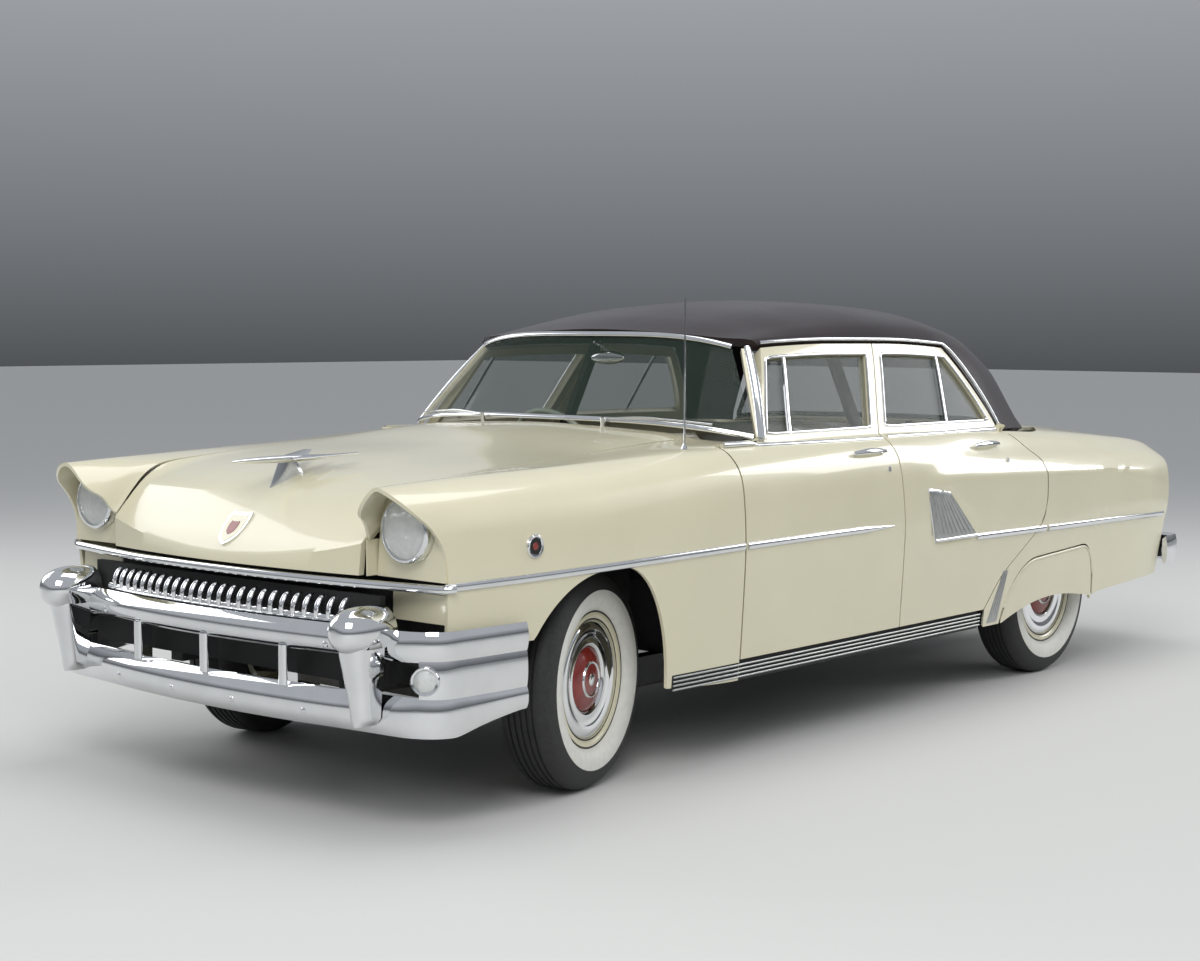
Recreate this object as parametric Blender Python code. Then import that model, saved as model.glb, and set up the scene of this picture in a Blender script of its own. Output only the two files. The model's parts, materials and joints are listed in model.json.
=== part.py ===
"""A 1950s four-door sedan as an assembly of separate panels, running gear and cabin pieces.

Metres, +Z up, the front of the car toward -Y and its left side at +X.
The origin is on the ground, midway between the ends and the sides of the car.
"""
import math

import bmesh
import bpy
from mathutils import Matrix, Vector

# Overall sizes
LENGTH = 5.24
WIDTH = 1.94
BELT_HEIGHT = 1.09
ROOF_HEIGHT = 1.60
WHEELBASE = 3.023
FRONT_OVERHANG = 0.99
FRONT_TRACK = 1.4764
REAR_TRACK = 1.499

# Clearances
FIT = 0.0003
SEAM = 0.007
OVERRUN = 0.02

# Sheet and wall thicknesses
SKIN = 0.012
LID_SKIN = 0.024
DOOR_WALL = 0.075
FRAME_WALL = 0.036
EDGE_LIP = 0.028
ROOF_WALL = 0.030
GLASS = 0.006
FLOOR_SHEET = 0.020

# Body lines, heights above the ground
SILL_TOP = 0.352
SILL_BOTTOM = 0.285
DOOR_BOTTOM = 0.360
WINDOW_SILL = 1.112
RAIL_DROP = 0.026
GLASS_MARGIN = 0.020
FRAME_WIDTH = 0.050

# Headlamps and the chrome lip under the hood
LAMP_X = 0.763
LAMP_Y = 2.379
LAMP_Z = 0.896
LAMP_RADIUS = 0.100
LAMP_RIM_DEPTH = 0.022
LENS_RADIUS = 0.086
LENS_CROWN = 0.022
BUCKET_RADIUS = 0.078
LIP_HEIGHT = 0.730
LIP_THICKNESS = 0.026
LIP_DEPTH = 0.030
LIP_TOP = LIP_HEIGHT + LIP_THICKNESS / 2

# Places of the cuts between panels, along the car
HOOD_NOSE = 2.460
NOSE_RAKE = 0.004
NOSE_SHARE = 0.988
HOOD_SIDE_SETBACK = 0.058
HOOD_REAR = 0.985
HOOD_SEAM_WIDTH = 0.655
HOOD_SEAM_FRONT = 0.606
FRONT_DOOR_CUT = 0.972
PILLAR_FOOT = 0.735
PILLAR_HEAD = 0.555
CENTRE_CUT = 0.030
CENTRE_CUT_HEAD = 0.160
DECK_FRONT = 1.640
DECK_SEAM_WIDTH = 0.640
TAIL_END = 2.445

# Wheels and tyres
TYRE_RADIUS = 0.357
TYRE_WIDTH = 0.195
RIM_RADIUS = 0.193
RIM_WIDTH = 0.133
FLANGE_RADIUS = 0.208
FLANGE_WIDTH = 0.008
CAP_RADIUS = 0.195
CAP_CROWN = 0.075
WALL_SEGMENTS = 32
WHEEL_SEGMENTS = 16
KINGPIN_OFFSET = 0.130
KINGPIN_Y = -1.6435
STEER_REST = math.radians(14.6)

# Front wheel openings
ARCH_TOP = 0.735
ARCH_REACH_FRONT = 0.440
ARCH_REACH_REAR = 0.272

# Rear wheel openings and their skirts
SKIRT_FRONT = 0.600
SKIRT_REAR = 0.215
SKIRT_TOP = 0.548
SKIRT_BOTTOM = 0.325
SKIRT_LIFT = 0.040

# Hinge lines
FRONT_HINGE = (0.967, -0.972, 0.700)
REAR_HINGE = (0.970, 0.036, 0.700)
HOOD_HINGE = (0, -0.985, 1.146)
TRUNK_HINGE = (0, 1.647, 1.076)

HALF_LENGTH = LENGTH / 2
HALF_WIDTH = WIDTH / 2
FRONT_AXLE = -HALF_LENGTH + FRONT_OVERHANG
REAR_AXLE = FRONT_AXLE + WHEELBASE
HUB_HEIGHT = TYRE_RADIUS

# Body sections as shares: y of half the length, x of half the width, z of the belt height.
# Columns: y, centre z, then x and z of the lid edge, the lamp pod's inner wall, the fender crest,
# the shoulder, the upper side, the widest line and the sill.
SECTION_SHARES = (
    (-0.960, 0.640, 0.632, 0.650, 0.668, 0.820, 0.789, 0.943, 0.895, 0.880, 0.918, 0.800, 0.920, 0.706, 0.880, 0.400),
    (-0.916, 0.780, 0.632, 0.790, 0.674, 0.885, 0.789, 0.948, 0.905, 0.886, 0.930, 0.808, 0.936, 0.706, 0.897, 0.385),
    (-0.859, 0.890, 0.628, 0.892, 0.684, 0.932, 0.794, 0.953, 0.915, 0.892, 0.946, 0.817, 0.950, 0.706, 0.912, 0.367),
    (-0.763, 0.948, 0.610, 0.945, 0.691, 0.952, 0.804, 0.960, 0.928, 0.896, 0.961, 0.822, 0.969, 0.702, 0.933, 0.340),
    (-0.573, 0.995, 0.577, 0.986, 0.711, 0.981, 0.825, 0.974, 0.943, 0.905, 0.974, 0.826, 0.987, 0.693, 0.950, 0.295),
    (-0.370, 1.046, 0.557, 1.028, 0.711, 1.005, 0.870, 0.990, 0.959, 0.920, 0.987, 0.826, 0.997, 0.683, 0.961, 0.264),
    (0.000, 1.050, 0.557, 1.032, 0.722, 1.010, 0.885, 0.997, 0.967, 0.927, 0.993, 0.826, 1.000, 0.679, 0.964, 0.264),
    (0.230, 1.040, 0.557, 1.028, 0.722, 1.006, 0.880, 0.990, 0.940, 0.920, 0.985, 0.850, 1.000, 0.679, 0.964, 0.264),
    (0.530, 1.000, 0.557, 0.990, 0.722, 0.975, 0.835, 0.958, 0.902, 0.904, 0.972, 0.838, 0.997, 0.670, 0.964, 0.264),
    (0.763, 0.945, 0.557, 0.940, 0.710, 0.930, 0.810, 0.922, 0.882, 0.885, 0.958, 0.818, 0.985, 0.652, 0.954, 0.290),
    (0.901, 0.885, 0.557, 0.884, 0.705, 0.882, 0.800, 0.886, 0.866, 0.858, 0.938, 0.798, 0.968, 0.640, 0.938, 0.335),
    (0.927, 0.840, 0.557, 0.840, 0.705, 0.842, 0.798, 0.862, 0.862, 0.838, 0.930, 0.786, 0.962, 0.635, 0.932, 0.350),
    (0.939, 0.740, 0.557, 0.742, 0.700, 0.746, 0.794, 0.820, 0.858, 0.810, 0.926, 0.770, 0.958, 0.630, 0.930, 0.350),
    (0.946, 0.560, 0.557, 0.562, 0.700, 0.566, 0.790, 0.700, 0.854, 0.700, 0.922, 0.680, 0.954, 0.600, 0.928, 0.350),
)

# Greenhouse sections as shares: y of half the length, x of half the width, z of the roof height.
# Columns: y, centre z, then x and z of the crown, the shoulder, the drip rail and the belt.
ROOF_SHARES = (
    (-0.260, 0.922, 0.371, 0.912, 0.598, 0.899, 0.680, 0.896, 0.886, 0.681),
    (-0.172, 0.959, 0.371, 0.948, 0.600, 0.924, 0.702, 0.906, 0.892, 0.681),
    (-0.057, 0.988, 0.371, 0.976, 0.606, 0.944, 0.712, 0.911, 0.896, 0.680),
    (0.095, 1.000, 0.371, 0.989, 0.608, 0.953, 0.716, 0.910, 0.896, 0.678),
    (0.248, 0.991, 0.371, 0.980, 0.606, 0.944, 0.712, 0.900, 0.888, 0.675),
    (0.363, 0.956, 0.371, 0.945, 0.600, 0.915, 0.696, 0.872, 0.861, 0.671),
    (0.420, 0.922, 0.371, 0.910, 0.590, 0.880, 0.676, 0.841, 0.835, 0.669),
    (0.466, 0.885, 0.371, 0.873, 0.580, 0.845, 0.660, 0.812, 0.809, 0.666),
)

# Rear edge of the rear door, from its foot to the belt: y and z shares of the wheelbase and belt height.
REAR_DOOR_EDGE_SHARES = (
    (0.218, 0.330),
    (0.262, 0.450),
    (0.300, 0.515),
    (0.345, 0.590),
    (0.370, 0.660),
    (0.377, 0.740),
    (0.374, 0.850),
    (0.350, 0.930),
    (0.304, 1.000),
)


def clear_scene():
    for old in list(bpy.data.objects):
        bpy.data.objects.remove(old, do_unlink=True)


def paint(name, colour, roughness, metallic=0.0, alpha=1.0):
    material = bpy.data.materials.new(name)
    material.use_nodes = True
    shader = material.node_tree.nodes["Principled BSDF"]
    shader.inputs["Base Color"].default_value = (*colour, 1.0)
    shader.inputs["Roughness"].default_value = roughness
    shader.inputs["Metallic"].default_value = metallic
    shader.inputs["Alpha"].default_value = alpha
    return material


def finish(name, mesh, material, pivot=(0, 0, 0)):
    """Make the named object of one closed mesh, with its origin at the pivot it turns about."""
    work = bmesh.new()
    work.from_mesh(mesh)
    if work.calc_volume(signed=True) < 0:
        bmesh.ops.reverse_faces(work, faces=work.faces[:])
    work.to_mesh(mesh)
    work.free()
    mesh.transform(Matrix.Translation(-Vector(pivot)))
    mesh.materials.clear()
    mesh.materials.append(material)
    mesh.shade_smooth()
    mesh.set_sharp_from_angle(angle=math.radians(35))
    item = bpy.data.objects.new(name, mesh)
    item.location = pivot
    bpy.context.collection.objects.link(item)


def mesh_of(points, faces, name="mesh"):
    mesh = bpy.data.meshes.new(name)
    mesh.from_pydata([tuple(point) for point in points], [], faces)
    mesh.update()
    work = bmesh.new()
    work.from_mesh(mesh)
    if work.calc_volume(signed=True) < 0:
        bmesh.ops.reverse_faces(work, faces=work.faces[:])
    work.to_mesh(mesh)
    work.free()
    return mesh


def joined(meshes, operation="UNION", name="joined"):
    """Boolean of closed meshes: the first one with each of the others in turn."""
    base = bpy.data.objects.new(name, meshes[0])
    bpy.context.collection.objects.link(base)
    tools = []
    for mesh in meshes[1:]:
        tool = bpy.data.objects.new(name + "_tool", mesh)
        bpy.context.collection.objects.link(tool)
        tools.append(tool)
        cut = base.modifiers.new("cut", "BOOLEAN")
        cut.operation = operation
        cut.solver = "EXACT"
        cut.object = tool
    graph = bpy.context.evaluated_depsgraph_get()
    result = bpy.data.meshes.new_from_object(base.evaluated_get(graph))
    for item in [base] + tools:
        bpy.data.objects.remove(item, do_unlink=True)
    return result


def slopes(knots, values):
    """Slopes of a smooth curve that doesn't overshoot its points."""
    count = len(knots)
    steps = [knots[k + 1] - knots[k] for k in range(count - 1)]
    rises = [(values[k + 1] - values[k]) / steps[k] for k in range(count - 1)]
    result = [rises[0]]
    for k in range(1, count - 1):
        if rises[k - 1] * rises[k] <= 0:
            result.append(0.0)
            continue
        before = 2 * steps[k] + steps[k - 1]
        after = steps[k] + 2 * steps[k - 1]
        result.append((before + after) / (before / rises[k - 1] + after / rises[k]))
    result.append(rises[-1])
    return result


def smooth_value(knots, values, tangents, place):
    place = min(max(place, knots[0]), knots[-1])
    k = 0
    while k < len(knots) - 2 and place > knots[k + 1]:
        k += 1
    step = knots[k + 1] - knots[k]
    t = (place - knots[k]) / step
    a = 2 * t ** 3 - 3 * t ** 2 + 1
    b = t ** 3 - 2 * t ** 2 + t
    c = -2 * t ** 3 + 3 * t ** 2
    d = t ** 3 - t ** 2
    return a * values[k] + b * step * tangents[k] + c * values[k + 1] + d * step * tangents[k + 1]


class Sections:
    """A skin read from a table of sections: place(y, s) with s counted along the section's points."""

    def __init__(self, table, length, width, height):
        self.stations = [row[0] * length for row in table]
        columns = [(0.0,) * len(table)] + [[row[k] for row in table] for k in range(1, len(table[0]))]
        self.columns = []
        for k, column in enumerate(columns):
            scale = height if k % 2 else width
            values = [value * scale for value in column]
            self.columns.append((values, slopes(self.stations, values)))
        self.count = len(columns) // 2
        self.cache = {}

    def section(self, y):
        key = round(y, 7)
        if key not in self.cache:
            values = [smooth_value(self.stations, v, t, y) for v, t in self.columns]
            xs = values[0::2]
            zs = values[1::2]
            knots = list(range(self.count))
            x_slopes = slopes(knots, xs)
            z_slopes = slopes(knots, zs)
            z_slopes[0] = 0.0
            self.cache[key] = (knots, xs, x_slopes, zs, z_slopes)
        return self.cache[key]

    def place(self, y, s):
        knots, xs, x_slopes, zs, z_slopes = self.section(y)
        return Vector((smooth_value(knots, xs, x_slopes, s), y, smooth_value(knots, zs, z_slopes, s)))

    def s_at(self, y, value, axis, low, high):
        """The s between low and high where the section reaches an x (axis 0) or a z (axis 2)."""
        rising = self.place(y, high)[axis] > self.place(y, low)[axis]
        for _ in range(30):
            middle = (low + high) / 2
            if (self.place(y, middle)[axis] < value) == rising:
                low = middle
            else:
                high = middle
        return (low + high) / 2


BODY = Sections(SECTION_SHARES, HALF_LENGTH, HALF_WIDTH, BELT_HEIGHT)
TOP = Sections(ROOF_SHARES, HALF_LENGTH, HALF_WIDTH, ROOF_HEIGHT)
CREST = 3
WIDEST = 6
SILL = 7
DRIP = 3
BELT = 4


def lerp(a, b, t):
    return a + (b - a) * t


def spread(knots, counts):
    """Values that run through the knots, with counts[k] equal steps from knot k to the next."""
    result = []
    for k, count in enumerate(counts):
        result.extend(lerp(knots[k], knots[k + 1], step / count) for step in range(count))
    return result + [knots[-1]]


def coons(low, high, left, right, columns, rows):
    """Fill four edges, each a function of a share, with a grid of flat places."""
    grid = []
    for i in range(columns + 1):
        u = i / columns
        line = []
        for j in range(rows + 1):
            v = j / rows
            ruled = low(u) * (1 - v) + high(u) * v + left(v) * (1 - u) + right(v) * u
            corners = (low(0) * (1 - u) + low(1) * u) * (1 - v) + (high(0) * (1 - u) + high(1) * u) * v
            line.append(ruled - corners)
        grid.append(line)
    return grid


def normals(grid):
    """Unit normals at the points of a grid."""
    result = []
    for i, line in enumerate(grid):
        row = []
        for j in range(len(line)):
            across = grid[min(i + 1, len(grid) - 1)][j] - grid[max(i - 1, 0)][j]
            up = line[min(j + 1, len(line) - 1)] - line[max(j - 1, 0)]
            row.append(across.cross(up).normalized())
        result.append(row)
    return result


def shell(outer, inner, keep=None):
    """Closed mesh between two grids, of the cells that keep(i, j) names."""
    columns = len(outer) - 1
    rows = len(outer[0]) - 1
    cells = {(i, j) for i in range(columns) for j in range(rows) if keep is None or keep(i, j)}
    index = {}
    points = []

    def vertex(i, j, layer):
        key = (i, j, layer)
        if key not in index:
            index[key] = len(points)
            points.append((inner if layer else outer)[i][j])
        return index[key]

    faces = []
    for i, j in sorted(cells):
        ring = ((i, j), (i + 1, j), (i + 1, j + 1), (i, j + 1))
        faces.append([vertex(*corner, 0) for corner in ring])
        faces.append([vertex(*corner, 1) for corner in reversed(ring)])
        sides = (((i, j - 1), 0, 1), ((i + 1, j), 1, 2), ((i, j + 1), 2, 3), ((i - 1, j), 3, 0))
        for neighbour, a, b in sides:
            if neighbour not in cells:
                first, second = ring[a], ring[b]
                faces.append([vertex(*second, 0), vertex(*first, 0), vertex(*first, 1), vertex(*second, 1)])
    return mesh_of(points, faces)


def thickened(grid, depth, toward, inset=None):
    """The grid moved by depth along its normals to the side of toward; inset pulls its rim in."""
    facing = normals(grid)
    middle = grid[len(grid) // 2][len(grid[0]) // 2]
    sign = 1 if facing[len(grid) // 2][len(grid[0]) // 2].dot(toward - middle) > 0 else -1
    result = []
    for i, line in enumerate(grid):
        row = []
        for j, point in enumerate(line):
            amount = depth(i, j) if callable(depth) else depth
            row.append(point + facing[i][j] * amount * sign)
        result.append(row)
    if inset:
        result = pulled_in(result, inset)
    return result


def pulled_in(grid, inset):
    """Move the rim of a grid toward its middle, by inset at most half of a cell's width."""
    last_i = len(grid) - 1
    last_j = len(grid[0]) - 1
    result = [[point.copy() for point in line] for line in grid]
    for i in range(last_i + 1):
        for j in range(last_j + 1):
            near_i = 1 if i == 0 else last_i - 1 if i == last_i else i
            near_j = 1 if j == 0 else last_j - 1 if j == last_j else j
            for target in (grid[near_i][j], grid[i][near_j]):
                step = target - grid[i][j]
                if step.length > 0:
                    result[i][j] += step.normalized() * min(inset, step.length * 0.6)
    return result


def underside(inner, i, j, half):
    """A place on an inner face, lowered to clear the face all round it within half of a width."""
    point = inner[i][j].copy()
    lowest = point.z
    for a in (-1, 0, 1):
        for b in (-1, 0, 1):
            run = inner[i + a][j + b] - inner[i][j]
            flat = math.hypot(run.x, run.y)
            if flat > 0:
                lowest = min(lowest, point.z + 1.5 * half * run.z / flat)
    point.z = lowest - 2 * FIT
    return point


def mirrored(grid):
    return [[Vector((-point.x, point.y, point.z)) for point in line] for line in grid]


def sided(grid, side):
    return grid if side > 0 else mirrored(grid)


def sided_mesh(mesh, side):
    """The mesh itself for the left side of the car, or its mirror image for the right."""
    if side < 0:
        mesh.transform(Matrix.Diagonal((-1, 1, 1, 1)))
        mesh.flip_normals()
    return mesh


def prism(outline, start, end, axis):
    """Extrude a flat outline from start to end along axis 0, 1 or 2."""
    points = []
    for level in (start, end):
        for a, b in outline:
            place = [a, b]
            place.insert(axis, level)
            points.append(Vector(place))
    count = len(outline)
    faces = [list(range(count)), list(range(2 * count - 1, count - 1, -1))]
    for k in range(count):
        following = (k + 1) % count
        faces.append([following, k, k + count, following + count])
    return mesh_of(points, faces)


def block(low, high):
    outline = ((low[0], low[1]), (high[0], low[1]), (high[0], high[1]), (low[0], high[1]))
    return prism(outline, low[2], high[2], 2)


def sheet(line, thickness, half_width, low_x=None):
    """Extrude a bent sheet, whose side line is a list of (y, z), across the car."""
    offsets = []
    for k, point in enumerate(line):
        before = Vector(line[max(k - 1, 0)])
        after = Vector(line[min(k + 1, len(line) - 1)])
        run = (after - before).normalized()
        offsets.append(Vector(point) + Vector((-run.y, run.x)) * thickness)
    outline = [tuple(point) for point in line] + [tuple(point) for point in reversed(offsets)]
    return prism(outline, -half_width if low_x is None else low_x, half_width, 0)


def turned(profile, segments, matrix):
    """Turn a line of (radius, place along the axis) about the local X axis."""
    points = []
    rings = []
    for radius, place in profile:
        if radius == 0:
            rings.append([len(points)])
            points.append(matrix @ Vector((place, 0, 0)))
            continue
        rings.append(list(range(len(points), len(points) + segments)))
        for k in range(segments):
            angle = math.tau * k / segments
            points.append(matrix @ Vector((place, radius * math.cos(angle), radius * math.sin(angle))))
    faces = []
    pairs = list(zip(rings, rings[1:]))
    if len(rings[0]) > 1:
        pairs.append((rings[-1], rings[0]))
    for first, second in pairs:
        for k in range(segments):
            following = (k + 1) % segments
            ring = [first[k % len(first)], first[following % len(first)]]
            ring += [second[following % len(second)], second[k % len(second)]]
            faces.append(list(dict.fromkeys(ring)))
    return mesh_of(points, [face for face in faces if len(face) > 2])


def swept(path, profile):
    """Carry a profile of (out, up) along a level path; profile may be a function of the step."""
    count = len(path)
    points = []
    for k, place in enumerate(path):
        run = (path[min(k + 1, count - 1)] - path[max(k - 1, 0)]).normalized()
        out = Vector((run.y, -run.x, 0)).normalized()
        shape = profile(k / (count - 1)) if callable(profile) else profile
        points.extend(place + out * a + Vector((0, 0, b)) for a, b in shape)
    size = len(points) // count
    faces = [list(range(size)), list(range(len(points) - 1, len(points) - size - 1, -1))]
    for k in range(count - 1):
        for j in range(size):
            following = (j + 1) % size
            base = k * size
            faces.append([base + following, base + j, base + j + size, base + following + size])
    return mesh_of(points, faces)


def rod(start, end, radius, segments=10):
    """A straight round bar between two places."""
    start, end = Vector(start), Vector(end)
    run = end - start
    matrix = Matrix.Translation(start) @ run.to_track_quat("X", "Z").to_matrix().to_4x4()
    return turned([(0, 0), (radius, 0), (radius, run.length), (0, run.length)], segments, matrix)


def beam(start, end, width, height):
    """A straight bar of rectangular section between two places."""
    start, end = Vector(start), Vector(end)
    run = end - start
    matrix = Matrix.Translation(start) @ run.to_track_quat("X", "Z").to_matrix().to_4x4()
    corners = [(-width / 2, -height / 2), (width / 2, -height / 2), (width / 2, height / 2), (-width / 2, height / 2)]
    points = [matrix @ Vector((place, a, b)) for place in (0, run.length) for a, b in corners]
    faces = [[0, 1, 2, 3], [7, 6, 5, 4]]
    faces += [[(k + 1) % 4, k, k + 4, (k + 1) % 4 + 4] for k in range(4)]
    return mesh_of(points, faces)


# Skin helpers
def skin_point(y, s):
    return BODY.place(y, s)


def side_s(y, z):
    return BODY.s_at(y, z, 2, CREST, SILL)


def top_s(y, x):
    return BODY.s_at(y, x, 0, 0, CREST)


def side_point(y, z):
    """The skin of the car's side at a height: body below the belt, greenhouse above."""
    belt = BODY.place(y, CREST).z
    if z <= belt:
        return BODY.place(y, side_s(y, z))
    s = TOP.s_at(y, z, 2, DRIP, BELT)
    point = TOP.place(y, s)
    foot = BODY.place(y, CREST)
    point.x += (foot.x - TOP.place(y, BELT).x) * max(0.0, s - DRIP)
    return point


def rail_height(y):
    return TOP.place(y, DRIP).z - RAIL_DROP


def hood_front(x):
    """The hood's front edge bows forward in the middle."""
    share = abs(x) / HOOD_SEAM_WIDTH
    return -HOOD_NOSE + HOOD_SIDE_SETBACK * share ** 2


def hood_seam(y):
    """Half width of the hood: narrower between the lamps."""
    share = min(1.0, max(0.0, (y + HOOD_NOSE) / (HOOD_NOSE - HOOD_REAR) * 4))
    return lerp(HOOD_SEAM_FRONT, HOOD_SEAM_WIDTH, share * share * (3 - 2 * share))


def hood_faces():
    columns = 12
    rows = spread((0.0, 0.06, 0.22, 1.0), (2, 2, 5))
    grid = []
    for i in range(columns + 1):
        share = 2 * i / columns - 1
        line = []
        for v in rows:
            y = lerp(hood_front(abs(share) * HOOD_SEAM_FRONT), -HOOD_REAR, v)
            x = abs(share) * hood_seam(y)
            point = skin_point(y, top_s(y, x) if x > 0 else 0)
            point.x = math.copysign(point.x, share)
            line.append(point)
        nose = Vector((NOSE_SHARE * line[0].x, line[0].y - NOSE_RAKE, LIP_TOP + 1.5 * SEAM))
        grid.append([nose] + line)
    return grid, thickened(grid, LID_SKIN, Vector((0, FRONT_AXLE, 0)))


def build_hood(mats):
    finish("hood", shell(*hood_faces()), mats["paint"], HOOD_HINGE)


# Front edge of a fender from the hood seam over the lamp to the bumper:
# Columns: section place as a share from the seam to the sill, and y as a share of half the length.
FENDER_FRONT_SHARES = (
    (0.00, -0.915),
    (0.10, -0.925),
    (0.25, -0.950),
    (0.38, -0.952),
    (0.52, -0.938),
    (0.66, -0.915),
    (0.78, -0.902),
    (1.00, -0.893),
)


def arch_height(y):
    """The front wheel opening, round over the wheel and steeper behind it."""
    reach = ARCH_REACH_FRONT if y < FRONT_AXLE else ARCH_REACH_REAR
    share = min(1.0, abs(y - FRONT_AXLE) / reach)
    return lerp(SILL_BOTTOM, ARCH_TOP, (1 - share ** 2.4) ** 0.55)


CHIN_INNER = 0.668
CHIN_OUTER = 0.889
CHIN_LOW = 0.624
CHIN_Y = 2.338


def build_fender(side, mats):
    name = "fender_left" if side > 0 else "fender_right"
    rear = -FRONT_DOOR_CUT - SEAM
    knots = [row[0] for row in FENDER_FRONT_SHARES]
    values = [row[1] * HALF_LENGTH for row in FENDER_FRONT_SHARES]
    tangents = slopes(knots, values)
    low_y = spread((FENDER_FRONT_SHARES[-1][1] * HALF_LENGTH, FRONT_AXLE - ARCH_REACH_FRONT,
                    FRONT_AXLE, FRONT_AXLE + ARCH_REACH_REAR, rear), (2, 6, 5, 2))
    columns = len(low_y) - 1

    def foot(y):
        inside = FRONT_AXLE - ARCH_REACH_FRONT < y < FRONT_AXLE + ARCH_REACH_REAR
        height = arch_height(y) if inside else SILL_BOTTOM
        if y <= FRONT_AXLE - ARCH_REACH_FRONT:
            height = 0.50 * BELT_HEIGHT
        return max(height, 0.50 * BELT_HEIGHT) if y < FRONT_AXLE else height

    def low(u):
        y = low_y[round(u * columns)]
        return Vector((y, side_s(y, foot(y))))

    def high(u):
        y = lerp(values[0], rear, u)
        return Vector((y, top_s(y, hood_seam(y) + SEAM)))

    def left(v):
        start, end = high(0), low(0)
        return Vector((smooth_value(knots, values, tangents, 1 - v), lerp(end.y, start.y, v)))

    def right(v):
        return Vector((rear, lerp(low(1).y, high(1).y, v)))

    flat = coons(low, high, left, right, columns, 9)
    grid = [[skin_point(place.x, place.y) for place in line] for line in flat]
    inner = thickened(grid, SKIN, Vector((0, FRONT_AXLE, HUB_HEIGHT)))
    wing = shell(grid, inner)
    front = -LAMP_Y + LAMP_RIM_DEPTH + FIT
    outline = [(HOOD_SEAM_FRONT + 2 * SEAM, LIP_TOP + SEAM)]
    start = top_s(front, hood_seam(front) + 2 * SEAM)
    end = side_s(front, LIP_TOP + SEAM)
    middle = Vector((LAMP_X, LAMP_Z))
    for k in range(15):
        place = skin_point(front, lerp(start, end, k / 14))
        flat = Vector((place.x, place.z))
        outline.append(tuple(flat + (middle - flat).normalized() * SKIN / 2))
    outline = [outline[0]] + [point for point in outline[1:] if point[1] > LIP_TOP + SEAM + FIT] + [(outline[-1][0], LIP_TOP + SEAM)]
    flat_plate = prism([(x, z) for x, z in outline], front, front + SKIN, 1)
    hole = rod((LAMP_X, front - OVERRUN, LAMP_Z), (LAMP_X, front + SKIN + OVERRUN, LAMP_Z), BUCKET_RADIUS + SEAM, 20)
    flat_plate = joined([flat_plate, hole], "DIFFERENCE")
    chin_top = LIP_HEIGHT - LIP_THICKNESS / 2 - SEAM
    chin = prism([(CHIN_INNER, CHIN_LOW), (CHIN_OUTER, CHIN_LOW), (CHIN_OUTER, chin_top), (CHIN_INNER, chin_top)],
                 -CHIN_Y, -CHIN_Y + SKIN, 1)
    finish(name, sided_mesh(joined([wing, flat_plate, chin]), side), mats["paint"])


PANE_SHARE = 0.33
PANE_GAP = 0.001
GLASS_LOW_SHARE = 0.09
GLASS_HIGH_SHARE = 0.88
WALL_ROW_SHARES = (0.0, 0.18, 0.36, 0.52, 0.66, 0.79, 0.88, 0.95, 0.99)


def door_rows(bottom):
    """Heights of a door's rows below the belt."""
    return [lerp(bottom, BELT_HEIGHT, share) for share in WALL_ROW_SHARES]


def door_mesh(edges, columns):
    """A door from its edges: a function of height that gives front, window and rear places along y."""
    lower = door_rows(DOOR_BOTTOM)
    upper_shares = (0.0, GLASS_LOW_SHARE, 0.5, GLASS_HIGH_SHARE, 1.0)
    grid = []
    steps = sum(columns)
    for i in range(steps + 1):
        line = []
        for z in lower:
            y = spread(edges(z), columns)[i]
            line.append(side_point(y, min(z, BODY.place(y, CREST).z - FIT)))
        for share in upper_shares:
            nominal = lerp(WINDOW_SILL - GLASS_MARGIN, rail_height(0), share)
            y = spread(edges(nominal), columns)[i]
            z = lerp(WINDOW_SILL - GLASS_MARGIN, rail_height(y), share)
            line.append(side_point(y, z))
        grid.append(line)
    belt_row = len(lower)
    top_row = belt_row + len(upper_shares) - 1
    first = columns[0]
    second = first + columns[1]
    third = second + columns[2]

    def keep(i, j):
        if j < belt_row:
            return True
        if i < first:
            return False
        return not hole(i, j)

    def depth(i, j):
        return DOOR_WALL if j < belt_row - 2 else FRAME_WALL

    def hole(i, j):
        return second <= i < third and belt_row < j < top_row - 1

    inner = thickened(grid, depth, Vector((0, grid[steps // 2][0].y, BELT_HEIGHT)))
    return grid, inner, keep, hole


def clear_rim(grid, inner, keep, hole, lip):
    """Pull the inner layer in from the free edges of the kept cells, but not round the window hole."""
    columns = len(grid) - 1
    rows = len(grid[0]) - 1
    kept = {(i, j) for i in range(columns) for j in range(rows) if keep(i, j)}
    result = [[point.copy() for point in line] for line in inner]
    for i in range(columns + 1):
        for j in range(rows + 1):
            beside = ((i - 1, j - 1), (i, j - 1), (i - 1, j), (i, j))
            around = [cell in kept or hole(*cell) for cell in beside]
            if all(around) or not any(around):
                continue
            left_free = not (around[0] or around[2])
            right_free = not (around[1] or around[3])
            low_free = not (around[0] or around[1])
            high_free = not (around[2] or around[3])
            if sum(around) == 3:
                continue
            for free, target in ((left_free, (i + 1, j)), (right_free, (i - 1, j)),
                                 (low_free, (i, j + 1)), (high_free, (i, j - 1))):
                if free and 0 <= target[0] <= columns and 0 <= target[1] <= rows:
                    step = inner[target[0]][target[1]] - inner[i][j]
                    if step.length > 0:
                        result[i][j] += step.normalized() * min(lip, 0.45 * step.length)
    return result


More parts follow.
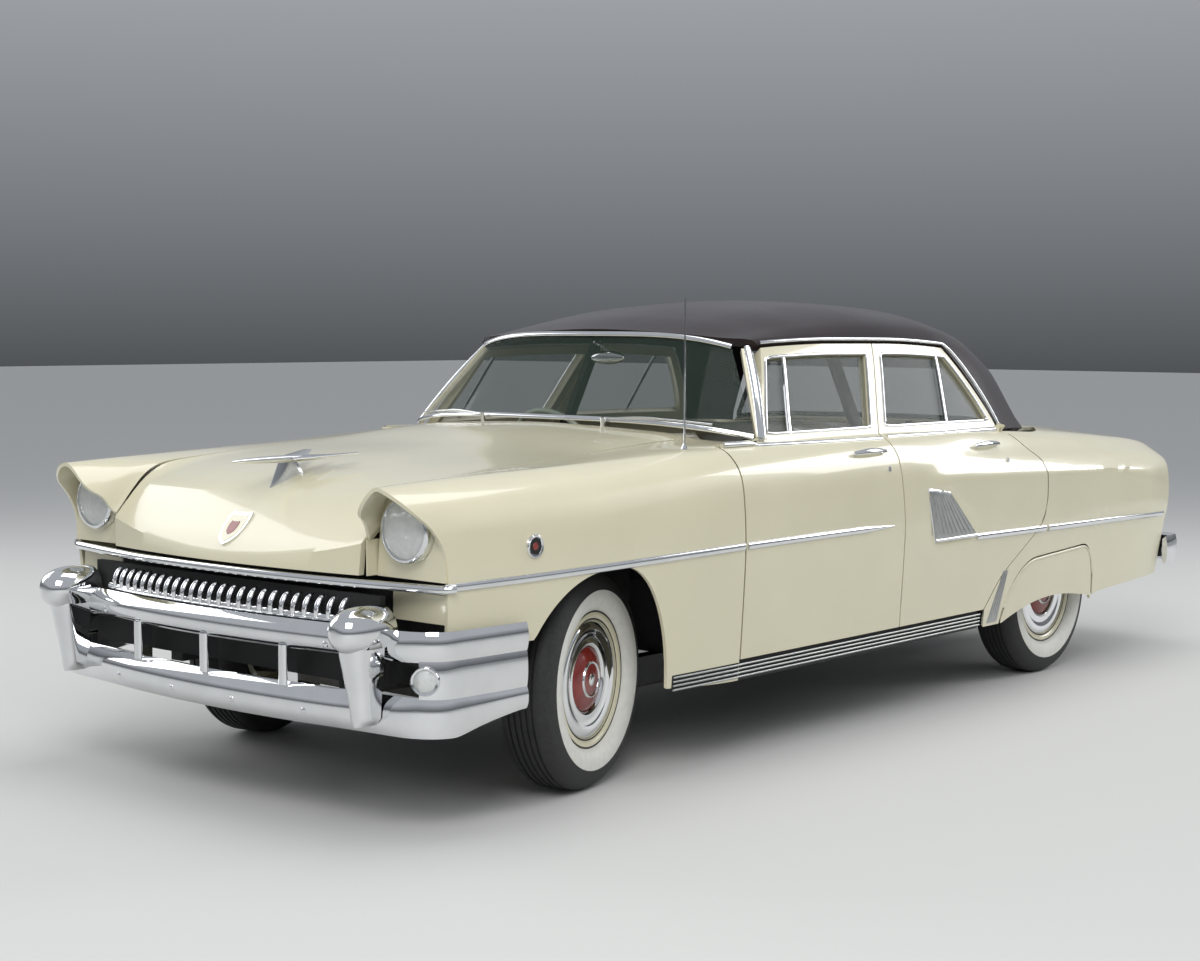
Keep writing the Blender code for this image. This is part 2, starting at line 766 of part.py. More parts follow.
def front_door_edges(z):
    """Front edge, pillar, window front, window rear and rear edge of the front door at a height."""
    rise = max(0.0, (z - BELT_HEIGHT) / (rail_height(0) - BELT_HEIGHT))
    pillar = lerp(-PILLAR_FOOT, -PILLAR_HEAD, rise) + SEAM
    rear = lerp(CENTRE_CUT, CENTRE_CUT_HEAD, rise) - SEAM / 2
    drop = max(0.0, min(1.0, (z - 0.7 * BELT_HEIGHT) / (0.3 * BELT_HEIGHT)))
    rear -= CENTRE_CUT * drop * (1 - rise)
    return (-FRONT_DOOR_CUT, pillar, pillar + FRAME_WIDTH / 2, rear - FRAME_WIDTH, rear)


def rear_door_back(z):
    """The rear door's rear edge, following the wheel opening and then the side window."""
    knots = [row[1] * BELT_HEIGHT for row in REAR_DOOR_EDGE_SHARES]
    values = [row[0] * WHEELBASE for row in REAR_DOOR_EDGE_SHARES]
    if z <= knots[-1]:
        return smooth_value(knots, values, slopes(knots, values), z)
    rise = (z - BELT_HEIGHT) / (rail_height(0) - BELT_HEIGHT)
    return values[-1] - WHEELBASE * 0.078 * rise ** 1.5


def rear_door_edges(z):
    front = front_door_edges(z)[-1] + SEAM
    rear = rear_door_back(z)
    window_rear = min(rear, rear_door_back(BELT_HEIGHT)) - FRAME_WIDTH
    return (front, front, front + FRAME_WIDTH, window_rear, rear)


def window_pane(grid, inner, columns):
    """Both faces of a pane in a door's window hole, a third of the way through the frame."""
    first = columns[0] + columns[1]
    rows = range(len(WALL_ROW_SHARES) + 1, len(WALL_ROW_SHARES) + 4)
    faces = []
    for depth in (PANE_SHARE, PANE_SHARE + GLASS / FRAME_WALL):
        face = [[grid[i][j].lerp(inner[i][j], depth) for j in rows] for i in range(first, first + columns[2] + 1)]
        faces.append(pulled_in(face, PANE_GAP))
    return faces


def build_door_pair(side, mats):
    hand = "left" if side > 0 else "right"
    specs = (("front_", front_door_edges, (1, 1, 5, 1), FRONT_HINGE), ("rear_", rear_door_edges, (0, 1, 5, 2), REAR_HINGE))
    for end, edges, columns, hinge in specs:
        pivot = (side * hinge[0], hinge[1], hinge[2])
        grid, inner, keep, hole = door_mesh(edges, columns)
        inner = clear_rim(grid, inner, keep, hole, EDGE_LIP)
        finish("door_" + end + hand, shell(sided(grid, side), sided(inner, side), keep), mats["paint"], pivot)
        outside, inside = window_pane(grid, inner, columns)
        finish("glass_" + end + hand, shell(sided(outside, side), sided(inside, side)), mats["glass"], pivot)


# Trunk, quarters and tail
TAIL_FOOT = 0.360
QUARTER_FOOT = 0.335
TAIL_LEAN = 0.175
DECK_TAPER = 0.10
LID_END = 2.478
BACKLIGHT_TOP = 1.050
BACKLIGHT_FOOT = 1.560
BACKLIGHT_FOOT_HEIGHT = 1.078
BACKLIGHT_HEAD_HEIGHT = 1.474
BACKLIGHT_SIDE_HEAD = 1.140
BACKLIGHT_SIDE_FOOT = 1.235
BACKLIGHT_HEAD_WIDTH = 0.535
BACKLIGHT_FOOT_WIDTH = 0.755
BACKLIGHT_SIDE_HEAD_HEIGHT = 1.372


def tail_edge(s):
    """Place along the car of the fender's rear edge at a section place."""
    share = max(0.0, (s - 5) / (SILL - 5))
    return TAIL_END - TAIL_LEAN * share ** 1.5


def deck_seam_s(y):
    """The quarter's upper edge: the belt under the roof pillar, then in to the trunk lid."""
    start = BACKLIGHT_SIDE_FOOT
    share = min(1.0, max(0.0, (y - start) / (DECK_FRONT - start)))
    ease = share * share * (3 - 2 * share)
    return lerp(CREST, top_s(max(y, start), DECK_SEAM_WIDTH + SEAM), ease)


def skirt_edge(y):
    """Top of the rear wheel opening: long and rising from the front, round at the rear."""
    front = REAR_AXLE - SKIRT_FRONT
    rear = REAR_AXLE + SKIRT_REAR
    share = min(1.0, max(0.0, (y - front) / (rear - front)))
    rise = min(1.0, share / 0.36)
    fall = min(1.0, (1 - share) / 0.16)
    height = SKIRT_TOP + SKIRT_LIFT * (share - 0.5)
    front_foot = SILL_BOTTOM
    shape = (1 - (1 - rise) ** 2.2) ** 0.75 if share < 0.5 else (1 - (1 - fall) ** 2.4) ** 0.5
    return lerp(front_foot if share < 0.5 else SKIRT_BOTTOM, height, shape)


def opening_places():
    """Places along the rear wheel opening, close together where its edge turns."""
    front = REAR_AXLE - SKIRT_FRONT
    rear = REAR_AXLE + SKIRT_REAR
    return spread((front, lerp(front, rear, 0.30), lerp(front, rear, 0.86), rear), (4, 5, 4))


QUARTER_STRIP = 4
STRIP_ROWS = 2


def build_quarter(side, mats):
    """Rear fender: a strip between the rear door and the wheel opening, then the broad side panel."""
    name = "quarter_left" if side > 0 else "quarter_right"
    opening = (REAR_AXLE - SKIRT_FRONT, REAR_AXLE + SKIRT_REAR)
    end_low = tail_edge(SILL)
    low_y = opening_places() + spread((opening[1], end_low), (3,))[1:]
    heights = [SILL_BOTTOM] + door_rows(DOOR_BOTTOM)[:-1]
    columns = len(low_y) - 1 - QUARTER_STRIP
    rows = STRIP_ROWS + len(heights) - QUARTER_STRIP
    seam = spread((rear_door_back(BELT_HEIGHT) + 2 * SEAM, BACKLIGHT_SIDE_FOOT, DECK_FRONT, tail_edge(0)),
                  (3, 3, columns - 6))

    def foot(k):
        y = low_y[k]
        share = (y - opening[1]) / (end_low - opening[1])
        height = lerp(QUARTER_FOOT, TAIL_FOOT, share) if share > 0 else skirt_edge(y)
        return Vector((y, side_s(y, height + FIT)))

    def door_place(k):
        y = rear_door_back(heights[k]) + SEAM
        return Vector((y, side_s(y, min(heights[k], BODY.place(y, CREST).z - FIT))))

    def low(u):
        return foot(QUARTER_STRIP + round(u * columns))

    def high(u):
        y = seam[round(u * columns)]
        return Vector((y, deck_seam_s(y)))

    def left(v):
        j = round(v * rows)
        if j <= STRIP_ROWS:
            return foot(QUARTER_STRIP).lerp(door_place(QUARTER_STRIP), j / STRIP_ROWS)
        return high(0) if j == rows else door_place(QUARTER_STRIP + j - STRIP_ROWS)

    def right(v):
        share = 1 - v
        return Vector((lerp(high(1).x, low(1).x, share ** 2.6), lerp(low(1).y, high(1).y, v)))

    flat = [[foot(k).lerp(door_place(k), min(j, STRIP_ROWS) / STRIP_ROWS) for j in range(rows + 1)]
            for k in range(QUARTER_STRIP)]
    flat += coons(low, high, left, right, columns, rows)
    grid = [[BODY.place(place.x, max(place.y, 0)) for place in line] for line in flat]

    def keep(i, j):
        return i >= QUARTER_STRIP or j < STRIP_ROWS

    inner = thickened(grid, SKIN, Vector((0, REAR_AXLE, HUB_HEIGHT)))
    inner = clear_rim(grid, inner, keep, lambda i, j: False, 2 * SEAM)
    finish(name, shell(sided(grid, side), sided(inner, side), keep), mats["paint"])


def build_skirt(side, mats):
    name = "skirt_left" if side > 0 else "skirt_right"
    front = REAR_AXLE - SKIRT_FRONT
    rear = REAR_AXLE + SKIRT_REAR
    grid = []
    for place in opening_places():
        share = (place - front) / (rear - front)
        y = lerp(front + 2 * SEAM, rear - 2 * SEAM, share)
        top = skirt_edge(place) - SEAM
        low = SKIRT_BOTTOM + SKIRT_LIFT * math.sin(math.pi * share) - SKIRT_LIFT * (1 - share) ** 3
        low = min(low, top - SEAM)
        grid.append([side_point(y, lerp(low, top, v)) for v in (0, 0.5, 1)])
    inner = thickened(grid, SKIN, Vector((0, REAR_AXLE, HUB_HEIGHT)))
    finish(name, shell(sided(grid, side), sided(inner, side)), mats["paint"])


def trunk_faces():
    columns = 10
    rows = spread((0.0, 0.86, 0.94, 0.985, 1.0), (4, 2, 2, 2))
    grid = []
    for i in range(columns + 1):
        share = 2 * i / columns - 1
        x = abs(share) * DECK_SEAM_WIDTH
        line = []
        for v in rows:
            y = lerp(DECK_FRONT + SEAM, LID_END, v)
            point = skin_point(y, top_s(y, x) if x > 0 else 0)
            point.x = math.copysign(point.x, share)
            line.append(point)
        grid.append(line)
    return grid, thickened(grid, LID_SKIN, Vector((0, REAR_AXLE, HUB_HEIGHT)))


def window_foot(x):
    """Place along the car of the rear window's foot at a distance from the middle."""
    share = min(1.0, x / (BACKLIGHT_FOOT_WIDTH - BELT_CLEAR))
    return lerp(BACKLIGHT_FOOT, BACKLIGHT_SIDE_FOOT + SEAM, share ** 2.6)


def deck_faces():
    """The panel between the rear window and the trunk lid."""
    columns = 14
    grid = []
    for i in range(columns + 1):
        share = 2 * i / columns - 1
        line = []
        for v in (0, 0.35, 0.7, 1):
            edge = lerp(BACKLIGHT_FOOT_WIDTH, DECK_SEAM_WIDTH, v)
            x = abs(share) * edge
            y = lerp(window_foot(abs(share) * BACKLIGHT_FOOT_WIDTH) + SEAM / 3, DECK_FRONT, v)
            point = skin_point(y, top_s(y, x) if x > 0 else 0)
            point.x = math.copysign(point.x, share)
            line.append(point)
        grid.append(line)
    return grid, thickened(grid, SKIN, Vector((0, REAR_AXLE, HUB_HEIGHT)))


def roof_faces():
    """Roof panel with its two rear pillars."""
    front_centre = -PILLAR_HEAD - 0.04 * HALF_LENGTH
    columns = 15
    break_u = 9 / columns
    rail_u = 13 / columns

    def high(u):
        y = lerp(front_centre, BACKLIGHT_TOP - SEAM, u)
        return Vector((y, 0.0))

    def low(u):
        corner = rear_door_back(rail_height(0)) + 2 * SEAM
        if u <= break_u:
            y = lerp(-PILLAR_HEAD, corner, u / break_u)
            return Vector((y, TOP.s_at(y, rail_height(y) + SEAM, 2, DRIP - 1, BELT)))
        if u <= rail_u:
            share = 1 - (u - break_u) / (rail_u - break_u)
            y = rear_door_back(lerp(WINDOW_SILL - GLASS_MARGIN, rail_height(0), share)) + 2 * SEAM
            z = lerp(BELT_HEIGHT - 2 * SEAM, rail_height(y) + SEAM, share)
            return Vector((y, TOP.s_at(y, z, 2, DRIP - 1, BELT)))
        share = (u - rail_u) / (1 - rail_u)
        return Vector((lerp(rear_door_back(BELT_HEIGHT) + 2 * SEAM, BACKLIGHT_SIDE_FOOT, share), BELT - FIT))

    def left(v):
        return Vector((lerp(-PILLAR_HEAD, front_centre, 1 - (1 - v) ** 2), lerp(low(0).y, 0, v)))

    def right(v):
        return Vector((lerp(BACKLIGHT_SIDE_FOOT, BACKLIGHT_TOP - SEAM, v ** 0.7), lerp(low(1).y, 0, v)))

    flat = coons(low, high, left, right, columns, 6)
    half = [[TOP.place(place.x, max(0.0, min(BELT, place.y))) for place in line] for line in flat]
    lift = SEAM / 2
    grid = []
    for line in half:
        left_side = [point + Vector((0, 0, lift)) for point in line]
        right_side = [Vector((-point.x, point.y, point.z)) for point in reversed(left_side[:-1])]
        grid.append(left_side + right_side)
    return grid, thickened(grid, ROOF_WALL, Vector((0, 0, HUB_HEIGHT)))


# Windshield
SCREEN_FOOT_CENTRE = 0.935
SCREEN_FOOT_HEIGHT = 1.158
SCREEN_FOOT_SIDE = 0.772
SCREEN_FOOT_WIDTH = 0.838
SCREEN_HEAD_CENTRE = 0.672
SCREEN_HEAD_SIDE = 0.612
SCREEN_HEAD_HEIGHT = 1.462
SCREEN_HEAD_SIDE_HEIGHT = 1.418
SCREEN_HEAD_WIDTH = 0.618
BELT_CLEAR = 0.018


def screen_line(width, centre, side, centre_height, side_height, u, power):
    share = abs(u)
    y = lerp(centre, side, share ** power)
    return Vector((u * width, y, lerp(centre_height, side_height, share ** power)))


def build_screens(mats):
    specs = (
        ("windshield", SCREEN_FOOT_WIDTH, -SCREEN_FOOT_CENTRE, -SCREEN_FOOT_SIDE, SCREEN_FOOT_HEIGHT,
         BELT_HEIGHT + BELT_CLEAR, SCREEN_HEAD_WIDTH, -SCREEN_HEAD_CENTRE, -SCREEN_HEAD_SIDE,
         SCREEN_HEAD_HEIGHT, SCREEN_HEAD_SIDE_HEIGHT, 4.0),
        ("rear_window", BACKLIGHT_FOOT_WIDTH - BELT_CLEAR, BACKLIGHT_FOOT, BACKLIGHT_SIDE_FOOT + SEAM,
         BACKLIGHT_FOOT_HEIGHT, BACKLIGHT_FOOT_HEIGHT + BELT_CLEAR, BACKLIGHT_HEAD_WIDTH,
         BACKLIGHT_TOP + 2 * SEAM, BACKLIGHT_SIDE_HEAD, BACKLIGHT_HEAD_HEIGHT - SEAM,
         BACKLIGHT_SIDE_HEAD_HEIGHT, 2.6),
    )
    for name, foot_w, foot_c, foot_s, foot_z, foot_sz, head_w, head_c, head_s, head_z, head_sz, power in specs:
        grid = []
        columns = 14
        for i in range(columns + 1):
            u = math.sin(math.pi / 2 * (2 * i / columns - 1))
            foot = screen_line(foot_w, foot_c, foot_s, foot_z, foot_sz, u, power)
            head = screen_line(head_w, head_c, head_s, head_z, head_sz, u, power)
            if name == "rear_window":
                foot.z = BODY.place(foot.y, top_s(foot.y, abs(foot.x)) if abs(foot.x) > FIT else 0).z + 2 * FIT
            grid.append([foot.lerp(head, v) for v in (0, 0.5, 1)])
        inner = thickened(grid, GLASS, Vector((0, 0, BELT_HEIGHT)))
        finish(name, shell(grid, inner), mats["glass"])


# Running gear
DRUM_RADIUS = 0.140
DRUM_DEPTH = 0.060
DRUM_FACE = 0.009
POST_RADIUS = 0.020
POST_HALF = 0.110
ARM_THICKNESS = 0.030
ARM_WIDTH = 0.040
TOWER_WIDTH = 0.080
RAIL_CENTRE = 0.420
RAIL_WIDTH = 0.060
TOWER_CENTRE = RAIL_CENTRE - RAIL_WIDTH / 2 - FIT - TOWER_WIDTH / 2
RAIL_HEIGHT = 0.100
AXLE_TUBE = 0.040
DIFF_RADIUS = 0.120
DIFF_HALF = 0.110
SHAFT_RADIUS = 0.035
SPRING_THICKNESS = 0.036
SPRING_WIDTH = 0.050
SPRING_REACH = 0.620


def wheel_profile():
    half = RIM_WIDTH / 2
    return (
        (0.0, CAP_CROWN),
        (0.28 * CAP_RADIUS, 0.95 * CAP_CROWN),
        (0.54 * CAP_RADIUS, 0.62 * CAP_CROWN),
        (0.86 * CAP_RADIUS, 0.88 * CAP_CROWN),
        (CAP_RADIUS, 0.80 * CAP_CROWN),
        (FLANGE_RADIUS, half + FLANGE_WIDTH),
        (FLANGE_RADIUS, half + FIT),
        (RIM_RADIUS - FIT, half - FIT),
        (RIM_RADIUS - FIT, -half + FIT),
        (FLANGE_RADIUS, -half - FIT),
        (FLANGE_RADIUS, -half - FLANGE_WIDTH),
        (0.92 * RIM_RADIUS, -half),
        (0.88 * RIM_RADIUS, 0.25 * half),
        (0.0, DRUM_FACE + FIT),
    )


def tyre_profile():
    half = TYRE_WIDTH / 2
    bead = RIM_WIDTH / 2
    side = (
        (RIM_RADIUS, bead - 2 * FIT),
        (0.76 * TYRE_RADIUS, half),
        (0.93 * TYRE_RADIUS, 0.88 * half),
        (TYRE_RADIUS, 0.50 * half),
    )
    bead_flat = ((RIM_RADIUS, bead - 2 * FIT), (FLANGE_RADIUS, bead - 2 * FIT))
    outer = list(bead_flat) + [point for point in side[1:]]
    return outer + [(radius, -place) for radius, place in reversed(outer)]


def wheel_matrix(side, front):
    if not front:
        centre = Vector((side * REAR_TRACK / 2, REAR_AXLE, HUB_HEIGHT))
        return Matrix.Translation(centre) @ Matrix.Diagonal((side, 1, 1, 1))
    pin = Vector((side * (FRONT_TRACK / 2 - KINGPIN_OFFSET), KINGPIN_Y, HUB_HEIGHT))
    turn = Matrix.Rotation(STEER_REST, 4, "Z")
    offset = Matrix.Translation(Vector((side * KINGPIN_OFFSET, 0, 0)))
    return Matrix.Translation(pin) @ turn @ offset @ Matrix.Diagonal((side, 1, 1, 1))


def build_wheels(mats):
    for side, hand in ((1, "left"), (-1, "right")):
        for front, end in ((True, "front"), (False, "rear")):
            matrix = wheel_matrix(side, front)
            suffix = end + "_" + hand
            finish("tyre_" + suffix, turned(tyre_profile(), WALL_SEGMENTS, matrix), mats["tyre"], matrix.translation)
            finish("wheel_" + suffix, turned(wheel_profile(), WHEEL_SEGMENTS, matrix), mats["chrome"], matrix.translation)
        matrix = wheel_matrix(side, True)
        drum = turned([(0, DRUM_FACE), (DRUM_RADIUS, DRUM_FACE), (DRUM_RADIUS, DRUM_FACE - DRUM_DEPTH),
                       (0, DRUM_FACE - DRUM_DEPTH)], WHEEL_SEGMENTS, matrix)
        pin = matrix @ Vector((-KINGPIN_OFFSET, 0, 0))
        stub = rod(matrix @ Vector((DRUM_FACE - DRUM_DEPTH / 2, 0, 0)), pin, SHAFT_RADIUS)
        post = rod(pin - Vector((0, 0, POST_HALF)), pin + Vector((0, 0, POST_HALF)), POST_RADIUS)
        finish("knuckle_" + hand, joined([drum, stub, post]), mats["iron"], pin)


def build_front_suspension(mats):
    pin_x = FRONT_TRACK / 2 - KINGPIN_OFFSET
    low = HUB_HEIGHT - POST_HALF - FIT
    high = HUB_HEIGHT + POST_HALF + FIT
    half = ARM_WIDTH / 2
    reach = pin_x + 0.6 * POST_RADIUS
    parts = [block((-reach, KINGPIN_Y - half, low - ARM_THICKNESS), (reach, KINGPIN_Y + half, low))]
    for side in (1, -1):
        tower = sorted((side * (TOWER_CENTRE - TOWER_WIDTH / 2), side * (TOWER_CENTRE + TOWER_WIDTH / 2)))
        parts.append(block((tower[0], KINGPIN_Y - TOWER_WIDTH / 2, low - ARM_THICKNESS / 2),
                           (tower[1], KINGPIN_Y + TOWER_WIDTH / 2, high + ARM_THICKNESS / 2)))
        arm = sorted((side * TOWER_CENTRE, side * reach))
        parts.append(block((arm[0], KINGPIN_Y - half, high), (arm[1], KINGPIN_Y + half, high + ARM_THICKNESS)))
    finish("front_suspension", joined(parts), mats["iron"])


def build_rear_axle(mats):
    end = REAR_TRACK / 2 + DRUM_FACE
    profile = [(0, end), (DRUM_RADIUS, end), (DRUM_RADIUS, end - DRUM_DEPTH), (AXLE_TUBE, end - DRUM_DEPTH),
               (AXLE_TUBE, DIFF_HALF), (DIFF_RADIUS, DIFF_HALF / 2)]
    profile += [(radius, -place) for radius, place in reversed(profile)]
    matrix = Matrix.Translation((0, REAR_AXLE, HUB_HEIGHT))
    parts = [turned(profile, WHEEL_SEGMENTS, matrix)]
    parts.append(rod((0, REAR_AXLE, HUB_HEIGHT), (0, GEARBOX_END + 3 * FIT, ENGINE_HEIGHT), SHAFT_RADIUS))
    for side in (1, -1):
        spring_z = HUB_HEIGHT - AXLE_TUBE
        centre = side * RAIL_CENTRE
        half = SPRING_WIDTH / 2
        parts.append(block((centre - half, REAR_AXLE - SPRING_REACH, spring_z - SPRING_THICKNESS / 2),
                           (centre + half, REAR_AXLE + SPRING_REACH, spring_z + SPRING_THICKNESS / 2)))
        for place in (REAR_AXLE - SPRING_REACH, REAR_AXLE + SPRING_REACH - SPRING_WIDTH):
            rail = min(rail_underside(place), rail_underside(place + SPRING_WIDTH)) - FIT
            parts.append(block((centre - half / 2, place, spring_z), (centre + half / 2, place + SPRING_WIDTH, rail)))
    finish("rear_axle", joined(parts), mats["iron"])


# Side line of the frame rails: y as shares of half the length, height of the rail's middle
RAIL_SHARES = (
    (-0.880, 1.18),
    (-0.790, 1.18),
    (-0.700, 1.00),
    (-0.450, 1.00),
    (-0.370, 0.72),
    (0.229, 0.72),
    (0.305, 1.34),
    (0.660, 1.34),
    (0.740, 1.18),
    (0.905, 1.18),
)


KICK_UP_SHARE = 1.34
TRUNK_FLOOR = KICK_UP_SHARE * TYRE_RADIUS + RAIL_HEIGHT / 2 + FIT + FLOOR_SHEET


def rail_line():
    return [Vector((0, row[0] * HALF_LENGTH, row[1] * TYRE_RADIUS)) for row in RAIL_SHARES]


def rail_middle(y):
    line = rail_line()
    for a, b in zip(line, line[1:]):
        if y <= b.y:
            return lerp(a.z, b.z, max(0.0, (y - a.y) / (b.y - a.y)))
    return line[-1].z


def rail_underside(y):
    return rail_middle(y) - RAIL_HEIGHT / 2


def rail_top(y):
    return rail_middle(y) + RAIL_HEIGHT / 2


def build_frame(mats):
    line = rail_line()
    parts = []
    for side in (1, -1):
        low = [(point.y, point.z - RAIL_HEIGHT / 2) for point in line]
        high = [(point.y, point.z + RAIL_HEIGHT / 2) for point in reversed(line)]
        centre = side * RAIL_CENTRE
        parts.append(prism(low + high, centre - RAIL_WIDTH / 2, centre + RAIL_WIDTH / 2, 0))
    for share in (-0.850, -0.120, 0.440, 0.890):
        y = share * HALF_LENGTH
        z = rail_middle(y)
        half = RAIL_HEIGHT / 3
        parts.append(block((-RAIL_CENTRE, y - half, z - half), (RAIL_CENTRE, y + half, z + half)))
    finish("frame", joined(parts), mats["black"])


# Body shell behind and under the cabin
SHELL_HALF = 0.862
NARROW_HALF = 0.598
HOUSING_INNER = 0.600
HOUSING_OUTER = 0.895
HOUSING_RADIUS = 0.400
DASH_Y = -1.000
TOE_Y = -0.800
HEEL_Y = 0.580
SEAT_BACK_Y = 1.060
TRUNK_END = 2.360
SHELF_HEIGHT = 0.955
SHELF_END = 1.545
POST = 0.050
POST_X = 0.745
TUNNEL_HALF = 0.160
TUNNEL_TOP = 0.418
BRACKET_HEIGHT = 0.740
BRACKET_GAP = 0.0008
SKIRT_REST = 0.430
ROOF_REST = (5, 2)


# Raised load floor of the trunk
LOAD_HALF = 0.500
LOAD_FRONT = 1.600
LOAD_REAR = 2.280
LOAD_FLOOR = 0.555


def build_body_shell(mats):
    floor = rail_top(0) + FIT
    front = [(DASH_Y, BELT_HEIGHT - 0.06 * BELT_HEIGHT), (DASH_Y, 0.55 * BELT_HEIGHT), (TOE_Y, floor),
             (HEEL_Y, floor), (HEEL_Y + FLOOR_SHEET, TRUNK_FLOOR)]
    parts = [sheet(front, FLOOR_SHEET, SHELL_HALF)]
    rear = [(HEEL_Y, TRUNK_FLOOR - FLOOR_SHEET), (TRUNK_END, TRUNK_FLOOR - FLOOR_SHEET)]
    parts.append(sheet(rear, FLOOR_SHEET, NARROW_HALF + 2 * SKIN))
    bulkhead = [(SEAT_BACK_Y, TRUNK_FLOOR - FLOOR_SHEET / 2), (SEAT_BACK_Y + 2 * FLOOR_SHEET, SHELF_HEIGHT),
                (SHELF_END, SHELF_HEIGHT + FLOOR_SHEET)]
    parts.append(sheet(bulkhead, FLOOR_SHEET, NARROW_HALF))
    parts.append(block((-LOAD_HALF, LOAD_FRONT, TRUNK_FLOOR - FLOOR_SHEET / 2), (LOAD_HALF, LOAD_REAR, LOAD_FLOOR)))
    sill_rear = rear_door_back(SILL_BOTTOM) - 2 * SEAM
    roof = roof_faces()[1]
    deck = deck_faces()[1]
    rest = underside(deck, len(deck) // 2, 1, OVERRUN / 2)
    parts.append(block((-OVERRUN / 2, SHELF_END - 2 * OVERRUN, SHELF_HEIGHT), (OVERRUN / 2, rest.y + OVERRUN / 2, SHELF_HEIGHT + FLOOR_SHEET)))
    parts.append(block((-OVERRUN / 2, rest.y - OVERRUN / 2, SHELF_HEIGHT), (OVERRUN / 2, rest.y + OVERRUN / 2, rest.z)))
    for side in (1, -1):
        shell_x = side * SHELL_HALF
        sill_x = side * (BODY.place(0, SILL).x - 2 * SEAM)
        xs = sorted((shell_x - side * FLOOR_SHEET, sill_x))
        parts.append(block((xs[0], -FRONT_DOOR_CUT + SEAM, SILL_BOTTOM), (xs[1], sill_rear, SILL_TOP)))
        foot_x = side * POST_X
        parts.append(beam((foot_x, DASH_Y + POST, floor), (foot_x, DASH_Y + POST, 0.93 * BELT_HEIGHT),
                          POST, POST))
        knee = Vector((foot_x, CENTRE_CUT, BELT_HEIGHT))
        rest = underside(roof, *ROOF_REST, OVERRUN / 2)
        head = Vector((side * abs(rest.x), rest.y, rest.z - POST))
        xs = sorted((head.x - OVERRUN / 2, head.x + OVERRUN / 2))
        parts.append(block((xs[0], rest.y - OVERRUN / 2, rest.z - 1.5 * POST), (xs[1], rest.y + OVERRUN / 2, rest.z)))
        parts.append(beam((foot_x, CENTRE_CUT, floor), knee + Vector((0, 0, POST / 2)), POST, POST))
        parts.append(beam(knee, head, POST, POST / 2))
        arch = []
        for k in range(9):
            angle = math.pi * k / 8
            arch.append((REAR_AXLE + HOUSING_RADIUS * math.cos(angle), HUB_HEIGHT + HOUSING_RADIUS * math.sin(angle)))
        ring = HOUSING_RADIUS + SKIN
        outer = [(REAR_AXLE + (y - REAR_AXLE) * ring / HOUSING_RADIUS,
                  HUB_HEIGHT + (z - HUB_HEIGHT) * ring / HOUSING_RADIUS) for y, z in reversed(arch)]
        xs = sorted((side * HOUSING_INNER, side * HOUSING_OUTER))
        parts.append(prism(arch + outer, xs[0], xs[1], 0))
        xs = sorted((side * HOUSING_INNER, side * (HOUSING_INNER + SKIN)))
        parts.append(prism(outer, xs[0], xs[1], 0))
        top = HUB_HEIGHT + HOUSING_RADIUS + SKIN
        skirt_y = REAR_AXLE - HOUSING_RADIUS
        brackets = (
            (POST_X, -FRONT_DOOR_CUT + OVERRUN, -FRONT_DOOR_CUT + 3 * OVERRUN, BRACKET_HEIGHT, DOOR_WALL),
            (POST_X, CENTRE_CUT - 3 * OVERRUN, CENTRE_CUT + 3 * OVERRUN, BRACKET_HEIGHT, DOOR_WALL),
            (HOUSING_OUTER - OVERRUN, REAR_AXLE - OVERRUN, REAR_AXLE + OVERRUN, top - SKIN / 2, SKIN),
            (HOUSING_OUTER - OVERRUN, skirt_y - SKIN, skirt_y + SKIN / 2, SKIRT_REST, SKIN),
        )
        for start, low_y, high_y, z, wall in brackets:
            end = min(side_point(low_y, z).x, side_point(high_y, z).x) - wall - BRACKET_GAP
            xs = sorted((side * start, side * end))
            parts.append(block((xs[0], low_y, z - SKIN / 2), (xs[1], high_y, z + SKIN / 2)))
    tunnel_end = SEAT_BACK_Y - OVERRUN
    parts.append(block((-TUNNEL_HALF, DASH_Y, floor), (TUNNEL_HALF, tunnel_end, TUNNEL_TOP)))
    solid = joined(parts)
    cuts = [block((-TUNNEL_HALF + SKIN, DASH_Y - OVERRUN, floor - OVERRUN),
                  (TUNNEL_HALF - SKIN, tunnel_end + OVERRUN, TUNNEL_TOP - SKIN))]
    for side in (1, -1):
        xs = sorted((side * (HOUSING_INNER - OVERRUN), side * (HOUSING_INNER + SKIN + OVERRUN)))
        half = AXLE_TUBE + SEAM
        cuts.append(block((xs[0], REAR_AXLE - half, HUB_HEIGHT - OVERRUN), (xs[1], REAR_AXLE + half, HUB_HEIGHT + half)))
    finish("body_shell", joined([solid] + cuts, "DIFFERENCE"), mats["black"])


COWL_HALF = 0.795
POST_SIZE = 0.026
POST_FOOT_X = 0.848
POST_HEAD_X = 0.648


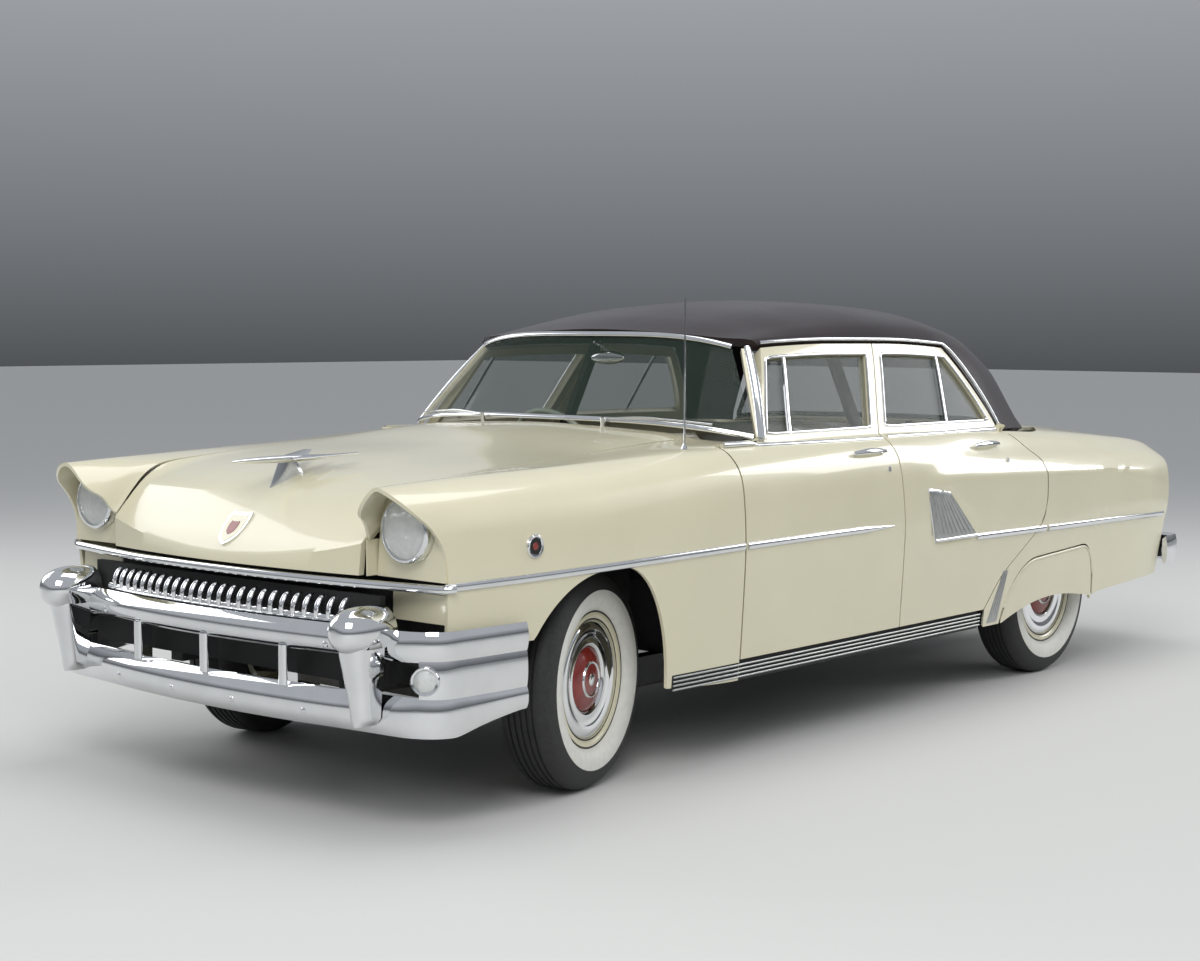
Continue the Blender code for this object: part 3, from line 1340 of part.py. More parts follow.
def build_cowl(mats):
    """The top panel between the hood and the windshield, with the windshield posts."""
    columns = 14
    grid = []
    edge = COWL_HALF
    for i in range(columns + 1):
        share = 2 * i / columns - 1
        x = abs(share) * edge
        line = []
        for v in (0, 0.5, 1):
            end = screen_line(SCREEN_FOOT_WIDTH, -SCREEN_FOOT_CENTRE, -SCREEN_FOOT_SIDE, 0, 0, share, 4.0).y - 2 * SEAM
            y = lerp(-HOOD_REAR + SEAM, end, v)
            point = skin_point(y, top_s(y, x) if x > 0 else 0)
            point.x = math.copysign(point.x, share)
            line.append(point)
        grid.append(line)
    inner = thickened(grid, LID_SKIN, Vector((0, -HOOD_REAR, 0)))
    parts = [shell(grid, inner)]
    for side in (1, -1):
        root = Vector((side * (COWL_HALF - OVERRUN / 2), -PILLAR_FOOT - 2.5 * POST_SIZE, BELT_HEIGHT - POST_SIZE / 6))
        foot = Vector((side * POST_FOOT_X, -PILLAR_FOOT - 0.85 * POST_SIZE, BELT_HEIGHT + POST_SIZE / 2))
        head = Vector((side * POST_HEAD_X, -PILLAR_HEAD - POST_SIZE, rail_height(-PILLAR_HEAD) - POST_SIZE / 3))
        parts.append(beam(root, foot, POST_SIZE / 2, POST_SIZE / 3))
        parts.append(beam(foot, head, 0.8 * POST_SIZE, 0.8 * POST_SIZE))
    finish("cowl", joined(parts), mats["paint"])


# Engine, exhaust and tank
ENGINE_HEIGHT = 0.330
ENGINE_LOW = 0.300
ENGINE_TOP = 0.780
ENGINE_FRONT = -2.020
ENGINE_REAR = -1.120
GEARBOX_END = -0.420
ENGINE_HALF = 0.235
GEARBOX_HALF = 0.120
PIPE_RADIUS = 0.024
MUFFLER_RADIUS = 0.060
EXHAUST_HEIGHT = 0.190
TANK_DEPTH = 0.170


def build_engine(mats):
    body = block((-ENGINE_HALF, ENGINE_FRONT, ENGINE_LOW), (ENGINE_HALF, ENGINE_REAR, ENGINE_TOP))
    gearbox = block((-GEARBOX_HALF, ENGINE_REAR - OVERRUN, ENGINE_HEIGHT - GEARBOX_HALF / 2),
                    (GEARBOX_HALF, GEARBOX_END, ENGINE_HEIGHT + GEARBOX_HALF / 2))
    finish("engine", joined([body, gearbox]), mats["iron"])


def build_underside(mats):
    """Exhaust pipe with its muffler, the fuel tank and the inner front panels."""
    muffler_x = RAIL_CENTRE - RAIL_WIDTH / 2 - MUFFLER_RADIUS - 3 * FIT
    height = EXHAUST_HEIGHT
    pipe_start = Vector((muffler_x, ENGINE_REAR, height))
    muffler_start = Vector((muffler_x, -2 * MUFFLER_RADIUS, height))
    muffler_end = Vector((muffler_x, 6 * MUFFLER_RADIUS, height))
    low = Vector((muffler_x, REAR_AXLE - SPRING_REACH, height))
    tail = Vector((muffler_x, HALF_LENGTH - DUCT_SETBACK, height))
    parts = [rod(pipe_start, low + Vector((0, OVERRUN, 0)), PIPE_RADIUS),
             rod(muffler_start, muffler_end, MUFFLER_RADIUS, 14),
             rod(low, tail, PIPE_RADIUS)]
    parts.append(block((muffler_x, MUFFLER_RADIUS, height),
                       (RAIL_CENTRE - RAIL_WIDTH / 2 - FIT, 2 * MUFFLER_RADIUS, height + MUFFLER_RADIUS)))
    finish("exhaust", joined(parts), mats["black"])
    top = TRUNK_FLOOR - FLOOR_SHEET - FIT
    front = REAR_AXLE + SPRING_REACH * 0.55
    tank = block((-RAIL_CENTRE + RAIL_WIDTH, front, top - TANK_DEPTH),
                 (RAIL_CENTRE - RAIL_WIDTH, REAR_AXLE + 1.30 * SPRING_REACH, top))
    finish("fuel_tank", tank, mats["black"])


DUCT_SETBACK = 0.200
APRON_X = 0.470
APRON_LOW = 0.505
SUPPORT_Y = 2.270
SUPPORT_HIGH = 0.870
SUPPORT_HALF = 0.800
HOOD_REST_ROW = 4


def support_low():
    return rail_top(-SUPPORT_Y) + FIT


def build_front_structure(mats):
    """Radiator support and the inner walls of the front wheel openings."""
    support = block((-SUPPORT_HALF, -SUPPORT_Y, support_low()), (SUPPORT_HALF, -SUPPORT_Y + FLOOR_SHEET, SUPPORT_HIGH))
    faces = hood_faces()[1]
    half = OVERRUN / 10
    rest = underside(faces, len(faces) // 2, HOOD_REST_ROW, half)
    parts = [support, block((-half, rest.y - half, SUPPORT_HIGH - OVERRUN), (half, rest.y + half, rest.z)),
             block((-OVERRUN, -SUPPORT_Y, SUPPORT_HIGH - OVERRUN), (OVERRUN, rest.y + half, SUPPORT_HIGH))]
    for side in (1, -1):
        xs = sorted((side * APRON_X, side * (APRON_X + SKIN)))
        outline = ((-SUPPORT_Y + FLOOR_SHEET / 2, APRON_LOW), (DASH_Y - OVERRUN, APRON_LOW),
                   (DASH_Y - OVERRUN, 0.94 * BELT_HEIGHT), (-SUPPORT_Y + FLOOR_SHEET / 2, SUPPORT_HIGH - OVERRUN))
        parts.append(prism(outline, xs[0], xs[1], 0))
    finish("front_structure", joined(parts), mats["black"])


def build_lamps(mats):
    for side, hand in ((1, "left"), (-1, "right")):
        place = Matrix.Translation((side * LAMP_X, -LAMP_Y, LAMP_Z)) @ Matrix.Rotation(-math.pi / 2, 4, "Z")
        back = -(LAMP_Y - SUPPORT_Y) + FIT
        profile = ((0.0, LENS_CROWN), (0.5 * LENS_RADIUS, 0.8 * LENS_CROWN), (LENS_RADIUS, 0.1 * LENS_CROWN),
                   (0.94 * LAMP_RADIUS, 0.5 * LENS_CROWN), (LAMP_RADIUS, 0.0), (LAMP_RADIUS, -LAMP_RIM_DEPTH),
                   (BUCKET_RADIUS, -LAMP_RIM_DEPTH), (BUCKET_RADIUS, back), (0.0, back))
        finish("headlamp_" + hand, turned(profile, 16, place), mats["glass"])


# Front bumper and grille
BAR_HALF = 0.700
BAR_NOSE = 2.530
BAR_BOW = 0.060
CORNER_Y = 2.410
END_X = 0.958
END_Y = 2.060
UPPER_BAR = (0.522, 0.612)
LOWER_BAR = (0.300, 0.420)
BAR_DEPTH = 0.075
END_DEPTH = 0.022
GUARD_X = 0.720
GUARD_NOSE = 2.620
GUARD_RADIUS = 0.072
GUARD_HEIGHT = 0.612
GUARD_FOOT = 0.330
DIVIDER_WIDTH = 0.036


def bumper_path(nose, bow, corner_y, end_y):
    """Plan line of a bumper from the left end round to the right, at ground level."""
    front = [(share, -nose + bow * share ** 2) for share in (-1, -0.75, -0.5, -0.25, 0, 0.25, 0.5, 0.75, 1)]
    path = [Vector((share * BAR_HALF, y, 0)) for share, y in front]
    reach = corner_y - end_y
    corner = [Vector((0.870 * END_X, -corner_y - 0.10 * reach, 0)), Vector((0.962 * END_X, -corner_y + 0.08 * reach, 0)),
              Vector((0.985 * END_X, -corner_y + 0.40 * reach, 0)), Vector((END_X, -end_y, 0))]
    right = [Vector((-point.x, point.y, 0)) for point in reversed(corner)]
    return right + path + corner


def bar_depth(share):
    """A bar's depth, thin where it wraps round the fenders."""
    away = abs(2 * share - 1)
    return lerp(BAR_DEPTH, END_DEPTH, min(1.0, max(0.0, (away - 0.4) / 0.25)))


def bar_profile(low, high, depth):
    """A rolled bar, full at its middle: (out, up) points with the face toward +out."""
    middle = (low + high) / 2
    half = (high - low) / 2
    return [(-depth, middle - 0.8 * half), (-0.15 * depth, low), (0.0, middle - 0.55 * half), (0.12 * depth, middle),
            (0.0, middle + 0.55 * half), (-0.15 * depth, high), (-depth, middle + 0.8 * half)]


def build_bumper_front(mats):
    path = bumper_path(BAR_NOSE, BAR_BOW, CORNER_Y, END_Y)
    parts = [swept(path, lambda share: bar_profile(*UPPER_BAR, bar_depth(share))),
             swept(path, lambda share: bar_profile(*LOWER_BAR, bar_depth(share)))]
    for side in (1, -1):
        ends = [point for point in path if point.x * side > 0.85 * END_X]
        inner = bar_profile(LOWER_BAR[1] - OVERRUN, UPPER_BAR[0] + OVERRUN, 0.7 * END_DEPTH)
        parts.append(swept(ends, [(out - 0.25 * END_DEPTH, up) for out, up in inner]))
        nose = Vector((side * GUARD_X, -GUARD_NOSE, GUARD_HEIGHT))
        back = GUARD_NOSE - BAR_NOSE + BAR_DEPTH
        place = Matrix.Translation(nose) @ Matrix.Rotation(math.pi / 2, 4, "Z")
        shape = ((0.0, 0.0), (0.55 * GUARD_RADIUS, 0.10 * back), (0.9 * GUARD_RADIUS, 0.35 * back),
                 (GUARD_RADIUS, 0.7 * back), (0.95 * GUARD_RADIUS, back + OVERRUN), (0.0, back + OVERRUN))
        parts.append(turned(shape, 16, place))
        foot = [(-GUARD_NOSE + 0.55 * back, GUARD_HEIGHT), (-BAR_NOSE - 0.2 * BAR_DEPTH, GUARD_FOOT),
                (-BAR_NOSE + BAR_DEPTH, GUARD_FOOT), (-BAR_NOSE + BAR_DEPTH, GUARD_HEIGHT)]
        half = 0.55 * GUARD_RADIUS
        parts.append(prism(foot, side * GUARD_X - half, side * GUARD_X + half, 0))
        arm = sorted((side * (RAIL_CENTRE - RAIL_WIDTH / 2), side * (RAIL_CENTRE + RAIL_WIDTH / 2)))
        rail_end = rail_line()[0]
        parts.append(block((arm[0], -BAR_NOSE + 0.5 * BAR_DEPTH, LOWER_BAR[0] + OVERRUN),
                           (arm[1], rail_end.y - FIT, LOWER_BAR[1] + OVERRUN)))
    for share in (-0.5, 0.0, 0.5):
        x = share * GUARD_X
        y = -BAR_NOSE + BAR_BOW * (x / BAR_HALF) ** 2
        half = DIVIDER_WIDTH / 2
        parts.append(block((x - half, y + 0.15 * BAR_DEPTH, LOWER_BAR[1] - OVERRUN),
                           (x + half, y + 0.7 * BAR_DEPTH, UPPER_BAR[0] + OVERRUN)))
    finish("bumper_front", joined(parts), mats["chrome"])


TOOTH_COUNT = 25
TOOTH_SPAN = 0.560
TOOTH_WIDTH = 0.020
TOOTH_LOW = 0.626
TOOTH_HIGH = 0.684
TEETH_NOSE = 2.490
CAVITY_Y = 2.330


def build_grille(mats):
    """Chrome lip under the hood, dark back panel and the row of teeth above the bumper."""
    lip = []
    for k in range(13):
        share = 2 * k / 12 - 1
        lip.append(Vector((share * 0.885, -HOOD_NOSE + HOOD_SIDE_SETBACK * (1.3 * share) ** 2, 0)))
    lip_profile = [(-LIP_DEPTH, LIP_HEIGHT - LIP_THICKNESS / 2), (0, LIP_HEIGHT - LIP_THICKNESS / 2),
                   (LIP_DEPTH / 3, LIP_HEIGHT), (0, LIP_HEIGHT + LIP_THICKNESS / 2),
                   (-LIP_DEPTH, LIP_HEIGHT + LIP_THICKNESS / 2)]
    parts = [swept(lip, lip_profile)]
    bed = []
    for k in range(9):
        share = 2 * k / 8 - 1
        bed.append(Vector((share * (TOOTH_SPAN + 2 * TOOTH_WIDTH), -TEETH_NOSE + BAR_BOW * share ** 2 * 0.8, 0)))
    parts.append(swept(bed, [(-LIP_DEPTH * 1.6, TOOTH_LOW - TOOTH_WIDTH / 2), (0, TOOTH_LOW - TOOTH_WIDTH / 2),
                             (0, TOOTH_LOW + TOOTH_WIDTH / 4), (-LIP_DEPTH * 1.6, TOOTH_LOW + TOOTH_WIDTH)]))
    back = block((-0.66, -CAVITY_Y - SKIN, support_low() + OVERRUN), (0.66, -CAVITY_Y, LIP_HEIGHT))
    parts.append(back)
    brace = ((-0.50, LIP_HEIGHT), (0.50, LIP_HEIGHT))
    for x, z in brace:
        parts.append(block((x - OVERRUN, -HOOD_NOSE + LIP_DEPTH, z - LIP_THICKNESS / 3),
                           (x + OVERRUN, -SUPPORT_Y - FIT, z + LIP_THICKNESS / 3)))
        parts.append(block((x - OVERRUN, -TEETH_NOSE + LIP_DEPTH, TOOTH_LOW - TOOTH_WIDTH / 3),
                           (x + OVERRUN, -CAVITY_Y - SKIN / 2, TOOTH_LOW + TOOTH_WIDTH / 3)))
    for k in range(TOOTH_COUNT):
        share = 2 * k / (TOOTH_COUNT - 1) - 1
        x = share * TOOTH_SPAN
        y = -TEETH_NOSE + BAR_BOW * share ** 2 * 0.8
        outline = ((y - 0.3 * TOOTH_WIDTH, TOOTH_LOW - TOOTH_WIDTH / 4), (y + LIP_DEPTH, TOOTH_LOW - TOOTH_WIDTH / 4),
                   (y + 1.3 * LIP_DEPTH, TOOTH_HIGH - TOOTH_WIDTH / 2), (y + 0.6 * LIP_DEPTH, TOOTH_HIGH))
        parts.append(prism(outline, x - TOOTH_WIDTH / 2, x + TOOTH_WIDTH / 2, 0))
    finish("grille", joined(parts), mats["chrome"])


# Tail
REAR_BAR = (0.400, 0.530)
REAR_NOSE = 2.600
REAR_BOW = 0.090
REAR_CORNER = 2.500
REAR_END = 2.310
REAR_GUARD_X = 0.560
TAIL_PANEL_Y = 2.400
TAIL_LAMP_X = 0.8270
TAIL_LAMP_LOW = 0.640
TAIL_LAMP_HIGH = 0.885
TAIL_LAMP_HALF = 0.045


def build_tail(mats):
    path = [Vector((point.x, -point.y, 0)) for point in bumper_path(REAR_NOSE, REAR_BOW, REAR_CORNER, REAR_END)]
    path.reverse()
    parts = [swept(path, lambda share: bar_profile(*REAR_BAR, bar_depth(share)))]
    for side in (1, -1):
        x = side * REAR_GUARD_X
        y = REAR_NOSE - REAR_BOW * (REAR_GUARD_X / BAR_HALF) ** 2
        half = 0.55 * GUARD_RADIUS
        outline = ((y - BAR_DEPTH / 2, REAR_BAR[0] - OVERRUN), (y + OVERRUN, REAR_BAR[0] - OVERRUN),
                   (y + 2 * OVERRUN, REAR_BAR[1]), (y + OVERRUN, REAR_BAR[1] + 3 * OVERRUN), (y - BAR_DEPTH / 2, REAR_BAR[1] + 2 * OVERRUN))
        parts.append(prism(outline, x - half, x + half, 0))
        rail_end = rail_line()[-1]
        arm = sorted((side * (RAIL_CENTRE - RAIL_WIDTH / 2), side * (RAIL_CENTRE + RAIL_WIDTH / 2)))
        parts.append(block((arm[0], rail_end.y + FIT, REAR_BAR[0] + OVERRUN / 2),
                           (arm[1], REAR_NOSE - REAR_BOW - BAR_DEPTH / 4, REAR_BAR[0] + 3 * OVERRUN)))
    finish("bumper_rear", joined(parts), mats["chrome"])
    panel = block((-DECK_SEAM_WIDTH, TAIL_PANEL_Y - SKIN, REAR_BAR[0] + 4 * OVERRUN), (DECK_SEAM_WIDTH, TAIL_PANEL_Y, 0.56 * BELT_HEIGHT - SEAM))
    floor_lip = block((-NARROW_HALF, TRUNK_END + FIT, TRUNK_FLOOR - FLOOR_SHEET), (NARROW_HALF, TAIL_PANEL_Y - SKIN / 2, TRUNK_FLOOR))
    lid = trunk_faces()
    middle = len(lid[0]) // 2
    low_edge = min(lid[0][middle][-1].z, lid[1][middle][-1].z)
    latch = block((-OVERRUN, TAIL_PANEL_Y - SKIN / 2, low_edge - 2 * OVERRUN), (OVERRUN, lid[0][middle][-1].y, low_edge - 2 * FIT))
    finish("tail_panel", joined([panel, floor_lip, latch]), mats["paint"])
    for side, hand in ((1, "left"), (-1, "right")):
        outline = ((TAIL_END - 0.16, TAIL_LAMP_LOW), (TAIL_END + 0.6 * TAIL_LAMP_HALF, TAIL_LAMP_LOW),
                   (TAIL_END + TAIL_LAMP_HALF, lerp(TAIL_LAMP_LOW, TAIL_LAMP_HIGH, 0.6)),
                   (TAIL_END + 0.4 * TAIL_LAMP_HALF, TAIL_LAMP_HIGH), (TAIL_END - 0.16, TAIL_LAMP_HIGH))
        lamp = prism(outline, side * TAIL_LAMP_X - TAIL_LAMP_HALF, side * TAIL_LAMP_X + TAIL_LAMP_HALF, 0)
        finish("taillamp_" + hand, lamp, mats["lamp"])


# Cabin
SEAT_HALF = 0.690
CUSHION_TOP = 0.600
REAR_CUSHION_TOP = 0.660
BACK_TOP = 0.945
BACK_THICKNESS = 0.150
FRONT_SEAT_Y = -0.260
REAR_SEAT_Y = 0.640
CUSHION_LENGTH = 0.480
DASH_HALF = 0.700
DASH_DEPTH = 0.150
DASH_TOP = 1.060
DASH_LOW = 0.830
WHEEL_X = 0.370
STEERING_RADIUS = 0.220
STEERING_RIM = 0.012
STEERING_HUB = (-0.440, 0.965)
COLUMN_RAKE = math.radians(62)
ANTENNA_X = 0.800
ANTENNA_Y = 1.115
ANTENNA_TOP = 1.590
ANTENNA_RADIUS = 0.003


def build_seats(mats):
    """Two bench seats, each a cushion and a back in one side outline."""
    specs = (
        ("front_seat", FRONT_SEAT_Y, TUNNEL_TOP + FIT, CUSHION_TOP, CUSHION_LENGTH, BACK_TOP, 0.55 * BACK_THICKNESS),
        ("rear_seat", REAR_SEAT_Y, TRUNK_FLOOR + FIT, REAR_CUSHION_TOP, SEAT_BACK_Y - REAR_SEAT_Y - BACK_THICKNESS,
         BACK_TOP, 0.3 * BACK_THICKNESS),
    )
    for name, front, base, top, length, back_top, rake in specs:
        back = front + length
        crown = 0.3 * BACK_THICKNESS
        end = back + BACK_THICKNESS - crown / 4
        outline = [(front, base), (front - crown / 3, top - crown), (front + crown, top), (back - crown, top - crown / 2),
                   (back + rake - crown, back_top - crown), (back + rake, back_top), (end + rake - crown, back_top),
                   (end + rake - crown / 2, back_top - crown), (end - crown, base)]
        finish(name, prism(outline, -SEAT_HALF, SEAT_HALF, 0), mats["seat"])


def build_dash(mats):
    rear = DASH_Y + FLOOR_SHEET + DASH_DEPTH
    outline = [(DASH_Y + FLOOR_SHEET + FIT, DASH_LOW), (rear - OVERRUN, DASH_LOW), (rear, 0.96 * DASH_TOP),
               (rear - OVERRUN, DASH_TOP), (DASH_Y + FLOOR_SHEET + FIT, DASH_TOP)]
    parts = [prism(outline, -DASH_HALF, DASH_HALF, 0)]
    hub = Vector((-WHEEL_X, STEERING_HUB[0], STEERING_HUB[1]))
    axis = Vector((0, math.sin(COLUMN_RAKE), math.cos(COLUMN_RAKE)))
    column_end = hub - axis * (2.3 * STEERING_RADIUS)
    parts.append(rod(column_end, hub - axis * (0.3 * STEERING_RADIUS), 2 * STEERING_RIM))
    parts.append(block((column_end.x - 3 * STEERING_RIM, rear - 5 * OVERRUN, column_end.z),
                       (column_end.x + 3 * STEERING_RIM, rear - 2 * OVERRUN, DASH_LOW + OVERRUN)))
    finish("dashboard", joined(parts), mats["paint"])
    turn = Vector((1, 0, 0)).rotation_difference(axis).to_matrix().to_4x4()
    place = Matrix.Translation(hub) @ turn
    rim = []
    for k in range(6):
        angle = math.tau * k / 6
        rim.append((STEERING_RADIUS + STEERING_RIM * math.cos(angle), STEERING_RIM * math.sin(angle)))
    parts = [turned(rim, 24, place)]
    parts.append(turned([(0, 0.5 * STEERING_RIM), (2 * STEERING_RIM, 0), (2 * STEERING_RIM, -0.3 * STEERING_RADIUS + FIT),
                         (0, -0.3 * STEERING_RADIUS + FIT)], 12, place))
    side = place.to_3x3() @ Vector((0, 1, 0))
    down = place.to_3x3() @ Vector((0, 0, 1))
    for run in (side, -side, down if down.z < 0 else -down):
        parts.append(beam(hub - axis * STEERING_RIM, hub + run * STEERING_RADIUS, 1.5 * STEERING_RIM, STEERING_RIM))
    finish("steering_wheel", joined(parts), mats["ivory"], hub)


def build_antenna(mats):
    base = skin_point(-ANTENNA_Y, top_s(-ANTENNA_Y, ANTENNA_X))
    lean = Matrix.Translation(base + Vector((0, 0, FIT))) @ Matrix.Rotation(-math.pi / 2, 4, "Y")
    height = ANTENNA_TOP - base.z
    profile = [(0, height), (ANTENNA_RADIUS, height), (ANTENNA_RADIUS, 6 * ANTENNA_RADIUS),
               (4 * ANTENNA_RADIUS, 0), (0, 0)]
    finish("antenna", turned(profile, 8, lean), mats["chrome"])


def main():
    clear_scene()
    mats = {
        "paint": paint("ivory_paint", (0.86, 0.80, 0.60), 0.18),
        "roof": paint("black_paint", (0.02, 0.008, 0.008), 0.12),
        "chrome": paint("chrome", (0.75, 0.75, 0.75), 0.08, 1.0),
        "glass": paint("glass", (0.55, 0.62, 0.60), 0.03, 0.0, 0.35),
        "tyre": paint("tyre_rubber", (0.03, 0.03, 0.03), 0.75),
        "iron": paint("iron", (0.12, 0.12, 0.12), 0.6, 0.6),
        "black": paint("black_chassis", (0.03, 0.03, 0.03), 0.6),
        "lamp": paint("red_lamp", (0.45, 0.02, 0.02), 0.15),
        "seat": paint("seat_cloth", (0.50, 0.52, 0.42), 0.85),
        "ivory": paint("ivory_plastic", (0.75, 0.80, 0.68), 0.30),
    }
    build_hood(mats)
    finish("trunk_lid", shell(*trunk_faces()), mats["paint"], TRUNK_HINGE)
    finish("rear_deck", shell(*deck_faces()), mats["paint"])
    build_cowl(mats)
    finish("roof", shell(*roof_faces()), mats["roof"])
    build_screens(mats)
    for side in (1, -1):
        build_fender(side, mats)
        build_door_pair(side, mats)
        build_quarter(side, mats)
        build_skirt(side, mats)
    build_wheels(mats)
    build_front_suspension(mats)
    build_rear_axle(mats)
    build_frame(mats)
    build_body_shell(mats)
    build_engine(mats)
    build_underside(mats)
    build_front_structure(mats)
    build_lamps(mats)
    build_bumper_front(mats)
    build_grille(mats)
    build_tail(mats)
    build_seats(mats)
    build_dash(mats)
    build_antenna(mats)


main()
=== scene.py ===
"""Looks of a 1950s four-door sedan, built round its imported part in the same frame.

Metres, +Z up, the front of the car toward -Y and its left side at +X.
The body's skin is rebuilt from the part's own section tables with finer steps; trim, wheels,
cloth and lamps are added to it, and each piece rides on the body of the part that carries it.
"""
import json
import math

import bmesh
import bpy
from mathutils import Matrix, Vector


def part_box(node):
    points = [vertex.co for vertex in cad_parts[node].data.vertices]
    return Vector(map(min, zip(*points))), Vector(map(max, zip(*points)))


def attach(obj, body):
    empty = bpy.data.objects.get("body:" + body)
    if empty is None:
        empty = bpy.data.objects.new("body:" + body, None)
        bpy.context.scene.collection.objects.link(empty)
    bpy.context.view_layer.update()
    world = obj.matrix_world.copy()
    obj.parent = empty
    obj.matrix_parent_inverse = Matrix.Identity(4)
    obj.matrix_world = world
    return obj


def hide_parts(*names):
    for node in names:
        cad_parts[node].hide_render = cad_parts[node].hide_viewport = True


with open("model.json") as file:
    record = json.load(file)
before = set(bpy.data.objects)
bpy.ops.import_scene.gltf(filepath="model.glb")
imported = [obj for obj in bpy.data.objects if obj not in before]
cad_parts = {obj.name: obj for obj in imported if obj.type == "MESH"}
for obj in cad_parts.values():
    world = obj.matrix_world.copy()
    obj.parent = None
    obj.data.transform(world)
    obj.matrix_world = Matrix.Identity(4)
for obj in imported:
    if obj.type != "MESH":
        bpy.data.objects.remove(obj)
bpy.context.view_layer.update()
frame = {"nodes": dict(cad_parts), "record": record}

AHEAD = Vector((0, -1, 0))
ASTERN = Vector((0, 1, 0))
UPWARD = Vector((0, 0, 1))

# Overall sizes
LENGTH = 5.24
WIDTH = 1.94
BELT_HEIGHT = 1.09
ROOF_HEIGHT = 1.60
WHEELBASE = 3.023
FRONT_OVERHANG = 0.99
FRONT_TRACK = 1.4764
REAR_TRACK = 1.499
# Clearances
FIT = 0.0003
SEAM = 0.007
OVERRUN = 0.02
# Sheet and wall thicknesses
SKIN = 0.012
LID_SKIN = 0.024
DOOR_WALL = 0.075
FRAME_WALL = 0.036
EDGE_LIP = 0.028
ROOF_WALL = 0.030
GLASS = 0.006
FLOOR_SHEET = 0.020
# Body lines, heights above the ground
SILL_BOTTOM = 0.285
DOOR_BOTTOM = 0.360
WINDOW_SILL = 1.112
RAIL_DROP = 0.026
GLASS_MARGIN = 0.020
FRAME_WIDTH = 0.050
# Headlamps and the chrome lip under the hood
LAMP_X = 0.763
LAMP_Y = 2.379
LAMP_Z = 0.896
LAMP_RIM_DEPTH = 0.022
LENS_RADIUS = 0.086
LENS_CROWN = 0.022
BUCKET_RADIUS = 0.078
LIP_HEIGHT = 0.730
LIP_THICKNESS = 0.026
LIP_TOP = LIP_HEIGHT + LIP_THICKNESS / 2
# Places of the cuts between panels, along the car
HOOD_NOSE = 2.460
NOSE_RAKE = 0.004
NOSE_SHARE = 0.988
HOOD_SIDE_SETBACK = 0.058
HOOD_REAR = 0.985
HOOD_SEAM_WIDTH = 0.655
HOOD_SEAM_FRONT = 0.606
FRONT_DOOR_CUT = 0.972
PILLAR_FOOT = 0.735
PILLAR_HEAD = 0.555
CENTRE_CUT = 0.030
CENTRE_CUT_HEAD = 0.160
DECK_FRONT = 1.640
DECK_SEAM_WIDTH = 0.640
TAIL_END = 2.445
# Wheels and tyres
TYRE_RADIUS = 0.357
TYRE_WIDTH = 0.195
RIM_RADIUS = 0.193
RIM_WIDTH = 0.133
FLANGE_RADIUS = 0.208
KINGPIN_OFFSET = 0.130
KINGPIN_Y = -1.6435
STEER_REST = math.radians(14.6)
# Front wheel openings
ARCH_TOP = 0.735
ARCH_REACH_FRONT = 0.440
ARCH_REACH_REAR = 0.272
# Rear wheel openings and their skirts
SKIRT_FRONT = 0.600
SKIRT_REAR = 0.215
SKIRT_TOP = 0.548
SKIRT_BOTTOM = 0.325
SKIRT_LIFT = 0.040
# Hinge lines
FRONT_HINGE = (0.967, -0.972, 0.700)
REAR_HINGE = (0.970, 0.036, 0.700)
HALF_LENGTH = LENGTH / 2
HALF_WIDTH = WIDTH / 2
FRONT_AXLE = -HALF_LENGTH + FRONT_OVERHANG
REAR_AXLE = FRONT_AXLE + WHEELBASE
HUB_HEIGHT = TYRE_RADIUS
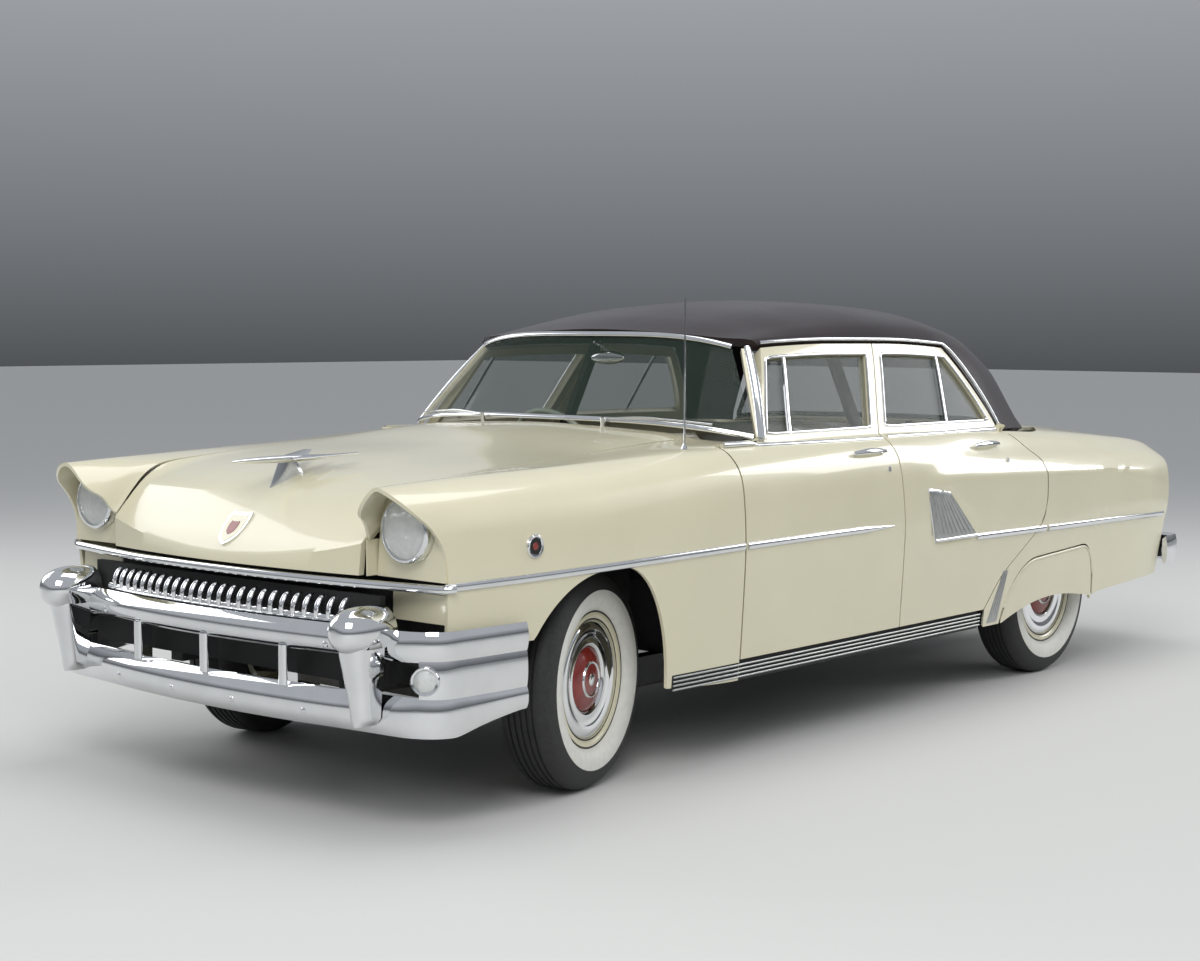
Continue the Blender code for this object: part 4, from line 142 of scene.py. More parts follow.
# Body sections as shares: y of half the length, x of half the width, z of the belt height.
# Columns: y, centre z, then x and z of the lid edge, the lamp pod's inner wall, the fender crest,
# the shoulder, the upper side, the widest line and the sill.
SECTION_SHARES = (
    (-0.960, 0.640, 0.632, 0.650, 0.668, 0.820, 0.789, 0.943, 0.895, 0.880, 0.918, 0.800, 0.920, 0.706, 0.880,
            0.400),
    (-0.916, 0.780, 0.632, 0.790, 0.674, 0.885, 0.789, 0.948, 0.905, 0.886, 0.930, 0.808, 0.936, 0.706, 0.897,
            0.385),
    (-0.859, 0.890, 0.628, 0.892, 0.684, 0.932, 0.794, 0.953, 0.915, 0.892, 0.946, 0.817, 0.950, 0.706, 0.912,
            0.367),
    (-0.763, 0.948, 0.610, 0.945, 0.691, 0.952, 0.804, 0.960, 0.928, 0.896, 0.961, 0.822, 0.969, 0.702, 0.933,
            0.340),
    (-0.573, 0.995, 0.577, 0.986, 0.711, 0.981, 0.825, 0.974, 0.943, 0.905, 0.974, 0.826, 0.987, 0.693, 0.950,
            0.295),
    (-0.370, 1.046, 0.557, 1.028, 0.711, 1.005, 0.870, 0.990, 0.959, 0.920, 0.987, 0.826, 0.997, 0.683, 0.961,
            0.264),
    (0.000, 1.050, 0.557, 1.032, 0.722, 1.010, 0.885, 0.997, 0.967, 0.927, 0.993, 0.826, 1.000, 0.679, 0.964,
            0.264),
    (0.230, 1.040, 0.557, 1.028, 0.722, 1.006, 0.880, 0.990, 0.940, 0.920, 0.985, 0.850, 1.000, 0.679, 0.964,
            0.264),
    (0.530, 1.000, 0.557, 0.990, 0.722, 0.975, 0.835, 0.958, 0.902, 0.904, 0.972, 0.838, 0.997, 0.670, 0.964,
            0.264),
    (0.763, 0.945, 0.557, 0.940, 0.710, 0.930, 0.810, 0.922, 0.882, 0.885, 0.958, 0.818, 0.985, 0.652, 0.954,
            0.290),
    (0.901, 0.885, 0.557, 0.884, 0.705, 0.882, 0.800, 0.886, 0.866, 0.858, 0.938, 0.798, 0.968, 0.640, 0.938,
            0.335),
    (0.927, 0.840, 0.557, 0.840, 0.705, 0.842, 0.798, 0.862, 0.862, 0.838, 0.930, 0.786, 0.962, 0.635, 0.932,
            0.350),
    (0.939, 0.740, 0.557, 0.742, 0.700, 0.746, 0.794, 0.820, 0.858, 0.810, 0.926, 0.770, 0.958, 0.630, 0.930,
            0.350),
    (0.946, 0.560, 0.557, 0.562, 0.700, 0.566, 0.790, 0.700, 0.854, 0.700, 0.922, 0.680, 0.954, 0.600, 0.928,
            0.350),
)
# Greenhouse sections as shares: y of half the length, x of half the width, z of the roof height.
# Columns: y, centre z, then x and z of the crown, the shoulder, the drip rail and the belt.
ROOF_SHARES = (
    (-0.260, 0.922, 0.371, 0.912, 0.598, 0.899, 0.680, 0.896, 0.886, 0.681),
    (-0.172, 0.959, 0.371, 0.948, 0.600, 0.924, 0.702, 0.906, 0.892, 0.681),
    (-0.057, 0.988, 0.371, 0.976, 0.606, 0.944, 0.712, 0.911, 0.896, 0.680),
    (0.095, 1.000, 0.371, 0.989, 0.608, 0.953, 0.716, 0.910, 0.896, 0.678),
    (0.248, 0.991, 0.371, 0.980, 0.606, 0.944, 0.712, 0.900, 0.888, 0.675),
    (0.363, 0.956, 0.371, 0.945, 0.600, 0.915, 0.696, 0.872, 0.861, 0.671),
    (0.420, 0.922, 0.371, 0.910, 0.590, 0.880, 0.676, 0.841, 0.835, 0.669),
    (0.466, 0.885, 0.371, 0.873, 0.580, 0.845, 0.660, 0.812, 0.809, 0.666),
)
# Rear edge of the rear door, from its foot to the belt: y and z shares of the wheelbase and belt height.
REAR_DOOR_EDGE_SHARES = (
    (0.218, 0.330),
    (0.262, 0.450),
    (0.300, 0.515),
    (0.345, 0.590),
    (0.370, 0.660),
    (0.377, 0.740),
    (0.374, 0.850),
    (0.350, 0.930),
    (0.304, 1.000),
)


def mesh_of(points, faces, name="mesh"):
    """A mesh from points and faces, turned so that its faces look outward."""
    mesh = bpy.data.meshes.new(name)
    mesh.from_pydata([tuple(point) for point in points], [], faces)
    mesh.update()
    work = bmesh.new()
    work.from_mesh(mesh)
    if work.calc_volume(signed=True) < 0:
        bmesh.ops.reverse_faces(work, faces=work.faces[:])
    work.to_mesh(mesh)
    work.free()
    return mesh


def joined(meshes, operation="UNION", name="joined"):
    """Boolean of closed meshes: the first one with each of the others in turn."""
    base = bpy.data.objects.new(name, meshes[0])
    bpy.context.collection.objects.link(base)
    tools = []
    for mesh in meshes[1:]:
        tool = bpy.data.objects.new(name + "_tool", mesh)
        bpy.context.collection.objects.link(tool)
        tools.append(tool)
        cut = base.modifiers.new("cut", "BOOLEAN")
        cut.operation = operation
        cut.solver = "EXACT"
        cut.object = tool
    graph = bpy.context.evaluated_depsgraph_get()
    result = bpy.data.meshes.new_from_object(base.evaluated_get(graph))
    for item in [base] + tools:
        bpy.data.objects.remove(item, do_unlink=True)
    return result


def slopes(knots, values):
    """Slopes of a smooth curve that doesn't overshoot its points."""
    count = len(knots)
    steps = [knots[k + 1] - knots[k] for k in range(count - 1)]
    rises = [(values[k + 1] - values[k]) / steps[k] for k in range(count - 1)]
    result = [rises[0]]
    for k in range(1, count - 1):
        if rises[k - 1] * rises[k] <= 0:
            result.append(0.0)
            continue
        before = 2 * steps[k] + steps[k - 1]
        after = steps[k] + 2 * steps[k - 1]
        result.append((before + after) / (before / rises[k - 1] + after / rises[k]))
    result.append(rises[-1])
    return result


def smooth_value(knots, values, tangents, place):
    place = min(max(place, knots[0]), knots[-1])
    k = 0
    while k < len(knots) - 2 and place > knots[k + 1]:
        k += 1
    step = knots[k + 1] - knots[k]
    t = (place - knots[k]) / step
    a = 2 * t ** 3 - 3 * t ** 2 + 1
    b = t ** 3 - 2 * t ** 2 + t
    c = -2 * t ** 3 + 3 * t ** 2
    d = t ** 3 - t ** 2
    return a * values[k] + b * step * tangents[k] + c * values[k + 1] + d * step * tangents[k + 1]


# The widest part of the side is drawn in a little, so that the mouldings stay within the part's width.
TUCK_FROM = 0.940
TUCK_SHARE = 0.72


class Sections:
    """A skin read from a table of sections: place(y, s) with s counted along the section's points."""

    def __init__(self, table, length, width, height):
        self.stations = [row[0] * length for row in table]
        columns = [(0.0,) * len(table)] + [[row[k] for row in table] for k in range(1, len(table[0]))]
        self.columns = []
        for k, column in enumerate(columns):
            scale = height if k % 2 else width
            values = [value * scale for value in column]
            self.columns.append((values, slopes(self.stations, values)))
        self.count = len(columns) // 2
        self.cache = {}

    def section(self, y):
        key = round(y, 7)
        if key not in self.cache:
            values = [smooth_value(self.stations, v, t, y) for v, t in self.columns]
            xs = values[0::2]
            zs = values[1::2]
            knots = list(range(self.count))
            x_slopes = slopes(knots, xs)
            z_slopes = slopes(knots, zs)
            z_slopes[0] = 0.0
            self.cache[key] = (knots, xs, x_slopes, zs, z_slopes)
        return self.cache[key]

    def place(self, y, s):
        knots, xs, x_slopes, zs, z_slopes = self.section(y)
        x = smooth_value(knots, xs, x_slopes, s)
        tucked = x if x < TUCK_FROM else TUCK_FROM + TUCK_SHARE * (x - TUCK_FROM)
        return Vector((tucked, y, smooth_value(knots, zs, z_slopes, s)))

    def s_at(self, y, value, axis, low, high):
        """The s between low and high where the section reaches an x (axis 0) or a z (axis 2)."""
        rising = self.place(y, high)[axis] > self.place(y, low)[axis]
        for _ in range(30):
            middle = (low + high) / 2
            if (self.place(y, middle)[axis] < value) == rising:
                low = middle
            else:
                high = middle
        return (low + high) / 2

BODY = Sections(SECTION_SHARES, HALF_LENGTH, HALF_WIDTH, BELT_HEIGHT)
TOP = Sections(ROOF_SHARES, HALF_LENGTH, HALF_WIDTH, ROOF_HEIGHT)
CREST = 3
SILL = 7
DRIP = 3
BELT = 4


def finer(values, steps=4):
    """Values with equal steps put in between each pair."""
    return spread(values, [steps] * (len(values) - 1))


def lerp(a, b, t):
    """The place a share t of the way from a to b."""
    return a + (b - a) * t


def spread(knots, counts):
    """Values that run through the knots, with counts[k] equal steps from knot k to the next."""
    result = []
    for k, count in enumerate(counts):
        result.extend(lerp(knots[k], knots[k + 1], step / count) for step in range(count))
    return result + [knots[-1]]


def coons(low, high, left, right, columns, rows):
    """Fill four edges, each a function of a share, with a grid of flat places."""
    grid = []
    for i in range(columns + 1):
        u = i / columns
        line = []
        for j in range(rows + 1):
            v = j / rows
            ruled = low(u) * (1 - v) + high(u) * v + left(v) * (1 - u) + right(v) * u
            corners = (low(0) * (1 - u) + low(1) * u) * (1 - v) + (high(0) * (1 - u) + high(1) * u) * v
            line.append(ruled - corners)
        grid.append(line)
    return grid


def normals(grid):
    """Unit normals at the points of a grid."""
    result = []
    for i, line in enumerate(grid):
        row = []
        for j in range(len(line)):
            across = grid[min(i + 1, len(grid) - 1)][j] - grid[max(i - 1, 0)][j]
            up = line[min(j + 1, len(line) - 1)] - line[max(j - 1, 0)]
            row.append(across.cross(up).normalized())
        result.append(row)
    return result


def shell(outer, inner, keep=None):
    """Closed mesh between two grids, of the cells that keep(i, j) names."""
    columns = len(outer) - 1
    rows = len(outer[0]) - 1
    cells = {(i, j) for i in range(columns) for j in range(rows) if keep is None or keep(i, j)}
    index = {}
    points = []

    def vertex(i, j, layer):
        key = (i, j, layer)
        if key not in index:
            index[key] = len(points)
            points.append((inner if layer else outer)[i][j])
        return index[key]

    faces = []
    for i, j in sorted(cells):
        ring = ((i, j), (i + 1, j), (i + 1, j + 1), (i, j + 1))
        faces.append([vertex(*corner, 0) for corner in ring])
        faces.append([vertex(*corner, 1) for corner in reversed(ring)])
        sides = (((i, j - 1), 0, 1), ((i + 1, j), 1, 2), ((i, j + 1), 2, 3), ((i - 1, j), 3, 0))
        for neighbour, a, b in sides:
            if neighbour not in cells:
                first, second = ring[a], ring[b]
                faces.append([vertex(*second, 0), vertex(*first, 0), vertex(*first, 1), vertex(*second, 1)])
    return mesh_of(points, faces)


def thickened(grid, depth, toward, inset=None):
    """The grid moved by depth along its normals to the side of toward; inset pulls its rim in."""
    facing = normals(grid)
    middle = grid[len(grid) // 2][len(grid[0]) // 2]
    sign = 1 if facing[len(grid) // 2][len(grid[0]) // 2].dot(toward - middle) > 0 else -1
    result = []
    for i, line in enumerate(grid):
        row = []
        for j, point in enumerate(line):
            amount = depth(i, j) if callable(depth) else depth
            row.append(point + facing[i][j] * amount * sign)
        result.append(row)
    if inset:
        result = pulled_in(result, inset)
    return result


def pulled_in(grid, inset):
    """Move the rim of a grid toward its middle, by inset at most half of a cell's width."""
    last_i = len(grid) - 1
    last_j = len(grid[0]) - 1
    result = [[point.copy() for point in line] for line in grid]
    for i in range(last_i + 1):
        for j in range(last_j + 1):
            near_i = 1 if i == 0 else last_i - 1 if i == last_i else i
            near_j = 1 if j == 0 else last_j - 1 if j == last_j else j
            for target in (grid[near_i][j], grid[i][near_j]):
                step = target - grid[i][j]
                if step.length > 0:
                    result[i][j] += step.normalized() * min(inset, step.length * 0.6)
    return result


def mirrored(grid):
    """The grid on the other side of the car."""
    return [[Vector((-point.x, point.y, point.z)) for point in line] for line in grid]


def sided(grid, side):
    """The grid for the given side, mirrored where it is the right one."""
    return grid if side > 0 else mirrored(grid)


def sided_mesh(mesh, side):
    """The mesh itself for the left side of the car, or its mirror image for the right."""
    if side < 0:
        mesh.transform(Matrix.Diagonal((-1, 1, 1, 1)))
        mesh.flip_normals()
    return mesh


def prism(outline, start, end, axis):
    """Extrude a flat outline from start to end along axis 0, 1 or 2."""
    points = []
    for level in (start, end):
        for a, b in outline:
            place = [a, b]
            place.insert(axis, level)
            points.append(Vector(place))
    count = len(outline)
    faces = [list(range(count)), list(range(2 * count - 1, count - 1, -1))]
    for k in range(count):
        following = (k + 1) % count
        faces.append([following, k, k + count, following + count])
    return mesh_of(points, faces)


def block(low, high):
    """A box between two corners."""
    outline = ((low[0], low[1]), (high[0], low[1]), (high[0], high[1]), (low[0], high[1]))
    return prism(outline, low[2], high[2], 2)


def turned(profile, segments, matrix):
    """Turn a line of (radius, place along the axis) about the local X axis."""
    points = []
    rings = []
    for radius, place in profile:
        if radius == 0:
            rings.append([len(points)])
            points.append(matrix @ Vector((place, 0, 0)))
            continue
        rings.append(list(range(len(points), len(points) + segments)))
        for k in range(segments):
            angle = math.tau * k / segments
            points.append(matrix @ Vector((place, radius * math.cos(angle), radius * math.sin(angle))))
    faces = []
    pairs = list(zip(rings, rings[1:]))
    if len(rings[0]) > 1:
        pairs.append((rings[-1], rings[0]))
    for first, second in pairs:
        for k in range(segments):
            following = (k + 1) % segments
            ring = [first[k % len(first)], first[following % len(first)]]
            ring += [second[following % len(second)], second[k % len(second)]]
            faces.append(list(dict.fromkeys(ring)))
    return mesh_of(points, [face for face in faces if len(face) > 2])


def swept(path, profile):
    """Carry a profile of (out, up) along a level path; profile may be a function of the step."""
    count = len(path)
    points = []
    for k, place in enumerate(path):
        run = (path[min(k + 1, count - 1)] - path[max(k - 1, 0)]).normalized()
        out = Vector((run.y, -run.x, 0)).normalized()
        shape = profile(k / (count - 1)) if callable(profile) else profile
        points.extend(place + out * a + Vector((0, 0, b)) for a, b in shape)
    size = len(points) // count
    faces = [list(range(size)), list(range(len(points) - 1, len(points) - size - 1, -1))]
    for k in range(count - 1):
        for j in range(size):
            following = (j + 1) % size
            base = k * size
            faces.append([base + following, base + j, base + j + size, base + following + size])
    return mesh_of(points, faces)


def rod(start, end, radius, segments=10):
    """A straight round bar between two places."""
    start, end = Vector(start), Vector(end)
    run = end - start
    matrix = Matrix.Translation(start) @ run.to_track_quat("X", "Z").to_matrix().to_4x4()
    return turned([(0, 0), (radius, 0), (radius, run.length), (0, run.length)], segments, matrix)


def beam(start, end, width, height):
    """A straight bar of rectangular section between two places."""
    start, end = Vector(start), Vector(end)
    run = end - start
    matrix = Matrix.Translation(start) @ run.to_track_quat("X", "Z").to_matrix().to_4x4()
    corners = [(-width / 2, -height / 2), (width / 2, -height / 2), (width / 2, height / 2),
            (-width / 2, height / 2)]
    points = [matrix @ Vector((place, a, b)) for place in (0, run.length) for a, b in corners]
    faces = [[0, 1, 2, 3], [7, 6, 5, 4]]
    faces += [[(k + 1) % 4, k, k + 4, (k + 1) % 4 + 4] for k in range(4)]
    return mesh_of(points, faces)


def skin_point(y, s):
    """A point of the body skin at y and section place s."""
    return BODY.place(y, s)


def side_s(y, z):
    return BODY.s_at(y, z, 2, CREST, SILL)


def top_s(y, x):
    return BODY.s_at(y, x, 0, 0, CREST)


def side_point(y, z):
    """The skin of the car's side at a height: body below the belt, greenhouse above."""
    belt = BODY.place(y, CREST).z
    if z <= belt:
        return BODY.place(y, side_s(y, z))
    s = TOP.s_at(y, z, 2, DRIP, BELT)
    point = TOP.place(y, s)
    foot = BODY.place(y, CREST)
    point.x += (foot.x - TOP.place(y, BELT).x) * max(0.0, s - DRIP)
    return point


def rail_height(y):
    return TOP.place(y, DRIP).z - RAIL_DROP


def hood_front(x):
    """The hood's front edge bows forward in the middle."""
    share = abs(x) / HOOD_SEAM_WIDTH
    return -HOOD_NOSE + HOOD_SIDE_SETBACK * share ** 2


def hood_seam(y):
    """Half width of the hood: narrower between the lamps."""
    share = min(1.0, max(0.0, (y + HOOD_NOSE) / (HOOD_NOSE - HOOD_REAR) * 4))
    return lerp(HOOD_SEAM_FRONT, HOOD_SEAM_WIDTH, share * share * (3 - 2 * share))


def hood_faces():
    columns = 48
    rows = spread((0.0, 0.06, 0.22, 1.0), (8, 8, 20))
    grid = []
    for i in range(columns + 1):
        share = 2 * i / columns - 1
        line = []
        for v in rows:
            y = lerp(hood_front(abs(share) * HOOD_SEAM_FRONT), -HOOD_REAR, v)
            x = abs(share) * hood_seam(y)
            point = skin_point(y, top_s(y, x) if x > 0 else 0)
            point.x = math.copysign(point.x, share)
            line.append(point)
        nose = Vector((NOSE_SHARE * line[0].x, line[0].y - NOSE_RAKE, LIP_TOP + 1.5 * SEAM))
        grid.append([nose] + line)
    return grid, thickened(grid, LID_SKIN, Vector((0, FRONT_AXLE, 0)))

# Front edge of a fender from the hood seam over the lamp to the bumper:
# Columns: section place as a share from the seam to the sill, and y as a share of half the length.
FENDER_FRONT_SHARES = (
    (0.00, -0.915),
    (0.10, -0.925),
    (0.25, -0.950),
    (0.38, -0.952),
    (0.52, -0.938),
    (0.66, -0.915),
    (0.78, -0.902),
    (1.00, -0.893),
)


def arch_height(y):
    """The front wheel opening, round over the wheel and steeper behind it."""
    reach = ARCH_REACH_FRONT if y < FRONT_AXLE else ARCH_REACH_REAR
    share = min(1.0, abs(y - FRONT_AXLE) / reach)
    return lerp(SILL_BOTTOM, ARCH_TOP, (1 - share ** 2.4) ** 0.55)

CHIN_INNER = 0.668
CHIN_OUTER = 0.889
CHIN_LOW = 0.624
CHIN_Y = 2.338
PANE_SHARE = 0.33
PANE_GAP = 0.001
GLASS_LOW_SHARE = 0.09
GLASS_HIGH_SHARE = 0.88
WALL_ROW_SHARES = (0.0, 0.18, 0.36, 0.52, 0.66, 0.79, 0.88, 0.95, 0.99)


def door_rows(bottom):
    """Heights of a door's rows below the belt."""
    return [lerp(bottom, BELT_HEIGHT, share) for share in WALL_ROW_SHARES]


def door_mesh(edges, columns):
    """A door from its edges: a function of height that gives front, window and rear places along y."""
    lower = finer(door_rows(DOOR_BOTTOM))
    upper_shares = finer((0.0, GLASS_LOW_SHARE, 0.5, GLASS_HIGH_SHARE, 1.0))
    grid = []
    steps = sum(columns)
    for i in range(steps + 1):
        line = []
        for z in lower:
            y = spread(edges(z), columns)[i]
            line.append(side_point(y, min(z, BODY.place(y, CREST).z - FIT)))
        for share in upper_shares:
            nominal = lerp(WINDOW_SILL - GLASS_MARGIN, rail_height(0), share)
            y = spread(edges(nominal), columns)[i]
            z = lerp(WINDOW_SILL - GLASS_MARGIN, rail_height(y), share)
            line.append(side_point(y, z))
        grid.append(line)
    grid = [[bulged(point) for point in line] for line in grid]
    belt_row = len(lower)
    top_row = belt_row + len(upper_shares) - 1
    first = columns[0]
    second = first + columns[1]
    third = second + columns[2]

    def keep(i, j):
        if j < belt_row:
            return True
        if i < first:
            return False
        return not hole(i, j)

    def depth(i, j):
        return DOOR_WALL if j < belt_row - 8 else FRAME_WALL

    def hole(i, j):
        return second <= i < third and belt_row + 4 <= j < top_row - 4

    inner = thickened(grid, depth, Vector((0, grid[steps // 2][0].y, BELT_HEIGHT)))
    return grid, inner, keep, hole


def clear_rim(grid, inner, keep, hole, lip):
    """Pull the inner layer in from the free edges of the kept cells, but not round the window hole."""
    columns = len(grid) - 1
    rows = len(grid[0]) - 1
    kept = {(i, j) for i in range(columns) for j in range(rows) if keep(i, j)}
    result = [[point.copy() for point in line] for line in inner]
    for i in range(columns + 1):
        for j in range(rows + 1):
            beside = ((i - 1, j - 1), (i, j - 1), (i - 1, j), (i, j))
            around = [cell in kept or hole(*cell) for cell in beside]
            if all(around) or not any(around):
                continue
            left_free = not (around[0] or around[2])
            right_free = not (around[1] or around[3])
            low_free = not (around[0] or around[1])
            high_free = not (around[2] or around[3])
            if sum(around) == 3:
                continue
            for free, target in ((left_free, (i + 1, j)), (right_free, (i - 1, j)),
                                 (low_free, (i, j + 1)), (high_free, (i, j - 1))):
                if free and 0 <= target[0] <= columns and 0 <= target[1] <= rows:
                    step = inner[target[0]][target[1]] - inner[i][j]
                    if step.length > 0:
                        result[i][j] += step.normalized() * min(lip, 0.45 * step.length)
    return result


def front_door_edges(z):
    """Front edge, pillar, window front, window rear and rear edge of the front door at a height."""
    rise = max(0.0, (z - BELT_HEIGHT) / (rail_height(0) - BELT_HEIGHT))
    pillar = lerp(-PILLAR_FOOT, -PILLAR_HEAD, rise) + SEAM
    rear = lerp(CENTRE_CUT, CENTRE_CUT_HEAD, rise) - SEAM / 2
    drop = max(0.0, min(1.0, (z - 0.7 * BELT_HEIGHT) / (0.3 * BELT_HEIGHT)))
    rear -= CENTRE_CUT * drop * (1 - rise)
    return (-FRONT_DOOR_CUT, pillar, pillar + FRAME_WIDTH / 2, rear - FRAME_WIDTH, rear)


def rear_door_back(z):
    """The rear door's rear edge, following the wheel opening and then the side window."""
    knots = [row[1] * BELT_HEIGHT for row in REAR_DOOR_EDGE_SHARES]
    values = [row[0] * WHEELBASE for row in REAR_DOOR_EDGE_SHARES]
    if z <= knots[-1]:
        return smooth_value(knots, values, slopes(knots, values), z)
    rise = (z - BELT_HEIGHT) / (rail_height(0) - BELT_HEIGHT)
    return values[-1] - WHEELBASE * 0.078 * rise ** 1.5


def rear_door_edges(z):
    front = front_door_edges(z)[-1] + SEAM
    rear = rear_door_back(z)
    window_rear = min(rear, rear_door_back(BELT_HEIGHT)) - FRAME_WIDTH
    return (front, front, front + FRAME_WIDTH, window_rear, rear)


def window_pane(grid, inner, columns):
    """Both faces of a pane in a door's window hole, a third of the way through the frame."""
    first = columns[0] + columns[1]
    belt = 4 * (len(WALL_ROW_SHARES) - 1) + 1
    rows = range(belt + 4, belt + 13)
    faces = []
    for depth in (PANE_SHARE, PANE_SHARE + GLASS / FRAME_WALL):
        face = [[grid[i][j].lerp(inner[i][j], depth) for j in rows]
                for i in range(first, first + columns[2] + 1)]
        faces.append(pulled_in(face, PANE_GAP))
    return faces

# Trunk, quarters and tail
TAIL_FOOT = 0.360
QUARTER_FOOT = 0.335
TAIL_LEAN = 0.175
LID_END = 2.478
BACKLIGHT_TOP = 1.050
BACKLIGHT_FOOT = 1.560
BACKLIGHT_FOOT_HEIGHT = 1.078
BACKLIGHT_HEAD_HEIGHT = 1.474
BACKLIGHT_SIDE_HEAD = 1.140
BACKLIGHT_SIDE_FOOT = 1.235
BACKLIGHT_HEAD_WIDTH = 0.535
BACKLIGHT_FOOT_WIDTH = 0.755
BACKLIGHT_SIDE_HEAD_HEIGHT = 1.372


def tail_edge(s):
    """Place along the car of the fender's rear edge at a section place."""
    share = max(0.0, (s - 5) / (SILL - 5))
    return TAIL_END - TAIL_LEAN * share ** 1.5


def deck_seam_s(y):
    """The quarter's upper edge: the belt under the roof pillar, then in to the trunk lid."""
    start = BACKLIGHT_SIDE_FOOT
    share = min(1.0, max(0.0, (y - start) / (DECK_FRONT - start)))
    ease = share * share * (3 - 2 * share)
    return lerp(CREST, top_s(max(y, start), DECK_SEAM_WIDTH + SEAM), ease)


def skirt_edge(y):
    """Top of the rear wheel opening: long and rising from the front, round at the rear."""
    front = REAR_AXLE - SKIRT_FRONT
    rear = REAR_AXLE + SKIRT_REAR
    share = min(1.0, max(0.0, (y - front) / (rear - front)))
    rise = min(1.0, share / 0.36)
    fall = min(1.0, (1 - share) / 0.16)
    height = SKIRT_TOP + SKIRT_LIFT * (share - 0.5)
    front_foot = SILL_BOTTOM
    shape = (1 - (1 - rise) ** 2.2) ** 0.75 if share < 0.5 else (1 - (1 - fall) ** 2.4) ** 0.5
    return lerp(front_foot if share < 0.5 else SKIRT_BOTTOM, height, shape)


def opening_places():
    """Places along the rear wheel opening, close together where its edge turns."""
    front = REAR_AXLE - SKIRT_FRONT
    rear = REAR_AXLE + SKIRT_REAR
    return spread((front, lerp(front, rear, 0.30), lerp(front, rear, 0.86), rear), (16, 20, 16))

QUARTER_STRIP = 16
STRIP_ROWS = 8


def trunk_faces():
    columns = 40
    rows = spread((0.0, 0.86, 0.94, 0.985, 1.0), (16, 8, 8, 8))
    grid = []
    for i in range(columns + 1):
        share = 2 * i / columns - 1
        x = abs(share) * DECK_SEAM_WIDTH
        line = []
        for v in rows:
            y = lerp(DECK_FRONT + SEAM, LID_END, v)
            point = skin_point(y, top_s(y, x) if x > 0 else 0)
            point.x = math.copysign(point.x, share)
            line.append(point)
        grid.append(line)
    return grid, thickened(grid, LID_SKIN, Vector((0, REAR_AXLE, HUB_HEIGHT)))


def window_foot(x):
    """Place along the car of the rear window's foot at a distance from the middle."""
    share = min(1.0, x / (BACKLIGHT_FOOT_WIDTH - BELT_CLEAR))
    return lerp(BACKLIGHT_FOOT, BACKLIGHT_SIDE_FOOT + SEAM, share ** 2.6)


def deck_faces():
    """The panel between the rear window and the trunk lid."""
    columns = 56
    grid = []
    for i in range(columns + 1):
        share = 2 * i / columns - 1
        line = []
        for v in finer((0, 0.35, 0.7, 1)):
            edge = lerp(BACKLIGHT_FOOT_WIDTH, DECK_SEAM_WIDTH, v)
            x = abs(share) * edge
            y = lerp(window_foot(abs(share) * BACKLIGHT_FOOT_WIDTH) + SEAM / 3, DECK_FRONT, v)
            point = skin_point(y, top_s(y, x) if x > 0 else 0)
            point.x = math.copysign(point.x, share)
            line.append(point)
        grid.append(line)
    return grid, thickened(grid, SKIN, Vector((0, REAR_AXLE, HUB_HEIGHT)))


def roof_faces():
    """Roof panel with its two rear pillars."""
    front_centre = -PILLAR_HEAD - 0.04 * HALF_LENGTH
    columns = 60
    break_u = 36 / columns
    rail_u = 52 / columns

    def high(u):
        y = lerp(front_centre, BACKLIGHT_TOP - SEAM, u)
        return Vector((y, 0.0))

    def low(u):
        corner = rear_door_back(rail_height(0)) + 2 * SEAM
        if u <= break_u:
            y = lerp(-PILLAR_HEAD, corner, u / break_u)
            return Vector((y, TOP.s_at(y, rail_height(y) + SEAM, 2, DRIP - 1, BELT)))
        if u <= rail_u:
            share = 1 - (u - break_u) / (rail_u - break_u)
            y = rear_door_back(lerp(WINDOW_SILL - GLASS_MARGIN, rail_height(0), share)) + 2 * SEAM
            z = lerp(BELT_HEIGHT - 2 * SEAM, rail_height(y) + SEAM, share)
            return Vector((y, TOP.s_at(y, z, 2, DRIP - 1, BELT)))
        share = (u - rail_u) / (1 - rail_u)
        return Vector((lerp(rear_door_back(BELT_HEIGHT) + 2 * SEAM, BACKLIGHT_SIDE_FOOT, share), BELT - FIT))

    def left(v):
        return Vector((lerp(-PILLAR_HEAD, front_centre, 1 - (1 - v) ** 2), lerp(low(0).y, 0, v)))

    def right(v):
        return Vector((lerp(BACKLIGHT_SIDE_FOOT, BACKLIGHT_TOP - SEAM, v ** 0.7), lerp(low(1).y, 0, v)))

    flat = coons(low, high, left, right, columns, 24)
    half = [[TOP.place(place.x, max(0.0, min(BELT, place.y))) for place in line] for line in flat]
    lift = SEAM / 2
    grid = []
    for line in half:
        left_side = [point + Vector((0, 0, lift)) for point in line]
        right_side = [Vector((-point.x, point.y, point.z)) for point in reversed(left_side[:-1])]
        grid.append(left_side + right_side)
    return grid, thickened(grid, ROOF_WALL, Vector((0, 0, HUB_HEIGHT)))

# Windshield
SCREEN_FOOT_CENTRE = 0.935
SCREEN_FOOT_HEIGHT = 1.158
SCREEN_FOOT_SIDE = 0.772
SCREEN_FOOT_WIDTH = 0.838
SCREEN_HEAD_CENTRE = 0.672
SCREEN_HEAD_SIDE = 0.612
SCREEN_HEAD_HEIGHT = 1.462
SCREEN_HEAD_SIDE_HEIGHT = 1.418
SCREEN_HEAD_WIDTH = 0.618
BELT_CLEAR = 0.018


def screen_line(width, centre, side, centre_height, side_height, u, power):
    share = abs(u)
    y = lerp(centre, side, share ** power)
    return Vector((u * width, y, lerp(centre_height, side_height, share ** power)))

# Running gear
DRUM_FACE = 0.009


